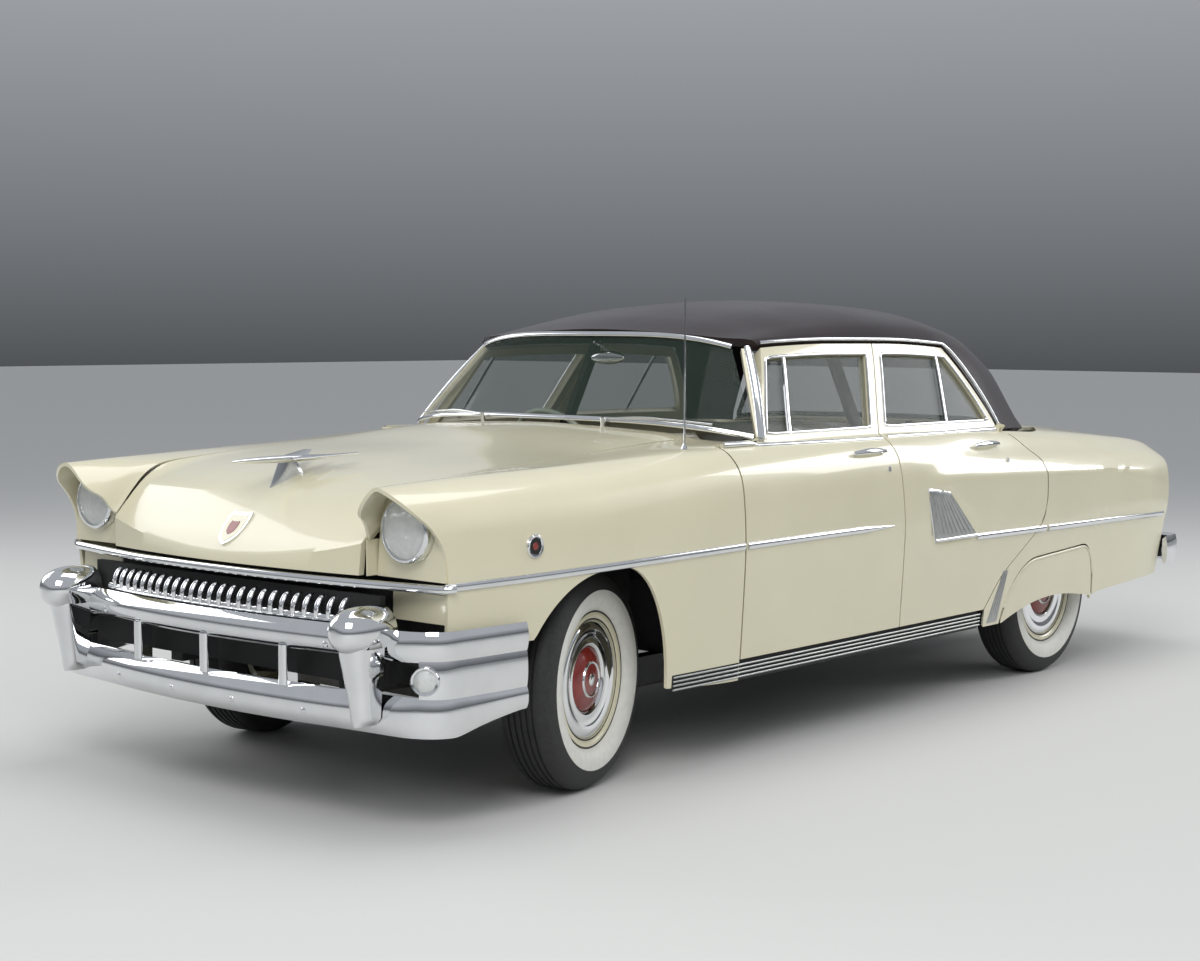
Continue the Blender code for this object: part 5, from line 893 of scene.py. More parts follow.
def wheel_matrix(side, front):
    if not front:
        centre = Vector((side * REAR_TRACK / 2, REAR_AXLE, HUB_HEIGHT))
        return Matrix.Translation(centre) @ Matrix.Diagonal((side, 1, 1, 1))
    pin = Vector((side * (FRONT_TRACK / 2 - KINGPIN_OFFSET), KINGPIN_Y, HUB_HEIGHT))
    turn = Matrix.Rotation(STEER_REST, 4, "Z")
    offset = Matrix.Translation(Vector((side * KINGPIN_OFFSET, 0, 0)))
    return Matrix.Translation(pin) @ turn @ offset @ Matrix.Diagonal((side, 1, 1, 1))

# Places along the car of the dash and of the wall behind the rear seat
DASH_Y = -1.000
SEAT_BACK_Y = 1.060
# Cowl and windshield posts
COWL_HALF = 0.795
POST_SIZE = 0.026
POST_FOOT_X = 0.848
POST_HEAD_X = 0.648
# Front bumper and grille
BAR_HALF = 0.700
BAR_NOSE = 2.530
BAR_BOW = 0.060
CORNER_Y = 2.410
END_X = 0.958
END_Y = 2.060
UPPER_BAR = (0.522, 0.612)
LOWER_BAR = (0.300, 0.420)
BAR_DEPTH = 0.075
END_DEPTH = 0.022
GUARD_X = 0.720
GUARD_NOSE = 2.620
GUARD_RADIUS = 0.072
GUARD_HEIGHT = 0.612
GUARD_FOOT = 0.330
DIVIDER_WIDTH = 0.036


def bumper_path(nose, bow, corner_y, end_y):
    """Plan line of a bumper from the left end round to the right, at ground level."""
    front = [(share, -nose + bow * share ** 2) for share in (-1, -0.75, -0.5, -0.25, 0, 0.25, 0.5, 0.75, 1)]
    path = [Vector((share * BAR_HALF, y, 0)) for share, y in front]
    reach = corner_y - end_y
    corner = [Vector((0.870 * END_X, -corner_y - 0.10 * reach, 0)),
            Vector((0.962 * END_X, -corner_y + 0.08 * reach, 0)),
              Vector((0.985 * END_X, -corner_y + 0.40 * reach, 0)), Vector((END_X, -end_y, 0))]
    right = [Vector((-point.x, point.y, 0)) for point in reversed(corner)]
    return right + path + corner


def bar_depth(share):
    """A bar's depth, thin where it wraps round the fenders."""
    away = abs(2 * share - 1)
    return lerp(BAR_DEPTH, END_DEPTH, min(1.0, max(0.0, (away - 0.4) / 0.25)))


TOOTH_COUNT = 25
TOOTH_SPAN = 0.560
TOOTH_LOW = 0.626
TOOTH_HIGH = 0.684
TEETH_NOSE = 2.490
CAVITY_Y = 2.330
# Tail
REAR_BAR = (0.400, 0.530)
REAR_NOSE = 2.600
REAR_BOW = 0.090
REAR_CORNER = 2.500
REAR_END = 2.310
REAR_GUARD_X = 0.560
TAIL_PANEL_Y = 2.400
TAIL_LAMP_X = 0.8270
TAIL_LAMP_LOW = 0.640
TAIL_LAMP_HIGH = 0.885
# Cabin
SEAT_HALF = 0.690
CUSHION_TOP = 0.600
REAR_CUSHION_TOP = 0.660
BACK_TOP = 0.945
BACK_THICKNESS = 0.150
FRONT_SEAT_Y = -0.260
REAR_SEAT_Y = 0.640
CUSHION_LENGTH = 0.480
DASH_DEPTH = 0.150
DASH_TOP = 1.060
WHEEL_X = 0.370
STEERING_RADIUS = 0.220
STEERING_HUB = (-0.440, 0.965)
COLUMN_RAKE = math.radians(62)

def build_fender(side):
    """Front fender with its chin."""
    name = "fender_" + hand(side)
    rear = -FRONT_DOOR_CUT - SEAM
    knots = [row[0] for row in FENDER_FRONT_SHARES]
    values = [row[1] * HALF_LENGTH for row in FENDER_FRONT_SHARES]
    tangents = slopes(knots, values)
    low_y = spread((FENDER_FRONT_SHARES[-1][1] * HALF_LENGTH, FRONT_AXLE - ARCH_REACH_FRONT,
                    FRONT_AXLE, FRONT_AXLE + ARCH_REACH_REAR, rear), (12, 36, 30, 8))
    columns = len(low_y) - 1

    def foot(y):
        inside = FRONT_AXLE - ARCH_REACH_FRONT < y < FRONT_AXLE + ARCH_REACH_REAR
        height = arch_height(y) if inside else SILL_BOTTOM
        if y <= FRONT_AXLE - ARCH_REACH_FRONT:
            height = 0.50 * BELT_HEIGHT
        return max(height, 0.50 * BELT_HEIGHT) if y < FRONT_AXLE else height

    def low(u):
        y = low_y[round(u * columns)]
        return Vector((y, side_s(y, foot(y))))

    def high(u):
        y = lerp(values[0], rear, u)
        return Vector((y, top_s(y, hood_seam(y) + SEAM)))

    def left(v):
        start, end = high(0), low(0)
        return Vector((smooth_value(knots, values, tangents, 1 - v), lerp(end.y, start.y, v)))

    def right(v):
        return Vector((rear, lerp(low(1).y, high(1).y, v)))

    flat = coons(low, high, left, right, columns, 40)
    grid = [[skin_point(place.x, place.y) for place in line] for line in flat]
    inner = thickened(grid, SKIN, Vector((0, FRONT_AXLE, HUB_HEIGHT)))
    wing = shell(grid, inner)
    front = -LAMP_Y + LAMP_RIM_DEPTH + FIT
    outline = [(HOOD_SEAM_FRONT + 2 * SEAM, LIP_TOP + SEAM)]
    start = top_s(front, hood_seam(front) + 2 * SEAM)
    end = side_s(front, LIP_TOP + SEAM)
    middle = Vector((LAMP_X, LAMP_Z))
    for k in range(57):
        place = skin_point(front, lerp(start, end, k / 56))
        flat = Vector((place.x, place.z))
        outline.append(tuple(flat + (middle - flat).normalized() * SKIN / 2))
    outline = [outline[0]] + [point for point in outline[1:]
            if point[1] > LIP_TOP + SEAM + FIT] + [(outline[-1][0], LIP_TOP + SEAM)]
    flat_plate = prism([(x, z) for x, z in outline], front, front + SKIN, 1)
    hole = rod((LAMP_X, front - OVERRUN, LAMP_Z), (LAMP_X, front + SKIN + OVERRUN, LAMP_Z),
            BUCKET_RADIUS + SEAM, 64)
    flat_plate = joined([flat_plate, hole], "DIFFERENCE")
    chin_top = LIP_HEIGHT - LIP_THICKNESS / 2 - SEAM
    chin = prism([(CHIN_INNER, CHIN_LOW), (CHIN_OUTER, CHIN_LOW), (CHIN_OUTER, chin_top),
            (CHIN_INNER, chin_top)],
                 -CHIN_Y, -CHIN_Y + SKIN, 1)
    finish(name, sided_mesh(joined([wing, flat_plate, chin]), side), "paint")


def build_door_pair(side):
    """Both doors of a side, with their panes."""
    h = hand(side)
    specs = (("front_", front_door_edges, (4, 4, 20, 4), FRONT_HINGE),
            ("rear_", rear_door_edges, (0, 4, 20, 16), REAR_HINGE))
    for end, edges, columns, hinge in specs:
        pivot = (side * hinge[0], hinge[1], hinge[2])
        grid, inner, keep, hole = door_mesh(edges, columns)
        inner = clear_rim(grid, inner, keep, hole, EDGE_LIP)
        finish("door_" + end + h, shell(sided(grid, side), sided(inner, side), keep), "paint", pivot)
        outside, inside = window_pane(grid, inner, columns)
        finish("glass_" + end + h, shell(sided(outside, side), sided(inside, side)), "glass", pivot)


def build_quarter(side):
    """Rear fender: a strip between the rear door and the wheel opening, then the broad side panel."""
    name = "quarter_" + hand(side)
    opening = (REAR_AXLE - SKIRT_FRONT, REAR_AXLE + SKIRT_REAR)
    end_low = tail_edge(SILL)
    low_y = opening_places() + spread((opening[1], end_low), (12,))[1:]
    heights = finer([SILL_BOTTOM] + door_rows(DOOR_BOTTOM)[:-1])
    columns = len(low_y) - 1 - QUARTER_STRIP
    rows = STRIP_ROWS + len(heights) - QUARTER_STRIP
    seam = spread((rear_door_back(BELT_HEIGHT) + 2 * SEAM, BACKLIGHT_SIDE_FOOT, DECK_FRONT, tail_edge(0)),
                  (12, 12, columns - 24))

    def foot(k):
        y = low_y[k]
        share = (y - opening[1]) / (end_low - opening[1])
        height = lerp(QUARTER_FOOT, TAIL_FOOT, share) if share > 0 else skirt_edge(y)
        return Vector((y, side_s(y, height + FIT)))

    def door_place(k):
        y = rear_door_back(heights[k]) + SEAM
        return Vector((y, side_s(y, min(heights[k], BODY.place(y, CREST).z - FIT))))

    def low(u):
        return foot(QUARTER_STRIP + round(u * columns))

    def high(u):
        y = seam[round(u * columns)]
        return Vector((y, deck_seam_s(y)))

    def left(v):
        j = round(v * rows)
        if j <= STRIP_ROWS:
            return foot(QUARTER_STRIP).lerp(door_place(QUARTER_STRIP), j / STRIP_ROWS)
        return high(0) if j == rows else door_place(QUARTER_STRIP + j - STRIP_ROWS)

    def right(v):
        share = 1 - v
        return Vector((lerp(high(1).x, low(1).x, share ** 2.6), lerp(low(1).y, high(1).y, v)))

    flat = [[foot(k).lerp(door_place(k), min(j, STRIP_ROWS) / STRIP_ROWS) for j in range(rows + 1)]
            for k in range(QUARTER_STRIP)]
    flat += coons(low, high, left, right, columns, rows)
    grid = [[bulged(BODY.place(place.x, max(place.y, 0))) for place in line] for line in flat]

    def keep(i, j):
        return i >= QUARTER_STRIP or j < STRIP_ROWS

    inner = thickened(grid, SKIN, Vector((0, REAR_AXLE, HUB_HEIGHT)))
    # A folded corner of the grid has no true normal, so its inner point goes straight in
    inner = [[near if near.x <= point.x else point - Vector((SKIN, 0, 0)) for point, near in zip(line, other)]
             for line, other in zip(grid, inner)]
    inner = clear_rim(grid, inner, keep, lambda i, j: False, 2 * SEAM)
    finish(name, shell(sided(grid, side), sided(inner, side), keep), "paint")


def build_skirt(side):
    """Panel that covers the upper part of the rear wheel opening."""
    name = "skirt_" + hand(side)
    front = REAR_AXLE - SKIRT_FRONT
    rear = REAR_AXLE + SKIRT_REAR
    grid = []
    for place in opening_places():
        share = (place - front) / (rear - front)
        y = lerp(front + 2 * SEAM, rear - 2 * SEAM, share)
        top = skirt_edge(place) - SEAM
        low = SKIRT_BOTTOM + SKIRT_LIFT * math.sin(math.pi * share) - SKIRT_LIFT * (1 - share) ** 3
        low = min(low, top - SEAM)
        grid.append([side_point(y, lerp(low, top, v)) for v in spread((0, 1), (12,))])
    inner = thickened(grid, SKIN, Vector((0, REAR_AXLE, HUB_HEIGHT)))
    finish(name, shell(sided(grid, side), sided(inner, side)), "paint")


def build_screens():
    """Windshield and rear window."""
    specs = (
        ("windshield", SCREEN_FOOT_WIDTH, -SCREEN_FOOT_CENTRE, -SCREEN_FOOT_SIDE, SCREEN_FOOT_HEIGHT,
         BELT_HEIGHT + BELT_CLEAR, SCREEN_HEAD_WIDTH, -SCREEN_HEAD_CENTRE, -SCREEN_HEAD_SIDE,
         SCREEN_HEAD_HEIGHT, SCREEN_HEAD_SIDE_HEIGHT, 4.0),
        ("rear_window", BACKLIGHT_FOOT_WIDTH - BELT_CLEAR, BACKLIGHT_FOOT, BACKLIGHT_SIDE_FOOT + SEAM,
         BACKLIGHT_FOOT_HEIGHT, BACKLIGHT_FOOT_HEIGHT + BELT_CLEAR, BACKLIGHT_HEAD_WIDTH,
         BACKLIGHT_TOP + 2 * SEAM, BACKLIGHT_SIDE_HEAD, BACKLIGHT_HEAD_HEIGHT - SEAM,
         BACKLIGHT_SIDE_HEAD_HEIGHT, 2.6),
    )
    for name, foot_w, foot_c, foot_s, foot_z, foot_sz, head_w, head_c, head_s, head_z, head_sz, power in specs:
        grid = []
        columns = 64
        for i in range(columns + 1):
            u = math.sin(math.pi / 2 * (2 * i / columns - 1))
            foot = screen_line(foot_w, foot_c, foot_s, foot_z, foot_sz, u, power)
            head = screen_line(head_w, head_c, head_s, head_z, head_sz, u, power)
            if name == "rear_window":
                foot.z = BODY.place(foot.y, top_s(foot.y, abs(foot.x)) if abs(foot.x) > FIT
                        else 0).z + 2 * FIT
            grid.append([foot.lerp(head, v) for v in spread((0, 1), (12,))])
        inner = thickened(grid, GLASS, Vector((0, 0, BELT_HEIGHT)))
        finish(name, shell(grid, inner), "glass")


def build_cowl():
    """The top panel between the hood and the windshield, with the windshield posts."""
    columns = 56
    grid = []
    edge = COWL_HALF
    for i in range(columns + 1):
        share = 2 * i / columns - 1
        x = abs(share) * edge
        line = []
        for v in spread((0, 1), (8,)):
            end = screen_line(SCREEN_FOOT_WIDTH, -SCREEN_FOOT_CENTRE, -SCREEN_FOOT_SIDE, 0, 0, share,
                    4.0).y - 2 * SEAM
            y = lerp(-HOOD_REAR + SEAM, end, v)
            point = skin_point(y, top_s(y, x) if x > 0 else 0)
            point.x = math.copysign(point.x, share)
            line.append(point)
        grid.append(line)
    inner = thickened(grid, LID_SKIN, Vector((0, -HOOD_REAR, 0)))
    parts = [shell(grid, inner)]
    for side in (1, -1):
        root = Vector((side * (COWL_HALF - OVERRUN / 2), -PILLAR_FOOT - 2.5 * POST_SIZE,
                BELT_HEIGHT - POST_SIZE / 6))
        foot = Vector((side * POST_FOOT_X, -PILLAR_FOOT - 0.85 * POST_SIZE, BELT_HEIGHT + POST_SIZE / 2))
        head = Vector((side * POST_HEAD_X, -PILLAR_HEAD - POST_SIZE,
                rail_height(-PILLAR_HEAD) - POST_SIZE / 3))
        parts.append(beam(root, foot, POST_SIZE / 2, POST_SIZE / 3))
        parts.append(beam(foot, head, 0.8 * POST_SIZE, 0.8 * POST_SIZE))
    finish("cowl", joined(parts), "paint")


# Shapes of the dressing
def scoop_share(y, z):
    """How far along the scoop's slanted face a place is: 0 at its front edge, 1 at its back."""
    height = min(1.0, max(0.0, (z - 0.670) / 0.190))
    front = lerp(0.252, 0.198, height)
    back = lerp(0.565, 0.350, height)
    return (y - front) / (back - front)


def bulged(point):
    """The rear fender's raised side, from the scoop on the door to the tail."""
    y, z = point.y, point.z
    share = scoop_share(y, z)
    if share <= 0:
        return point
    run = min(1.0, max(0.0, (y - 0.30) / 2.1))
    top = lerp(0.952, 0.895, run)
    rise = eased((top - z) / 0.040) * eased((z - 0.630) / 0.030) * eased((2.44 - y) / 0.35) * min(1.0, share)
    reach = min(0.9625, point.x + 0.022)
    x = lerp(point.x, max(point.x, reach), rise)
    covered = share < 0.97 and 0.680 < z < 0.860
    return Vector((x - 0.008 if covered else x, y, z))


def eased(t):
    """A share from 0 to 1 with a soft start and end."""
    t = min(1.0, max(0.0, t))
    return t * t * (3 - 2 * t)


def side_skin(y, z):
    """A point of the side of the body, with the raised rear fender."""
    return bulged(side_point(y, z))


def side_normal(y, z):
    """The direction in which the side of the body faces."""
    step = 0.004
    run = side_skin(y + step, z) - side_skin(y - step, z)
    rise = side_skin(y, z + step) - side_skin(y, z - step)
    return run.cross(rise).normalized()


def half_round(width, height, steps=8):
    """Section of a moulding: (across, out) points, its foot a little under the surface."""
    arc = [(-width / 2 * math.cos(math.pi * k / steps), height * math.sin(math.pi * k / steps))
            for k in range(steps + 1)]
    return [(-width / 2, -0.0015)] + arc + [(width / 2, -0.0015)]


def flat_band(width, height):
    """Section of a flat band with soft edges."""
    half = width / 2
    soft = min(0.25 * width, height)
    return [(-half, -0.0015), (-half, 0.5 * height), (-half + soft, height), (half - soft, height),
            (half, 0.5 * height),
            (half, -0.0015)]


def strip(path, outward, profile, scale=None, closed=False):
    """Carry a profile along a path that lies on a surface with these outward directions."""
    count = len(path)
    points = []
    for k in range(count):
        before = path[k - 1] if closed or k else path[0]
        after = path[(k + 1) % count] if closed or k < count - 1 else path[k]
        run = (after - before).normalized()
        out = (outward[k] - run * outward[k].dot(run)).normalized()
        across = out.cross(run)
        size = scale[k] if scale else 1.0
        points.extend(path[k] + across * a * size + out * b * (size if b > 0 else 1) for a, b in profile)
    size = len(profile)
    faces = []
    for k in range(count if closed else count - 1):
        for j in range(size):
            a, b = k * size, ((k + 1) % count) * size
            following = (j + 1) % size
            faces.append([a + following, a + j, b + j, b + following])
    if not closed:
        faces += [list(range(size)), list(range(len(points) - 1, len(points) - size - 1, -1))]
    return mesh_of(points, faces)


def side_path(places, side=1, steps=10):
    """A line through (y, z) places on the car's side, with the outward directions."""
    path, outward = [], []
    for (y, z), (next_y, next_z) in zip(places, places[1:]):
        for k in range(steps):
            path.append((lerp(y, next_y, k / steps), lerp(z, next_z, k / steps)))
    path.append(places[-1])
    points = [side_skin(*place) for place in path]
    outward = [side_normal(*place) for place in path]
    if side < 0:
        points = [Vector((-p.x, p.y, p.z)) for p in points]
        outward = [Vector((-p.x, p.y, p.z)) for p in outward]
    return points, outward


def curved(points, steps=6):
    """A smooth line through a few places."""
    result = []
    last = len(points) - 1
    for k in range(last):
        a, b, c, d = points[max(k - 1, 0)], points[k], points[k + 1], points[min(k + 2, last)]
        for step in range(steps):
            t = step / steps
            result.append(0.5 * (2 * b + (c - a) * t + (2 * a - 5 * b + 4 * c - d) * t * t
                    + (3 * b - a - 3 * c + d) * t ** 3))
    return result + [points[-1]]


def tube(path, radius, segments=10, closed=False):
    """A round bar along a line."""
    ring = [(radius * math.cos(math.tau * k / segments), radius * math.sin(math.tau * k / segments))
            for k in range(segments)]
    up = [Vector((0.03, 0.02, 1.0)).normalized()] * len(path)
    return strip(path, up, ring, None, closed)


def merged(meshes, name="merged"):
    """Several meshes as one, without cutting them."""
    work = bmesh.new()
    for mesh in meshes:
        work.from_mesh(mesh)
    result = bpy.data.meshes.new(name)
    work.to_mesh(result)
    work.free()
    return result


def ellipsoid(centre, radii, rings=24):
    """A closed ellipsoid."""
    work = bmesh.new()
    bmesh.ops.create_uvsphere(work, u_segments=2 * rings, v_segments=rings, radius=1.0)
    result = bpy.data.meshes.new("ellipsoid")
    work.to_mesh(result)
    work.free()
    result.transform(Matrix.Translation(centre) @ Matrix.Diagonal((*radii, 1)))
    return result


# Finishes
def material(name, colour, roughness, metallic=0.0, coat=0.0, scale=30.0, change=0.06, bump=0.0, alpha=1.0,
        shine=0.5):
    """A finish with slight mottling of its colour and roughness, and a fine relief."""
    item = bpy.data.materials.new(name)
    item.use_nodes = True
    nodes, links = item.node_tree.nodes, item.node_tree.links
    shader = nodes["Principled BSDF"]
    shader.inputs["Metallic"].default_value = metallic
    shader.inputs["Coat Weight"].default_value = coat
    shader.inputs["Coat Roughness"].default_value = 0.04
    shader.inputs["Alpha"].default_value = alpha
    shader.inputs["Specular IOR Level"].default_value = shine
    where = nodes.new("ShaderNodeTexCoord")
    noise = nodes.new("ShaderNodeTexNoise")
    noise.inputs["Scale"].default_value = scale
    noise.inputs["Detail"].default_value = 8.0
    links.new(where.outputs["Object"], noise.inputs["Vector"])
    tones = nodes.new("ShaderNodeValToRGB")
    for stop, amount in zip(tones.color_ramp.elements, (1 - change, 1 + change)):
        stop.color = (*[min(1.0, channel * amount) for channel in colour], 1.0)
    tones.color_ramp.elements[0].position = 0.35
    tones.color_ramp.elements[1].position = 0.65
    links.new(noise.outputs["Fac"], tones.inputs["Fac"])
    links.new(tones.outputs["Color"], shader.inputs["Base Color"])
    gloss = nodes.new("ShaderNodeMapRange")
    gloss.inputs["To Min"].default_value = 0.85 * roughness
    gloss.inputs["To Max"].default_value = 1.2 * roughness
    links.new(noise.outputs["Fac"], gloss.inputs["Value"])
    links.new(gloss.outputs["Result"], shader.inputs["Roughness"])
    if bump:
        fine = nodes.new("ShaderNodeTexNoise")
        fine.inputs["Scale"].default_value = 14 * scale
        links.new(where.outputs["Object"], fine.inputs["Vector"])
        relief = nodes.new("ShaderNodeBump")
        relief.inputs["Strength"].default_value = bump
        relief.inputs["Distance"].default_value = 0.001
        links.new(fine.outputs["Fac"], relief.inputs["Height"])
        links.new(relief.outputs["Normal"], shader.inputs["Normal"])
    return item


def cloth(name, colour, second, scale):
    """Woven seat cloth: crossed waves in two tones with relief."""
    item = material(name, colour, 0.85, scale=60.0, change=0.08)
    nodes, links = item.node_tree.nodes, item.node_tree.links
    shader = nodes["Principled BSDF"]
    where = nodes.new("ShaderNodeTexCoord")
    waves = []
    for direction in ("X", "Z"):
        wave = nodes.new("ShaderNodeTexWave")
        wave.bands_direction = direction
        wave.inputs["Scale"].default_value = scale
        wave.inputs["Distortion"].default_value = 0.6
        links.new(where.outputs["Object"], wave.inputs["Vector"])
        waves.append(wave)
    product = nodes.new("ShaderNodeMath")
    product.operation = "MULTIPLY"
    links.new(waves[0].outputs["Fac"], product.inputs[0])
    links.new(waves[1].outputs["Fac"], product.inputs[1])
    tones = nodes.new("ShaderNodeValToRGB")
    tones.color_ramp.elements[0].color = (*colour, 1.0)
    tones.color_ramp.elements[1].color = (*second, 1.0)
    links.new(product.outputs["Value"], tones.inputs["Fac"])
    links.new(tones.outputs["Color"], shader.inputs["Base Color"])
    relief = nodes.new("ShaderNodeBump")
    relief.inputs["Strength"].default_value = 0.4
    relief.inputs["Distance"].default_value = 0.001
    links.new(product.outputs["Value"], relief.inputs["Height"])
    links.new(relief.outputs["Normal"], shader.inputs["Normal"])
    return item


MATS = {
    "paint": material("ivory_enamel", (0.70, 0.655, 0.475), 0.24, coat=0.7, scale=3.0, change=0.02),
    "roof": material("black_enamel", (0.012, 0.004, 0.005), 0.28, coat=0.12, scale=3.0, change=0.10,
            shine=0.22),
    "chrome": material("chrome_plate", (0.78, 0.79, 0.80), 0.06, 1.0, scale=12.0, change=0.03),
    "satin": material("satin_silver", (0.42, 0.43, 0.42), 0.30, 0.9, scale=40.0, bump=0.10),
    "glass": material("window_glass", (0.05, 0.075, 0.06), 0.02, alpha=0.22, scale=6.0, change=0.05,
            shine=0.25),
    "screen": material("windshield_glass", (0.05, 0.085, 0.065), 0.02, alpha=0.24, scale=6.0, change=0.05,
            shine=0.25),
    "lens": material("lamp_lens", (0.82, 0.84, 0.82), 0.08, alpha=0.55, scale=50.0, bump=0.25),
    "rubber": material("tyre_rubber", (0.022, 0.022, 0.022), 0.62, scale=60.0, change=0.25, bump=0.35),
    "white": material("whitewall_rubber", (0.72, 0.71, 0.66), 0.55, scale=40.0, change=0.04, bump=0.15),
    "red": material("red_enamel", (0.22, 0.02, 0.015), 0.25, coat=0.5, scale=30.0, change=0.15),
    "red_lens": material("red_lens", (0.42, 0.015, 0.01), 0.10, coat=0.6, scale=70.0, change=0.2, bump=0.2),
    "black": material("chassis_black", (0.022, 0.022, 0.023), 0.55, scale=25.0, change=0.3, bump=0.3),
    # Near-black: painted shade behind the grille teeth, between the bumper bars and between the sill ribs; also the
    # medallion faces' own black.
    "dark": material("painted_shade_and_trim_black", (0.008, 0.008, 0.008), 0.70, scale=25.0, change=0.3, bump=0.2),
    "iron": material("cast_iron", (0.10, 0.095, 0.09), 0.60, 0.5, scale=35.0, change=0.3, bump=0.5),
    "ivory": material("ivory_plastic", (0.56, 0.62, 0.50), 0.28, coat=0.4, scale=20.0, change=0.05),
    "seat": cloth("seat_cloth", (0.27, 0.30, 0.24), (0.40, 0.42, 0.34), 90.0),
    "bolster": cloth("seat_bolster", (0.60, 0.57, 0.44), (0.68, 0.65, 0.52), 120.0),
    "liner": cloth("head_liner", (0.45, 0.44, 0.38), (0.52, 0.50, 0.44), 150.0),
}

BODIES = frame["record"]["behaviour"]["bodies"]
BODY_OF = {node: body for body, members in BODIES.items() for node in members}


def add(name, mesh, finish_name="chrome", body="car_body", stands_for=(), angle=35):
    """Show a mesh as one piece that rides on a body of the part."""
    mesh.materials.clear()
    mesh.materials.append(MATS[finish_name])
    mesh.shade_smooth()
    mesh.set_sharp_from_angle(angle=math.radians(angle))
    item = bpy.data.objects.new(name, mesh)
    bpy.context.scene.collection.objects.link(item)
    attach(item, body)
    if stands_for:
        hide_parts(*stands_for)
    return item


def finish(name, mesh, finish_name, pivot=None):
    """The fine skin that stands for one solid of the part."""
    return add(name + "_skin", mesh, finish_name, BODY_OF[name], [name])


def build_panels():
    """The outer panels, as fine copies of the solids."""
    finish("hood", shell(*hood_faces()), "paint")
    finish("trunk_lid", shell(*trunk_faces()), "paint")
    finish("rear_deck", shell(*deck_faces()), "paint")
    finish("roof", shell(*roof_faces()), "roof")
    build_cowl()
    build_screens()
    for side in (1, -1):
        build_fender(side)
        build_door_pair(side)
        build_quarter(side)
        build_skirt(side)


def hand(side):
    """The word for a side."""
    return "left" if side > 0 else "right"


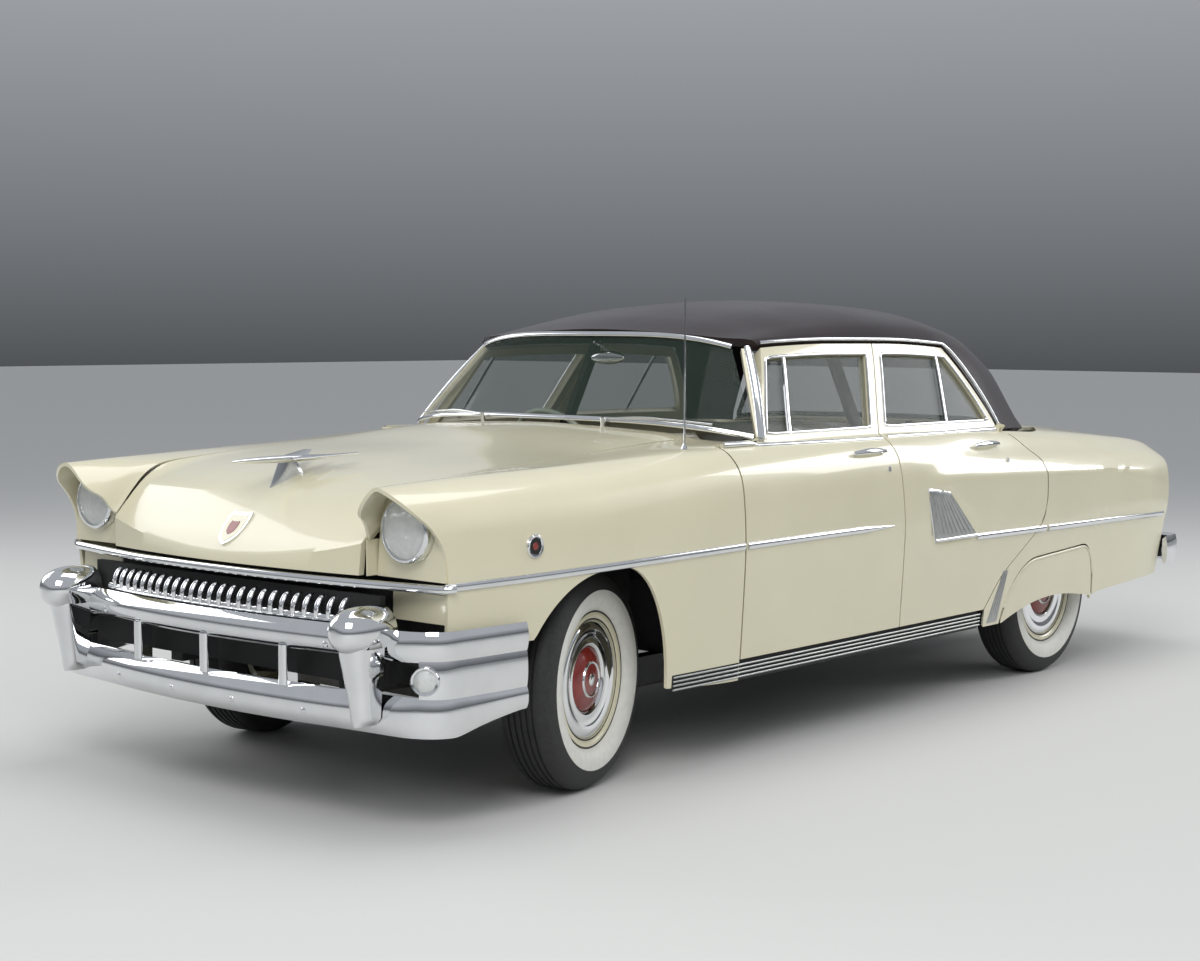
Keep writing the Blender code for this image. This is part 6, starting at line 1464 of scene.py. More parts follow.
def build_side_trim(side):
    """Mouldings, scoop, stone shield, sill band, handles and window bars of one side."""
    h = hand(side)
    long = half_round(0.026, 0.0075)
    for name, places, body in (
            ("spear_fender_", ((-2.360, 0.735), (-1.70, 0.741), (-0.983, 0.750)), "car_body"),
            ("spear_door_", ((-0.966, 0.750), (-0.50, 0.752), (-0.050, 0.752)), "door_front_" + h)):
        path, out = side_path(places, side, 24)
        count = len(path)
        tip = [min(1.0, 0.25 + (count - 1 - k) / 14) for k in range(count)] if "door" in name else None
        add(name + h, strip(path, out, long, tip), "chrome", body)
    # Rear fender moulding and the scoop on the rear door
    path, out = side_path(((0.560, 0.664), (0.90, 0.660), (1.125, 0.657)), side, 12)
    add("lower_moulding_door_" + h, strip(path, out, half_round(0.028, 0.0075)), "chrome", "door_rear_" + h)
    path, out = side_path(((1.150, 0.656), (1.8, 0.648), (2.290, 0.637)), side, 16)
    add("lower_moulding_quarter_" + h, strip(path, out, half_round(0.028, 0.0075)))
    corners = ((0.198, 0.872), (0.252, 0.672), (0.560, 0.672), (0.352, 0.852))
    grid = []
    for i in range(41):
        u = i / 40
        line = []
        for j in range(17):
            v = j / 16
            y = lerp(lerp(corners[0][0], corners[3][0], u), lerp(corners[1][0], corners[2][0], u), v)
            z = lerp(lerp(corners[0][1], corners[3][1], u), lerp(corners[1][1], corners[2][1], u), v)
            rib = 0.0035 * abs(math.sin(9 * math.pi * u)) if 0 < i < 40 and 0 < j < 16 else 0.0
            line.append(Vector((min(side_point(y, z).x + 0.022 * u, 0.9625) + 0.0025 + rib, y, z)))
        grid.append(line)
    inner = [[point - Vector((0.006, 0, 0)) for point in line] for line in grid]
    add("scoop_insert_" + h, shell(sided(grid, side), sided(inner, side)), "satin", "door_rear_" + h)
    path, out = side_path((corners[3], corners[0], corners[1], corners[2]), side, 14)
    add("scoop_frame_" + h, strip(path, out, half_round(0.016, 0.007)), "chrome", "door_rear_" + h)
    # Stone shield ahead of the skirt and the ribbed band along the sill
    grid = []
    for i in range(17):
        u = i / 16
        line = []
        for j in range(17):
            v = j / 16
            z = lerp(0.300, 0.505, v)
            y = lerp(lerp(0.690, 0.772, u), lerp(0.800, 0.838, u), v)
            point = side_skin(y, z)
            rib = 0.002 * abs(math.sin(4 * math.pi * u)) if 0 < i < 16 and 0 < j < 16 else 0.0
            line.append(Vector((point.x + 0.0012 + rib, y, z)))
        grid.append(line)
    inner = [[point - Vector((0.005, 0, 0)) for point in line] for line in grid]
    add("stone_shield_" + h, shell(sided(grid, side), sided(inner, side)), "satin", "car_body")
    for k, z in enumerate((0.300, 0.314, 0.328, 0.342)):
        x = side_point(0, z).x - 0.004
        places = spread((-1.330, -0.985, -0.960, 0.64), (10, 1, 24))
        path = [Vector((side * (side_point(y, z).x + 0.001 if y < -0.97 else x), y, z)) for y in places]
        out = [Vector((side, 0, 0))] * len(path)
        add("sill_rib_%d_%s" % (k + 1, h), strip(path, out, half_round(0.007, 0.0035)), "satin", "car_body")
    # Near-black band under the ribs ahead of the door: painted shade in the grooves between them.
    band = [[Vector((side_point(y, z).x + 0.0006, y, z)) for z in spread((0.300, 0.350), (6,))]
            for y in spread((-1.335, -0.982), (12,))]
    inner = [[point - Vector((0.004, 0, 0)) for point in line] for line in band]
    add("sill_band_" + h, shell(sided(band, side), sided(inner, side)), "dark", "car_body")
    # Skirt lip
    front, rear = REAR_AXLE - SKIRT_FRONT, REAR_AXLE + SKIRT_REAR
    places = [(y, skirt_edge(y) - 0.012) for y in spread((front + 0.03, rear - 0.012), (48,))]
    path, out = side_path(places, side, 1)
    add("skirt_lip_" + h, strip(path, out, half_round(0.012, 0.004)), "paint", "car_body")
    # Door handles with their lock buttons
    for name, start, end, z, body in (("front", -0.290, -0.075, 1.028, "door_front_" + h),
            ("rear", 0.620, 0.835, 1.018, "door_rear_" + h)):
        base = [side_skin(y, z) for y in spread((start, end), (12,))]
        out = [side_normal(y, z) for y in spread((start, end), (12,))]
        lift = [0.012 + 0.012 * math.sin(math.pi * k / 12) for k in range(13)]
        limit = 0.9635
        path = [point + o * l for point, o, l in zip(base, out, lift)]
        path = [Vector((side * min(p.x, limit), p.y, p.z)) for p in path]
        outs = [Vector((side * o.x, o.y, o.z)) for o in out]
        bar = strip(path, outs, [(0.011 * math.cos(math.tau * k / 12), 0.006 * math.sin(math.tau * k / 12))
                for k in range(12)],
                    [0.55 + 0.45 * math.sin(math.pi * (k + 0.5) / 13) for k in range(13)])
        feet = [rod(Vector((side * base[k].x, base[k].y, base[k].z)), path[k], 0.007, 16) for k in (1, 11)]
        add("handle_%s_%s" % (name, h), merged([bar] + feet), "chrome", body)
        spot = side_skin(end + 0.004, z - 0.062)
        normal = side_normal(end + 0.004, z - 0.062)
        tip = spot + normal * 0.005
        add("lock_%s_%s" % (name, h),
                rod((side * spot.x, spot.y, spot.z), (side * tip.x, tip.y, tip.z), 0.010, 24), "chrome", body)
    # Belt moulding, window frames, vent bar and division bar
    for name, start, end, body in (("front", -0.955, -0.020, "door_front_" + h),
            ("rear", 0.030, 0.905, "door_rear_" + h)):
        z = BELT_HEIGHT - 0.008
        path, out = side_path(((start, z), (end, z - 0.004)), side, 30)
        add("belt_moulding_%s_%s" % (name, h), strip(path, out, half_round(0.020, 0.007)), "chrome", body)
    for name, edges, body in (("front", front_door_edges, "door_front_" + h),
            ("rear", rear_door_edges, "door_rear_" + h)):
        ring = []
        low, high = lerp(WINDOW_SILL - GLASS_MARGIN, rail_height(0),
                GLASS_LOW_SHARE), lerp(WINDOW_SILL - GLASS_MARGIN, rail_height(0), GLASS_HIGH_SHARE)
        for share in spread((GLASS_LOW_SHARE, GLASS_HIGH_SHARE), (20,)):
            places = edges(lerp(WINDOW_SILL - GLASS_MARGIN, rail_height(0), share))
            ring.append((places[2] - 0.004, share))
        for t in spread((0, 1), (20,))[1:]:
            places = edges(high)
            ring.append((lerp(places[2], places[3], t), GLASS_HIGH_SHARE + 0.012))
        for share in spread((GLASS_HIGH_SHARE, GLASS_LOW_SHARE), (20,))[1:]:
            places = edges(lerp(WINDOW_SILL - GLASS_MARGIN, rail_height(0), share))
            ring.append((places[3] + 0.004, share))
        for t in spread((1, 0), (20,))[1:-1]:
            places = edges(low)
            ring.append((lerp(places[2], places[3], t), GLASS_LOW_SHARE - 0.012))
        places = [(y, lerp(WINDOW_SILL - GLASS_MARGIN, rail_height(y), share)) for y, share in ring]
        points = [side_skin(*place) for place in places]
        outs = [side_normal(*place) for place in places]
        points = [Vector((side * p.x, p.y, p.z)) for p in points]
        outs = [Vector((side * p.x, p.y, p.z)) for p in outs]
        add("window_frame_%s_%s" % (name, h), strip(points, outs, half_round(0.012, 0.005), None, True),
                "chrome", body)
        bar = ((-0.555, 1.112), (-0.440, rail_height(-0.44) - 0.035)) if name == "front" else ((0.520, 1.112),
                (0.610, rail_height(0.61) - 0.035))
        path, out = side_path(bar, side, 14)
        path = [p - o * 0.006 for p, o in zip(path, out)]
        add("window_bar_%s_%s" % (name, h), strip(path, out, flat_band(0.016, 0.008)), "chrome", body)
    # Drip rail and windshield post
    path, out = [], []
    for y in spread((-0.545, 0.70), (60,)):
        z = rail_height(y) + 0.017
        s = TOP.s_at(y, z, 2, DRIP - 1, BELT)
        point = TOP.place(y, s) + Vector((0.004, 0, 0.001))
        path.append(Vector((side * point.x, point.y, point.z)))
        out.append(Vector((side * 0.9, 0, 0.35)).normalized())
    corner = rear_door_back(rail_height(0)) + 2 * SEAM
    for share in spread((0.96, 0.02), (30,)):
        z = lerp(BELT_HEIGHT, rail_height(corner) + SEAM, share)
        y = rear_door_back(z) + 4 * SEAM
        point = TOP.place(y, TOP.s_at(y, z, 2, DRIP - 1, BELT)) + Vector((0.002, 0, 0.001))
        if y > 0.70:
            path.append(Vector((side * point.x, point.y, point.z)))
            out.append(Vector((side * 0.9, 0, 0.35)).normalized())
    add("drip_rail_" + h, strip(path, out, half_round(0.014, 0.008)))
    foot = Vector((side * 0.858, -0.752, 1.102))
    head = Vector((side * 0.656, -0.566, 1.418))
    path = [foot.lerp(head, t) for t in spread((0, 1), (16,))]
    bow = [Vector((side * 0.006 * math.sin(math.pi * t), 0, 0.010 * math.sin(math.pi * t)))
            for t in spread((0, 1), (16,))]
    path = [p + b for p, b in zip(path, bow)]
    add("screen_post_" + h, strip(path, [Vector((side * 0.75, -0.55, 0.25))] * len(path),
            half_round(0.036, 0.012)))
    # Medallion on the fender, left without a mark
    spot = side_point(-2.010, 0.833)
    turn = Matrix.Translation((side * spot.x, spot.y, spot.z)) @ Matrix.Diagonal((side, 1, 1, 1))
    add("medallion_ring_" + h,
            turned([(0.0, 0.002), (0.026, 0.002), (0.028, 0.006), (0.033, 0.007), (0.036, 0.004),
            (0.036, -0.004), (0.0, -0.004)], 64, turn))
    add("medallion_face_" + h,
            turned([(0.0, 0.004), (0.025, 0.0035), (0.026, 0.001), (0.0, 0.001)], 64,
            turn), "dark", "car_body")
    add("medallion_heart_" + h,
            turned([(0.0, 0.0065), (0.010, 0.0055), (0.012, 0.0035), (0.0, 0.0035)], 48,
            turn), "red", "car_body")


def build_wheel_looks():
    for side in (1, -1):
        h = hand(side)
        for end in ("front", "rear"):
            matrix = wheel_matrix(side, end == "front")
            name = end + "_" + h
            body = "wheel_" + name
            half = TYRE_WIDTH / 2
            bead = RIM_WIDTH / 2 - 2 * FIT
            outer = [(RIM_RADIUS, bead), (FLANGE_RADIUS, bead), (0.222, bead + 0.004), (0.240, 0.088),
                    (0.262, 0.0955), (0.275, 0.0972),
                     (0.300, 0.0945), (0.318, 0.0890), (0.332, 0.0835), (0.3425, 0.076), (0.3500, 0.066), (0.3545, 0.057)]
            tread = []
            for centre in (0.042, 0.021, 0.0):
                tread += [(TYRE_RADIUS - 0.0005, centre + 0.0045), (0.3505, centre + 0.0030)]
                if centre:
                    tread += [(0.3505, centre - 0.0030), (TYRE_RADIUS - 0.0005, centre - 0.0045)]
            line = outer + tread
            line = line + [(radius, -place) for radius, place in reversed(line)]
            add("tyre_rubber_" + name, turned(line, 128, matrix), "rubber", body, ["tyre_" + name],
                    50)
            wall = [(0.2235, bead + 0.0055), (0.240, 0.0890), (0.262, 0.0966), (0.275, 0.0975),
                    (0.291, 0.0965), (0.291, 0.090), (0.262, 0.090), (0.2235, 0.060)]
            add("whitewall_" + name, turned(wall, 128, matrix), "white", body, angle=50)
            rim = [(0.198, 0.050), (0.198, 0.0655), (0.204, 0.0715), (0.212, 0.0735), (0.2175, 0.0715),
                    (0.2180, 0.0672), (RIM_RADIUS - 0.0006, 0.0655),
                   (RIM_RADIUS - 0.0006, -0.0655), (0.2065, -0.0670), (0.2065, -0.0730), (0.180, -0.066), (0.168, 0.010), (0.0, DRUM_FACE + 0.0005), (0.0, 0.030), (0.150, 0.034)]
            add("rim_" + name, turned(rim, 96, matrix), "paint", body, ["wheel_" + name], 40)
            cap = [(0.104, 0.052), (0.112, 0.060), (0.120, 0.0615), (0.132, 0.058), (0.150, 0.0635),
                    (0.168, 0.0665), (0.184, 0.0650), (0.192, 0.0600), (0.1955, 0.0520), (0.190, 0.046), (0.104, 0.040)]
            add("wheel_cap_" + name, turned(cap, 96, matrix), "chrome", body, (), 60)
            dome = [(0.0, 0.0735), (0.030, 0.0725), (0.052, 0.0700), (0.058, 0.0690), (0.080, 0.0640),
                    (0.098, 0.0570), (0.103, 0.0520), (0.100, 0.045), (0.0, 0.045)]
            add("cap_dome_" + name, turned(dome, 96, matrix), "red", body, angle=60)
            ring = [(0.050, 0.0700), (0.053, 0.0735), (0.057, 0.0735), (0.060, 0.0680), (0.056, 0.064),
                    (0.051, 0.066)]
            add("cap_ring_" + name, turned(ring, 96, matrix), "chrome", body, angle=60)
            hub = [(0.0, 0.0748), (0.012, 0.0745), (0.020, 0.0730), (0.022, 0.0715), (0.0, 0.070)]
            add("cap_hub_" + name, turned(hub, 48, matrix), "chrome", body, angle=60)


def fine_bar(low, high, depth):
    """Section of a bumper bar, rolled over at its edges."""
    middle, half = (low + high) / 2, (high - low) / 2
    face = []
    for k in range(17):
        t = 2 * k / 16 - 1
        face.append((0.10 * depth - 0.42 * depth * abs(t) ** 2.4, middle + half * t))
    return [(-depth, low + 0.2 * half)] + face + [(-depth, high - 0.2 * half)]


def build_front_looks():
    path = curved(bumper_path(BAR_NOSE, BAR_BOW, CORNER_Y, END_Y), 6)

    def low_edge(share):
        away = abs(2 * share - 1)
        return LOWER_BAR[0] + 0.050 * eased((away - 0.80) / 0.2)

    upper = swept(path, lambda share: fine_bar(*UPPER_BAR, bar_depth(share)))
    lower = swept(path, lambda share: fine_bar(low_edge(share), LOWER_BAR[1], bar_depth(share)))
    meshes = [upper, lower]
    for side in (1, -1):
        ends = [point for point in path if point.x * side > 0.90 * END_X]
        meshes.append(swept(ends, [(out - 0.002, up) for out,
                up in fine_bar(LOWER_BAR[1] - 0.012, UPPER_BAR[0] + 0.012, 0.7 * END_DEPTH)]))
        nose = Vector((side * GUARD_X, -GUARD_NOSE, GUARD_HEIGHT))
        back = GUARD_NOSE - BAR_NOSE + BAR_DEPTH
        place = Matrix.Translation(nose) @ Matrix.Rotation(math.pi / 2, 4, "Z")
        shape = [(GUARD_RADIUS * math.sin(math.pi / 2 * k / 20) ** 0.75,
                back * 0.62 * (1 - math.cos(math.pi / 2 * k / 20))) for k in range(21)]
        shape += [(GUARD_RADIUS, 0.8 * back), (0.95 * GUARD_RADIUS, back + OVERRUN), (0.0, back + OVERRUN)]
        meshes.append(turned(shape, 64, place))
        rows = []
        for k in range(25):
            t = k / 24
            z = lerp(GUARD_HEIGHT - 0.02, GUARD_FOOT + 0.002, t)
            y = -lerp(GUARD_NOSE - 0.035, BAR_NOSE + 0.012, eased(t * 0.9) ** 0.8)
            half = lerp(0.052, 0.034, eased(t)) * (1 - 0.5 * max(0.0, t - 0.92) / 0.08)
            ring = []
            for j in range(17):
                angle = math.pi * j / 16
                ring.append(Vector((side * GUARD_X + half * math.cos(angle),
                        y + 0.040 * (1 - math.sin(angle) ** 0.8), z)))
            ring += [Vector((side * GUARD_X - half, -BAR_NOSE + 0.06, z)),
                    Vector((side * GUARD_X + half, -BAR_NOSE + 0.06, z))]
            rows.append(ring)
        points = [p for ring in rows for p in ring]
        size = len(rows[0])
        faces = [list(range(size)), list(range(len(points) - 1, len(points) - size - 1, -1))]
        for k in range(24):
            for j in range(size):
                following = (j + 1) % size
                faces.append([k * size + following, k * size + j, (k + 1) * size + j,
                        (k + 1) * size + following])
        meshes.append(mesh_of(points, faces))
    for share in (-0.5, 0.0, 0.5):
        x = share * GUARD_X
        y = -BAR_NOSE + BAR_BOW * (x / BAR_HALF) ** 2
        line = [Vector((x, y + 0.012, z)) for z in spread((LOWER_BAR[1] - 0.01, UPPER_BAR[0] + 0.01), (8,))]
        meshes.append(strip(line, [AHEAD] * len(line),
                half_round(DIVIDER_WIDTH, 0.014, 12) + [(0.5 * DIVIDER_WIDTH, -0.04),
                (-0.5 * DIVIDER_WIDTH, -0.04)]))
    add("front_bumper_plating", merged(meshes), "chrome", "car_body", ["bumper_front"], 40)
    bolts = []
    for x, z, radius in ((0.458, 0.345, 0.011), (0.545, 0.553, 0.011), (0.150, 0.345, 0.010)):
        for side in (1, -1):
            y = -BAR_NOSE + BAR_BOW * (x / BAR_HALF) ** 2
            place = Matrix.Translation((side * x, y - 0.002, z)) @ Matrix.Rotation(math.pi / 2, 4, "Z")
            bolts.append(turned([(0.0, -0.010), (0.5 * radius, -0.0085), (radius, -0.004), (radius, 0.006),
                    (0.0, 0.006)], 32, place))
    add("bumper_bolts", merged(bolts), angle=50)
    lamps, rims = [], []
    for side in (1, -1):
        spot = min(path, key=lambda point: abs(side * point.x - 0.880)) + Vector((0, 0, 0.470))
        aim = Matrix.Rotation(side * math.radians(38), 4, "Z") @ Matrix.Rotation(-math.pi / 2, 4, "Z")
        place = Matrix.Translation(spot) @ aim
        lamps.append(turned([(0.0, 0.012), (0.022, 0.009), (0.034, 0.0), (0.034, -0.03), (0.0, -0.03)], 48,
                place))
        rims.append(turned([(0.034, 0.004), (0.040, 0.006), (0.044, 0.0), (0.044, -0.03), (0.034, -0.03)], 48,
                place))
    add("parking_lamps", merged(lamps), "lens", "car_body", angle=50)
    add("parking_lamp_rims", merged(rims), angle=50)
    # Grille: lip, near-black blocks as painted shade of the cavity and of the gap between the bumper bars, bed and
    # curved teeth
    lip = curved([Vector((share * 0.888, -HOOD_NOSE + HOOD_SIDE_SETBACK * (1.3 * share) ** 2, LIP_HEIGHT))
            for share in spread((-1, 1), (12,))], 6)
    ends = [Vector((0.912, -2.352, LIP_HEIGHT + 0.002)), Vector((0.922, -2.330, LIP_HEIGHT + 0.003))]
    lip = [Vector((-p.x, p.y, p.z)) for p in reversed(ends)] + lip + ends
    lip_mesh = strip(lip, [Vector((0, -1, 0.15)).normalized()] * len(lip),
            half_round(0.027, 0.011, 12) + [(0.0135, -0.028), (-0.0135, -0.028)])
    add("grille_lip", lip_mesh, "chrome", "car_body", ["grille"], 45)
    bed = curved([Vector((share * 0.60, -TEETH_NOSE + BAR_BOW * share ** 2 * 0.8, TOOTH_LOW - 0.004))
            for share in spread((-1, 1), (8,))], 8)
    add("grille_bed", strip(bed, [AHEAD] * len(bed),
            [(-0.010, -0.045), (-0.010, 0.0), (-0.004, 0.005), (0.004, 0.005), (0.010, 0.0),
            (0.010, -0.045)]), angle=45)
    # Near-black blocks behind the teeth and between the bumper bars: painted shade of the cavity.
    add("grille_back", merged([block((-0.655, -CAVITY_Y - SKIN, 0.50), (0.655, -CAVITY_Y, 0.735)),
            block((-0.70, -2.42, 0.43), (0.70, -2.40, 0.70))]), "dark", "car_body")
    teeth = []
    for k in range(TOOTH_COUNT):
        share = 2 * k / (TOOTH_COUNT - 1) - 1
        x = share * TOOTH_SPAN
        y = -TEETH_NOSE + BAR_BOW * share ** 2 * 0.8
        line = curved([Vector((x, y - 0.002, TOOTH_LOW - 0.006)), Vector((x, y - 0.005, TOOTH_LOW + 0.014)),
                Vector((x, y + 0.001, TOOTH_LOW + 0.034)), Vector((x, y + 0.014,
                TOOTH_LOW + 0.050)), Vector((x, y + 0.030, TOOTH_HIGH - 0.004))], 5)
        out = [Vector((0, -1, 0.3)).normalized()] * len(line)
        width = [0.85 + 0.15 * math.sin(math.pi * j / (len(line) - 1)) for j in range(len(line))]
        teeth.append(strip(line, out, half_round(0.019, 0.010, 12) + [(0.0085, -0.016), (-0.0085, -0.016)],
                width))
    add("grille_teeth", merged(teeth), angle=50)
    returns = [block((min(side * 0.6165, side * 0.6205), -2.398, 0.752),
            (max(side * 0.6165, side * 0.6205), -2.345, 0.860)) for side in (1, -1)]
    add("nose_returns", merged(returns), "paint", "car_body")
    # Headlamps with hooded rims
    for side in (1, -1):
        h = hand(side)
        place = Matrix.Translation((side * LAMP_X, -LAMP_Y, LAMP_Z)) @ Matrix.Rotation(-math.pi / 2, 4, "Z")
        lens = [(LENS_RADIUS * math.sin(math.pi / 2 * k / 16),
                0.002 + (LENS_CROWN - 0.003) * math.cos(math.pi / 2 * k / 16)) for k in range(17)]
        add("lamp_lens_" + h, turned(lens + [(LENS_RADIUS, -0.006), (0.0, -0.006)], 72, place), "lens",
                "car_body", ["headlamp_" + h], 50)
        bowl = [(0.0, -0.075), (0.03, -0.070), (0.06, -0.050), (0.078, -0.022), (0.084, -0.008),
                (0.080, -0.008), (0.060, -0.060), (0.0, -0.085)]
        add("lamp_bowl_" + h, turned(bowl, 64, place), angle=50)
        add("lamp_bulb_" + h, ellipsoid(Vector((side * LAMP_X, -LAMP_Y + 0.045, LAMP_Z)),
                (0.011, 0.018, 0.011), 12), "lens", "car_body")
        rim = [(0.0845, 0.004), (0.088, 0.012), (0.094, 0.0115), (0.0995, 0.004), (0.0998, -0.012),
                (0.0998, -0.020), (0.0845, -0.020)]
        add("lamp_rim_" + h, turned(rim, 72, place), "chrome", "car_body", (), 60)


def build_hood_looks():
    """Ornament with swept wings, and a blank shield."""
    def top(x, y):
        return BODY.place(y, top_s(y, abs(x)) if abs(x) > 0.001 else 0)

    keel = []
    for y, width in zip(spread((-2.25, -2.11), (12,)), spread((0, math.pi), (12,))):
        keel.append((y, 0.002 + 0.007 * math.sin(width)))
    foot = [Vector((half * side, y, top(0, y).z - 0.002)) for y, half in keel for side in (1, -1)]
    head = [Vector((0.6 * half * side, 0.5 * (y - 2.17), 1.058)) for y, half in keel for side in (1, -1)]
    count = len(foot)
    loop = list(range(0, count, 2)) + list(range(count - 1, 0, -2))
    faces = [loop, [count + k for k in reversed(loop)]]
    faces += [[b, a, a + count, b + count] for a, b in zip(loop, loop[1:] + loop[:1])]
    parts = [mesh_of(foot + head, faces), ellipsoid(Vector((0, -2.19, 1.062)), (0.017, 0.215, 0.012), 32)]
    for side in (1, -1):
        line = [Vector((side * lerp(0.005, 0.125, t), lerp(-2.16, -1.98, t), lerp(1.062, 1.078, t)))
                for t in spread((0, 1), (16,))]
        width = [lerp(1.0, 0.3, t) for t in spread((0, 1), (16,))]
        section = [(0.050 * math.cos(math.tau * k / 20), 0.005 * math.sin(math.tau * k / 20))
                for k in range(20)]
        parts.append(strip(line, [UPWARD] * 17, section, width))
    add("hood_ornament", merged(parts), "chrome", "hood", angle=50)
    outline = [(0.0, 0.058), (0.020, 0.056), (0.040, 0.062), (0.046, 0.040), (0.046, 0.006), (0.038, -0.024),
            (0.020, -0.046), (0.0, -0.058)]
    outline = outline + [(-x, z) for x, z in reversed(outline[1:-1])]
    centre = top(0, -2.400)
    ahead = (top(0, -2.39) - top(0, -2.42)).normalized()
    normal = Vector((0, -ahead.z, ahead.y)) if ahead.y > 0 else Vector((0, ahead.z, -ahead.y))
    up = ahead if ahead.z > 0 else -ahead
    badge = (("badge_rim", 1.5, -0.008, 0.004, "chrome"), ("badge_field", 1.22, 0.002, 0.0055, "paint"),
            ("badge_heart", 0.6, 0.004, 0.007, "red"))
    for name, scale, low, high, finish_name in badge:
        points = []
        for level in (low, high):
            points += [centre + Vector((1, 0, 0)) * x * scale * 0.75 + up * z * scale * 0.75 + normal * level
                    for x, z in outline]
        count = len(outline)
        faces = [list(range(count)), list(range(2 * count - 1, count - 1, -1))]
        faces += [[(k + 1) % count, k, k + count, (k + 1) % count + count] for k in range(count)]
        add("hood_" + name, mesh_of(points, faces), finish_name, "hood")


def build_glass_trim():
    """Bright frames of the windshield and the rear window, wipers and mirror."""
    foot = [screen_line(SCREEN_FOOT_WIDTH, -SCREEN_FOOT_CENTRE, -SCREEN_FOOT_SIDE, SCREEN_FOOT_HEIGHT,
            BELT_HEIGHT + BELT_CLEAR, u, 4.0) for u in spread((-1, 1), (64,))]
    head = [screen_line(SCREEN_HEAD_WIDTH, -SCREEN_HEAD_CENTRE, -SCREEN_HEAD_SIDE, SCREEN_HEAD_HEIGHT,
            SCREEN_HEAD_SIDE_HEIGHT, u, 4.0) for u in spread((-1, 1), (64,))]
    out = [Vector((u * 0.3, -0.7, 0.6)).normalized() for u in spread((-1, 1), (64,))]
    add("windshield_foot_frame",
            strip([p + Vector((0, -0.002, 0.002)) for p in foot], out, half_round(0.022, 0.007)))
    add("windshield_head_frame",
            strip([p + Vector((0, -0.002, 0.004)) for p in head], out, half_round(0.022, 0.007)))
    ring = []
    count = 64
    for u in spread((-1, 1), (count,)):
        p = screen_line(BACKLIGHT_FOOT_WIDTH - BELT_CLEAR, BACKLIGHT_FOOT, BACKLIGHT_SIDE_FOOT + SEAM,
                BACKLIGHT_FOOT_HEIGHT, BACKLIGHT_FOOT_HEIGHT + BELT_CLEAR, u, 2.6)
        p.z = BODY.place(p.y, top_s(p.y, abs(p.x)) if abs(p.x) > FIT else 0).z + 0.006
        ring.append(p)
    head = [screen_line(BACKLIGHT_HEAD_WIDTH, BACKLIGHT_TOP + 2 * SEAM, BACKLIGHT_SIDE_HEAD,
            BACKLIGHT_HEAD_HEIGHT - SEAM, BACKLIGHT_SIDE_HEAD_HEIGHT, u, 2.6) for u in spread((1, -1),
            (count,))]
    path = ring + [ring[-1].lerp(head[0], t)
            for t in spread((0, 1), (20,))[1:-1]] + head + [head[-1].lerp(ring[0], t)
            for t in spread((0, 1), (20,))[1:-1]]
    outs = [(p - Vector((0, 0.9, 1.0))).normalized() for p in path]
    add("rear_window_frame", strip([p + o * 0.002 for p, o in zip(path, outs)], outs,
            half_round(0.026, 0.008), None, True))
    wipers = []
    for side in (1, -1):
        pivot = Vector((side * 0.300, -0.955, 1.150))
        blade = curved([Vector((side * 0.38, -0.945, 1.168)), Vector((side * 0.55, -0.915, 1.166)),
                Vector((side * 0.72, -0.855, 1.152))], 8)
        wipers += [rod(pivot - Vector((0, 0, 0.02)), pivot + Vector((0, -0.004, 0.018)), 0.009, 16),
                tube(curved([pivot + Vector((0, 0, 0.012)), blade[4] + Vector((0, -0.006, 0.004)), blade[8]],
                6), 0.003), tube(blade, 0.0035)]
    add("wipers", merged(wipers), angle=50)
    stalk = tube([Vector((0, -0.66, 1.435)), Vector((0, -0.60, 1.415)), Vector((0, -0.585, 1.395))], 0.005)
    add("mirror_back", merged([stalk, ellipsoid(Vector((0, -0.580, 1.375)), (0.085, 0.010, 0.026), 20)]))


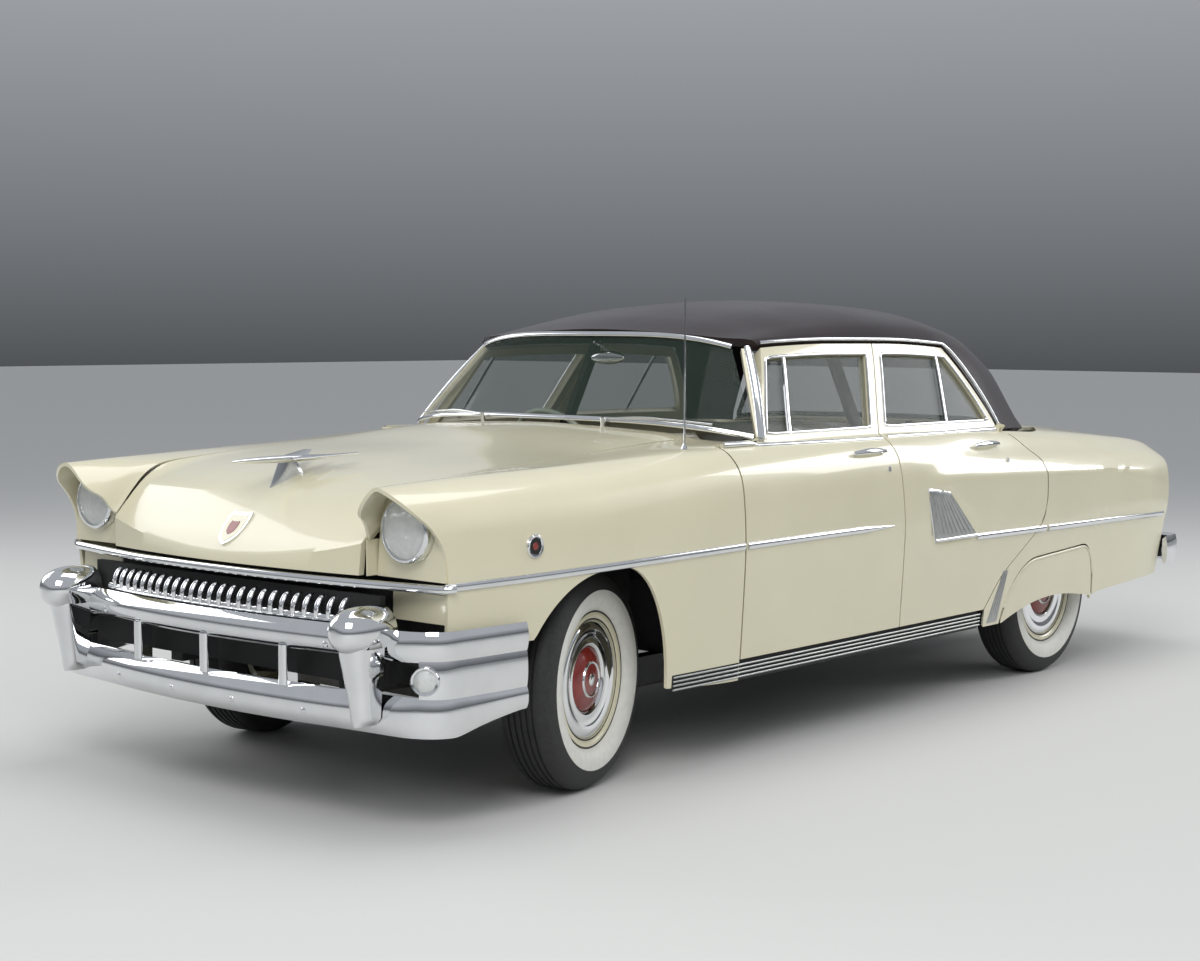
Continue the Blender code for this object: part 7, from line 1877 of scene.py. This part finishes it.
def build_tail_looks():
    path = [Vector((point.x, -point.y, 0))
            for point in curved(bumper_path(REAR_NOSE, REAR_BOW, REAR_CORNER, REAR_END), 6)]
    path.reverse()
    meshes = [swept(path, lambda share: fine_bar(*REAR_BAR, bar_depth(share)))]
    for side in (1, -1):
        x = side * REAR_GUARD_X
        y = REAR_NOSE - REAR_BOW * (REAR_GUARD_X / BAR_HALF) ** 2
        line = curved([Vector((x, y - 0.012, REAR_BAR[0] - 0.018)),
                Vector((x, y + 0.004, REAR_BAR[0] + 0.03)), Vector((x, y + 0.018,
                REAR_BAR[1])), Vector((x, y + 0.008, REAR_BAR[1] + 0.055))], 8)
        meshes.append(strip(line, [ASTERN] * len(line),
                half_round(0.078, 0.022, 16)[1:-1] + [(0.039, -0.04), (-0.039, -0.04)]))
    add("rear_bumper_plating", merged(meshes), "chrome", "car_body", ["bumper_rear"], 40)
    for side in (1, -1):
        h = hand(side)
        x = side * TAIL_LAMP_X
        rows = []
        for k in range(25):
            t = k / 24
            z = lerp(TAIL_LAMP_LOW + 0.004, TAIL_LAMP_HIGH - 0.004, t)
            bulge = math.sin(math.pi * lerp(0.10, 0.90, t)) ** 0.6
            ring = [Vector((x + 0.040 * math.cos(math.pi * j / 16),
                    TAIL_END - 0.02 + 0.060 * bulge * math.sin(math.pi * j / 16), z)) for j in range(17)]
            ring += [Vector((x - 0.040, TAIL_END - 0.14, z)), Vector((x + 0.040, TAIL_END - 0.14, z))]
            rows.append(ring)
        size = len(rows[0])
        points = [p for ring in rows for p in ring]
        faces = [list(range(size)), list(range(len(points) - 1, len(points) - size - 1, -1))]
        for k in range(len(rows) - 1):
            for j in range(size):
                following = (j + 1) % size
                faces.append([k * size + following, k * size + j, (k + 1) * size + j,
                        (k + 1) * size + following])
        add("tail_lens_" + h, mesh_of(points, faces), "red_lens", "car_body", ["taillamp_" + h],
                60)
        ring = [Vector((x + 0.044 * math.cos(a), TAIL_END - 0.012,
                lerp(TAIL_LAMP_LOW, TAIL_LAMP_HIGH,
                0.5) + 0.122 * math.sin(a))) for a in spread((0, math.tau), (64,))[:-1]]
        add("tail_bezel_" + h, strip(ring, [ASTERN] * 64, half_round(0.012, 0.010), None, True))
    handle = curved([Vector((-0.09, 2.489, 0.70)), Vector((-0.05, 2.500, 0.70)), Vector((0.05, 2.500, 0.70)),
            Vector((0.09, 2.489, 0.70))], 8)
    add("trunk_handle", tube(handle, 0.009, 12), "chrome", "trunk_lid")
    add("plate_blank", block((-0.155, TAIL_PANEL_Y + 0.001, 0.482), (0.155, TAIL_PANEL_Y + 0.004, 0.598)),
            "satin", "car_body")


def smoothed(outline, rounds=3):
    """Cut the corners of a closed outline."""
    for _ in range(rounds):
        result = []
        for a, b in zip(outline, outline[1:] + outline[:1]):
            result += [(lerp(a[0], b[0], 0.25), lerp(a[1], b[1], 0.25)),
                    (lerp(a[0], b[0], 0.75), lerp(a[1], b[1], 0.75))]
        outline = result
    return outline


def bench(name):
    """A bench whose cloth is sewn in pleats between plain bolsters."""
    low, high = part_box(name)
    specs = {"front_seat": (FRONT_SEAT_Y, CUSHION_TOP, CUSHION_LENGTH, 0.55 * BACK_THICKNESS),
             "rear_seat": (REAR_SEAT_Y, REAR_CUSHION_TOP, SEAT_BACK_Y - REAR_SEAT_Y - BACK_THICKNESS,
                     0.3 * BACK_THICKNESS)}
    front, top, length, rake = specs[name]
    base = low[2]
    back = front + length
    crown = 0.3 * BACK_THICKNESS
    end = back + BACK_THICKNESS - crown / 4
    outline = [(front, base), (front - crown / 3, top - crown), (front + crown, top),
            (back - crown, top - crown / 2),
               (back + rake - crown, BACK_TOP - crown), (back + rake, BACK_TOP), (end + rake - crown,
                       BACK_TOP),
               (end + rake - crown / 2, BACK_TOP - crown), (end - crown, base)]
    outline = smoothed(outline)
    count = len(outline)
    stations = spread((-SEAT_HALF, SEAT_HALF), (180,))
    points = []
    for x in stations:
        away = abs(x) / SEAT_HALF
        pinch = 0.018 * max(0.0, (away - 0.93) / 0.07) ** 2
        pleat = 0.006 * (1 - abs(math.sin(math.pi * x / 0.055)) ** 0.5) if away < 0.93 else 0.0
        for k in range(count):
            a, b = outline[k - 1], outline[(k + 1) % count]
            run = Vector((b[0] - a[0], b[1] - a[1])).normalized()
            inward = Vector((-run.y, run.x))
            y, z = outline[k]
            shown = 1.0 if z > top - 0.06 else 0.2
            amount = pinch + pleat * shown
            points.append(Vector((x, y + inward.x * amount, z + inward.y * amount)))
    faces = [list(range(count)), list(range(len(points) - 1, len(points) - count - 1, -1))]
    for i in range(len(stations) - 1):
        for k in range(count):
            following = (k + 1) % count
            faces.append([i * count + following, i * count + k, (i + 1) * count + k,
                    (i + 1) * count + following])
    item = add(name + "_cloth", mesh_of(points, faces), "seat", "car_body", [name], 60)
    piping = [Vector((x, back + rake + 0.02, BACK_TOP - 0.004))
            for x in spread((-SEAT_HALF + 0.03, SEAT_HALF - 0.03), (40,))]
    add(name + "_piping", tube(piping, 0.004, 10), "bolster", "car_body")


def build_cabin_looks():
    """Cloth, steering wheel and dials of the cabin."""
    bench("front_seat")
    bench("rear_seat")
    hub = Vector((-WHEEL_X, STEERING_HUB[0], STEERING_HUB[1]))
    axis = Vector((0, math.sin(COLUMN_RAKE), math.cos(COLUMN_RAKE)))
    turn = Vector((1, 0, 0)).rotation_difference(axis).to_matrix().to_4x4()
    place = Matrix.Translation(hub) @ turn
    points, faces = [], []
    segments, ring = 144, 14
    for k in range(segments):
        angle = math.tau * k / segments
        for j in range(ring):
            around = math.tau * j / ring
            notch = 0.0022 * (0.5 + 0.5 * math.cos(36 * angle)) * max(0.0, -math.cos(around))
            radius = 0.0115 - notch
            flat = STEERING_RADIUS + radius * math.cos(around)
            points.append(place @ Vector((radius * math.sin(around), flat * math.cos(angle),
                    flat * math.sin(angle))))
    for k in range(segments):
        for j in range(ring):
            a, b = k * ring, ((k + 1) % segments) * ring
            faces.append([a + j, a + (j + 1) % ring, b + (j + 1) % ring, b + j])
    add("steering_rim", mesh_of(points, faces), "ivory", "steering_wheel", ["steering_wheel"],
            60)
    side = place.to_3x3() @ ASTERN
    down = place.to_3x3() @ UPWARD
    down = down if down.z < 0 else -down
    spokes = []
    for run in (side, -side, down):
        line = curved([hub - axis * 0.012, hub + run * 0.11 - axis * 0.012,
                hub + run * (STEERING_RADIUS - 0.004)], 8)
        spokes.append(strip(line, [axis] * len(line), half_round(0.020, 0.007)))
    spokes.append(turned([(0.0, 0.006), (0.018, 0.004), (0.024, -0.004), (0.024, -0.060), (0.0, -0.060)], 40,
            place))
    add("steering_spokes", merged(spokes), "ivory", "steering_wheel", angle=50)
    horn = [hub - axis * 0.004 + side * 0.13 * math.cos(a) + down * 0.13 * math.sin(a)
            for a in spread((0, math.tau), (96,))[:-1]]
    add("horn_ring", tube(horn, 0.0035, 10, True), "chrome", "steering_wheel", angle=60)
    rear = DASH_Y + FLOOR_SHEET + DASH_DEPTH
    strip_line = [Vector((x, rear + 0.001, 0.96 * DASH_TOP)) for x in spread((-0.69, 0.69), (20,))]
    add("dash_moulding", strip(strip_line, [ASTERN] * 21, half_round(0.016, 0.005)))
    dials = []
    for x in (-0.48, -0.37, -0.26, 0.0):
        spot = Matrix.Translation((x, rear - 0.004, 0.945)) @ Matrix.Rotation(math.pi / 2, 4, "Z")
        dials.append(turned([(0.0, 0.002), (0.030, 0.003), (0.034, 0.008), (0.040, 0.008), (0.042, 0.0),
                (0.0, -0.006)], 48, spot))
    add("dash_dials", merged(dials), "satin", "car_body", angle=50)


def dress_nodes():
    """Finishes of the solids that are shown as they are."""
    looks = {"antenna": "chrome", "body_shell": "black", "front_structure": "black", "frame": "black",
            "exhaust": "iron",
             "fuel_tank": "black", "engine": "iron", "rear_axle": "iron", "front_suspension": "iron", "knuckle_left": "iron",
             "knuckle_right": "iron", "dashboard": "paint", "tail_panel": "paint"}
    for name, finish_name in looks.items():
        mesh = frame["nodes"][name].data
        mesh.materials.clear()
        mesh.materials.append(MATS[finish_name])


def build_stage():
    """Pale floor, studio lights and the camera of the photograph."""
    scene = bpy.context.scene
    floor = bpy.data.materials.new("studio_floor")
    floor.use_nodes = True
    shader = floor.node_tree.nodes["Principled BSDF"]
    shader.inputs["Base Color"].default_value = (0.62, 0.62, 0.60, 1)
    shader.inputs["Roughness"].default_value = 0.65
    bpy.ops.mesh.primitive_plane_add(size=120, location=(0, 0, -0.0005))
    plane = bpy.context.object
    plane.data.materials.append(floor)
    world = bpy.data.worlds.new("studio")
    scene.world = world
    world.use_nodes = True
    nodes, links = world.node_tree.nodes, world.node_tree.links
    where = nodes.new("ShaderNodeTexCoord")
    split = nodes.new("ShaderNodeSeparateXYZ")
    ramp = nodes.new("ShaderNodeValToRGB")
    ramp.color_ramp.elements[0].position = 0.48
    ramp.color_ramp.elements[0].color = (0.10, 0.11, 0.12, 1)
    ramp.color_ramp.elements[1].position = 0.62
    ramp.color_ramp.elements[1].color = (0.86, 0.90, 0.96, 1)
    shift = nodes.new("ShaderNodeMapRange")
    shift.inputs["From Min"].default_value = -1.0
    links.new(where.outputs["Generated"], split.inputs["Vector"])
    links.new(split.outputs["Z"], shift.inputs["Value"])
    links.new(shift.outputs["Result"], ramp.inputs["Fac"])
    links.new(ramp.outputs["Color"], nodes["Background"].inputs["Color"])
    nodes["Background"].inputs["Strength"].default_value = 0.52
    for name, place, aim, size, power in (
            ("key", (4.5, -6.5, 6.0), (0.0, -0.6, 0.6), 4.0, 330), ("fill", (-7.0, -3.0, 4.0), (0, 0, 0.7),
                    4.5, 170),
            ("top", (0.5, 0.5, 7.5), (0, 0, 0.5), 5.0, 190), ("rim", (4.0, 7.0, 4.0), (0, 1.0, 0.8), 3.5,
                    200)):
        light = bpy.data.lights.new(name, "AREA")
        light.energy = power
        light.size = size
        lamp = bpy.data.objects.new(name, light)
        lamp.location = place
        lamp.rotation_euler = (Vector(aim) - Vector(place)).to_track_quat("-Z", "Y").to_euler()
        scene.collection.objects.link(lamp)
    camera = bpy.data.cameras.new("photo_camera")
    camera.sensor_width = 36
    camera.lens = 59.55
    eye = bpy.data.objects.new("photo_camera", camera)
    scene.collection.objects.link(eye)
    azimuth, elevation, roll = (math.radians(value) for value in (40.74, 4.38, 0.20))
    back = Vector((math.sin(azimuth) * math.cos(elevation), -math.cos(azimuth) * math.cos(elevation),
            math.sin(elevation)))
    right = Vector((math.cos(azimuth), math.sin(azimuth), 0))
    up = back.cross(right)
    rows = (right * math.cos(roll) + up * math.sin(roll), up * math.cos(roll) - right * math.sin(roll), back)
    eye.matrix_world = Matrix.Translation((4.956, -6.376, 1.486)) @ Matrix(rows).transposed().to_4x4()
    scene.camera = eye
    scene.view_settings.view_transform = "Standard"


build_panels()
for side in (1, -1):
    build_side_trim(side)
build_wheel_looks()
build_front_looks()
build_hood_looks()
build_glass_trim()
build_tail_looks()
build_cabin_looks()
dress_nodes()
build_stage()
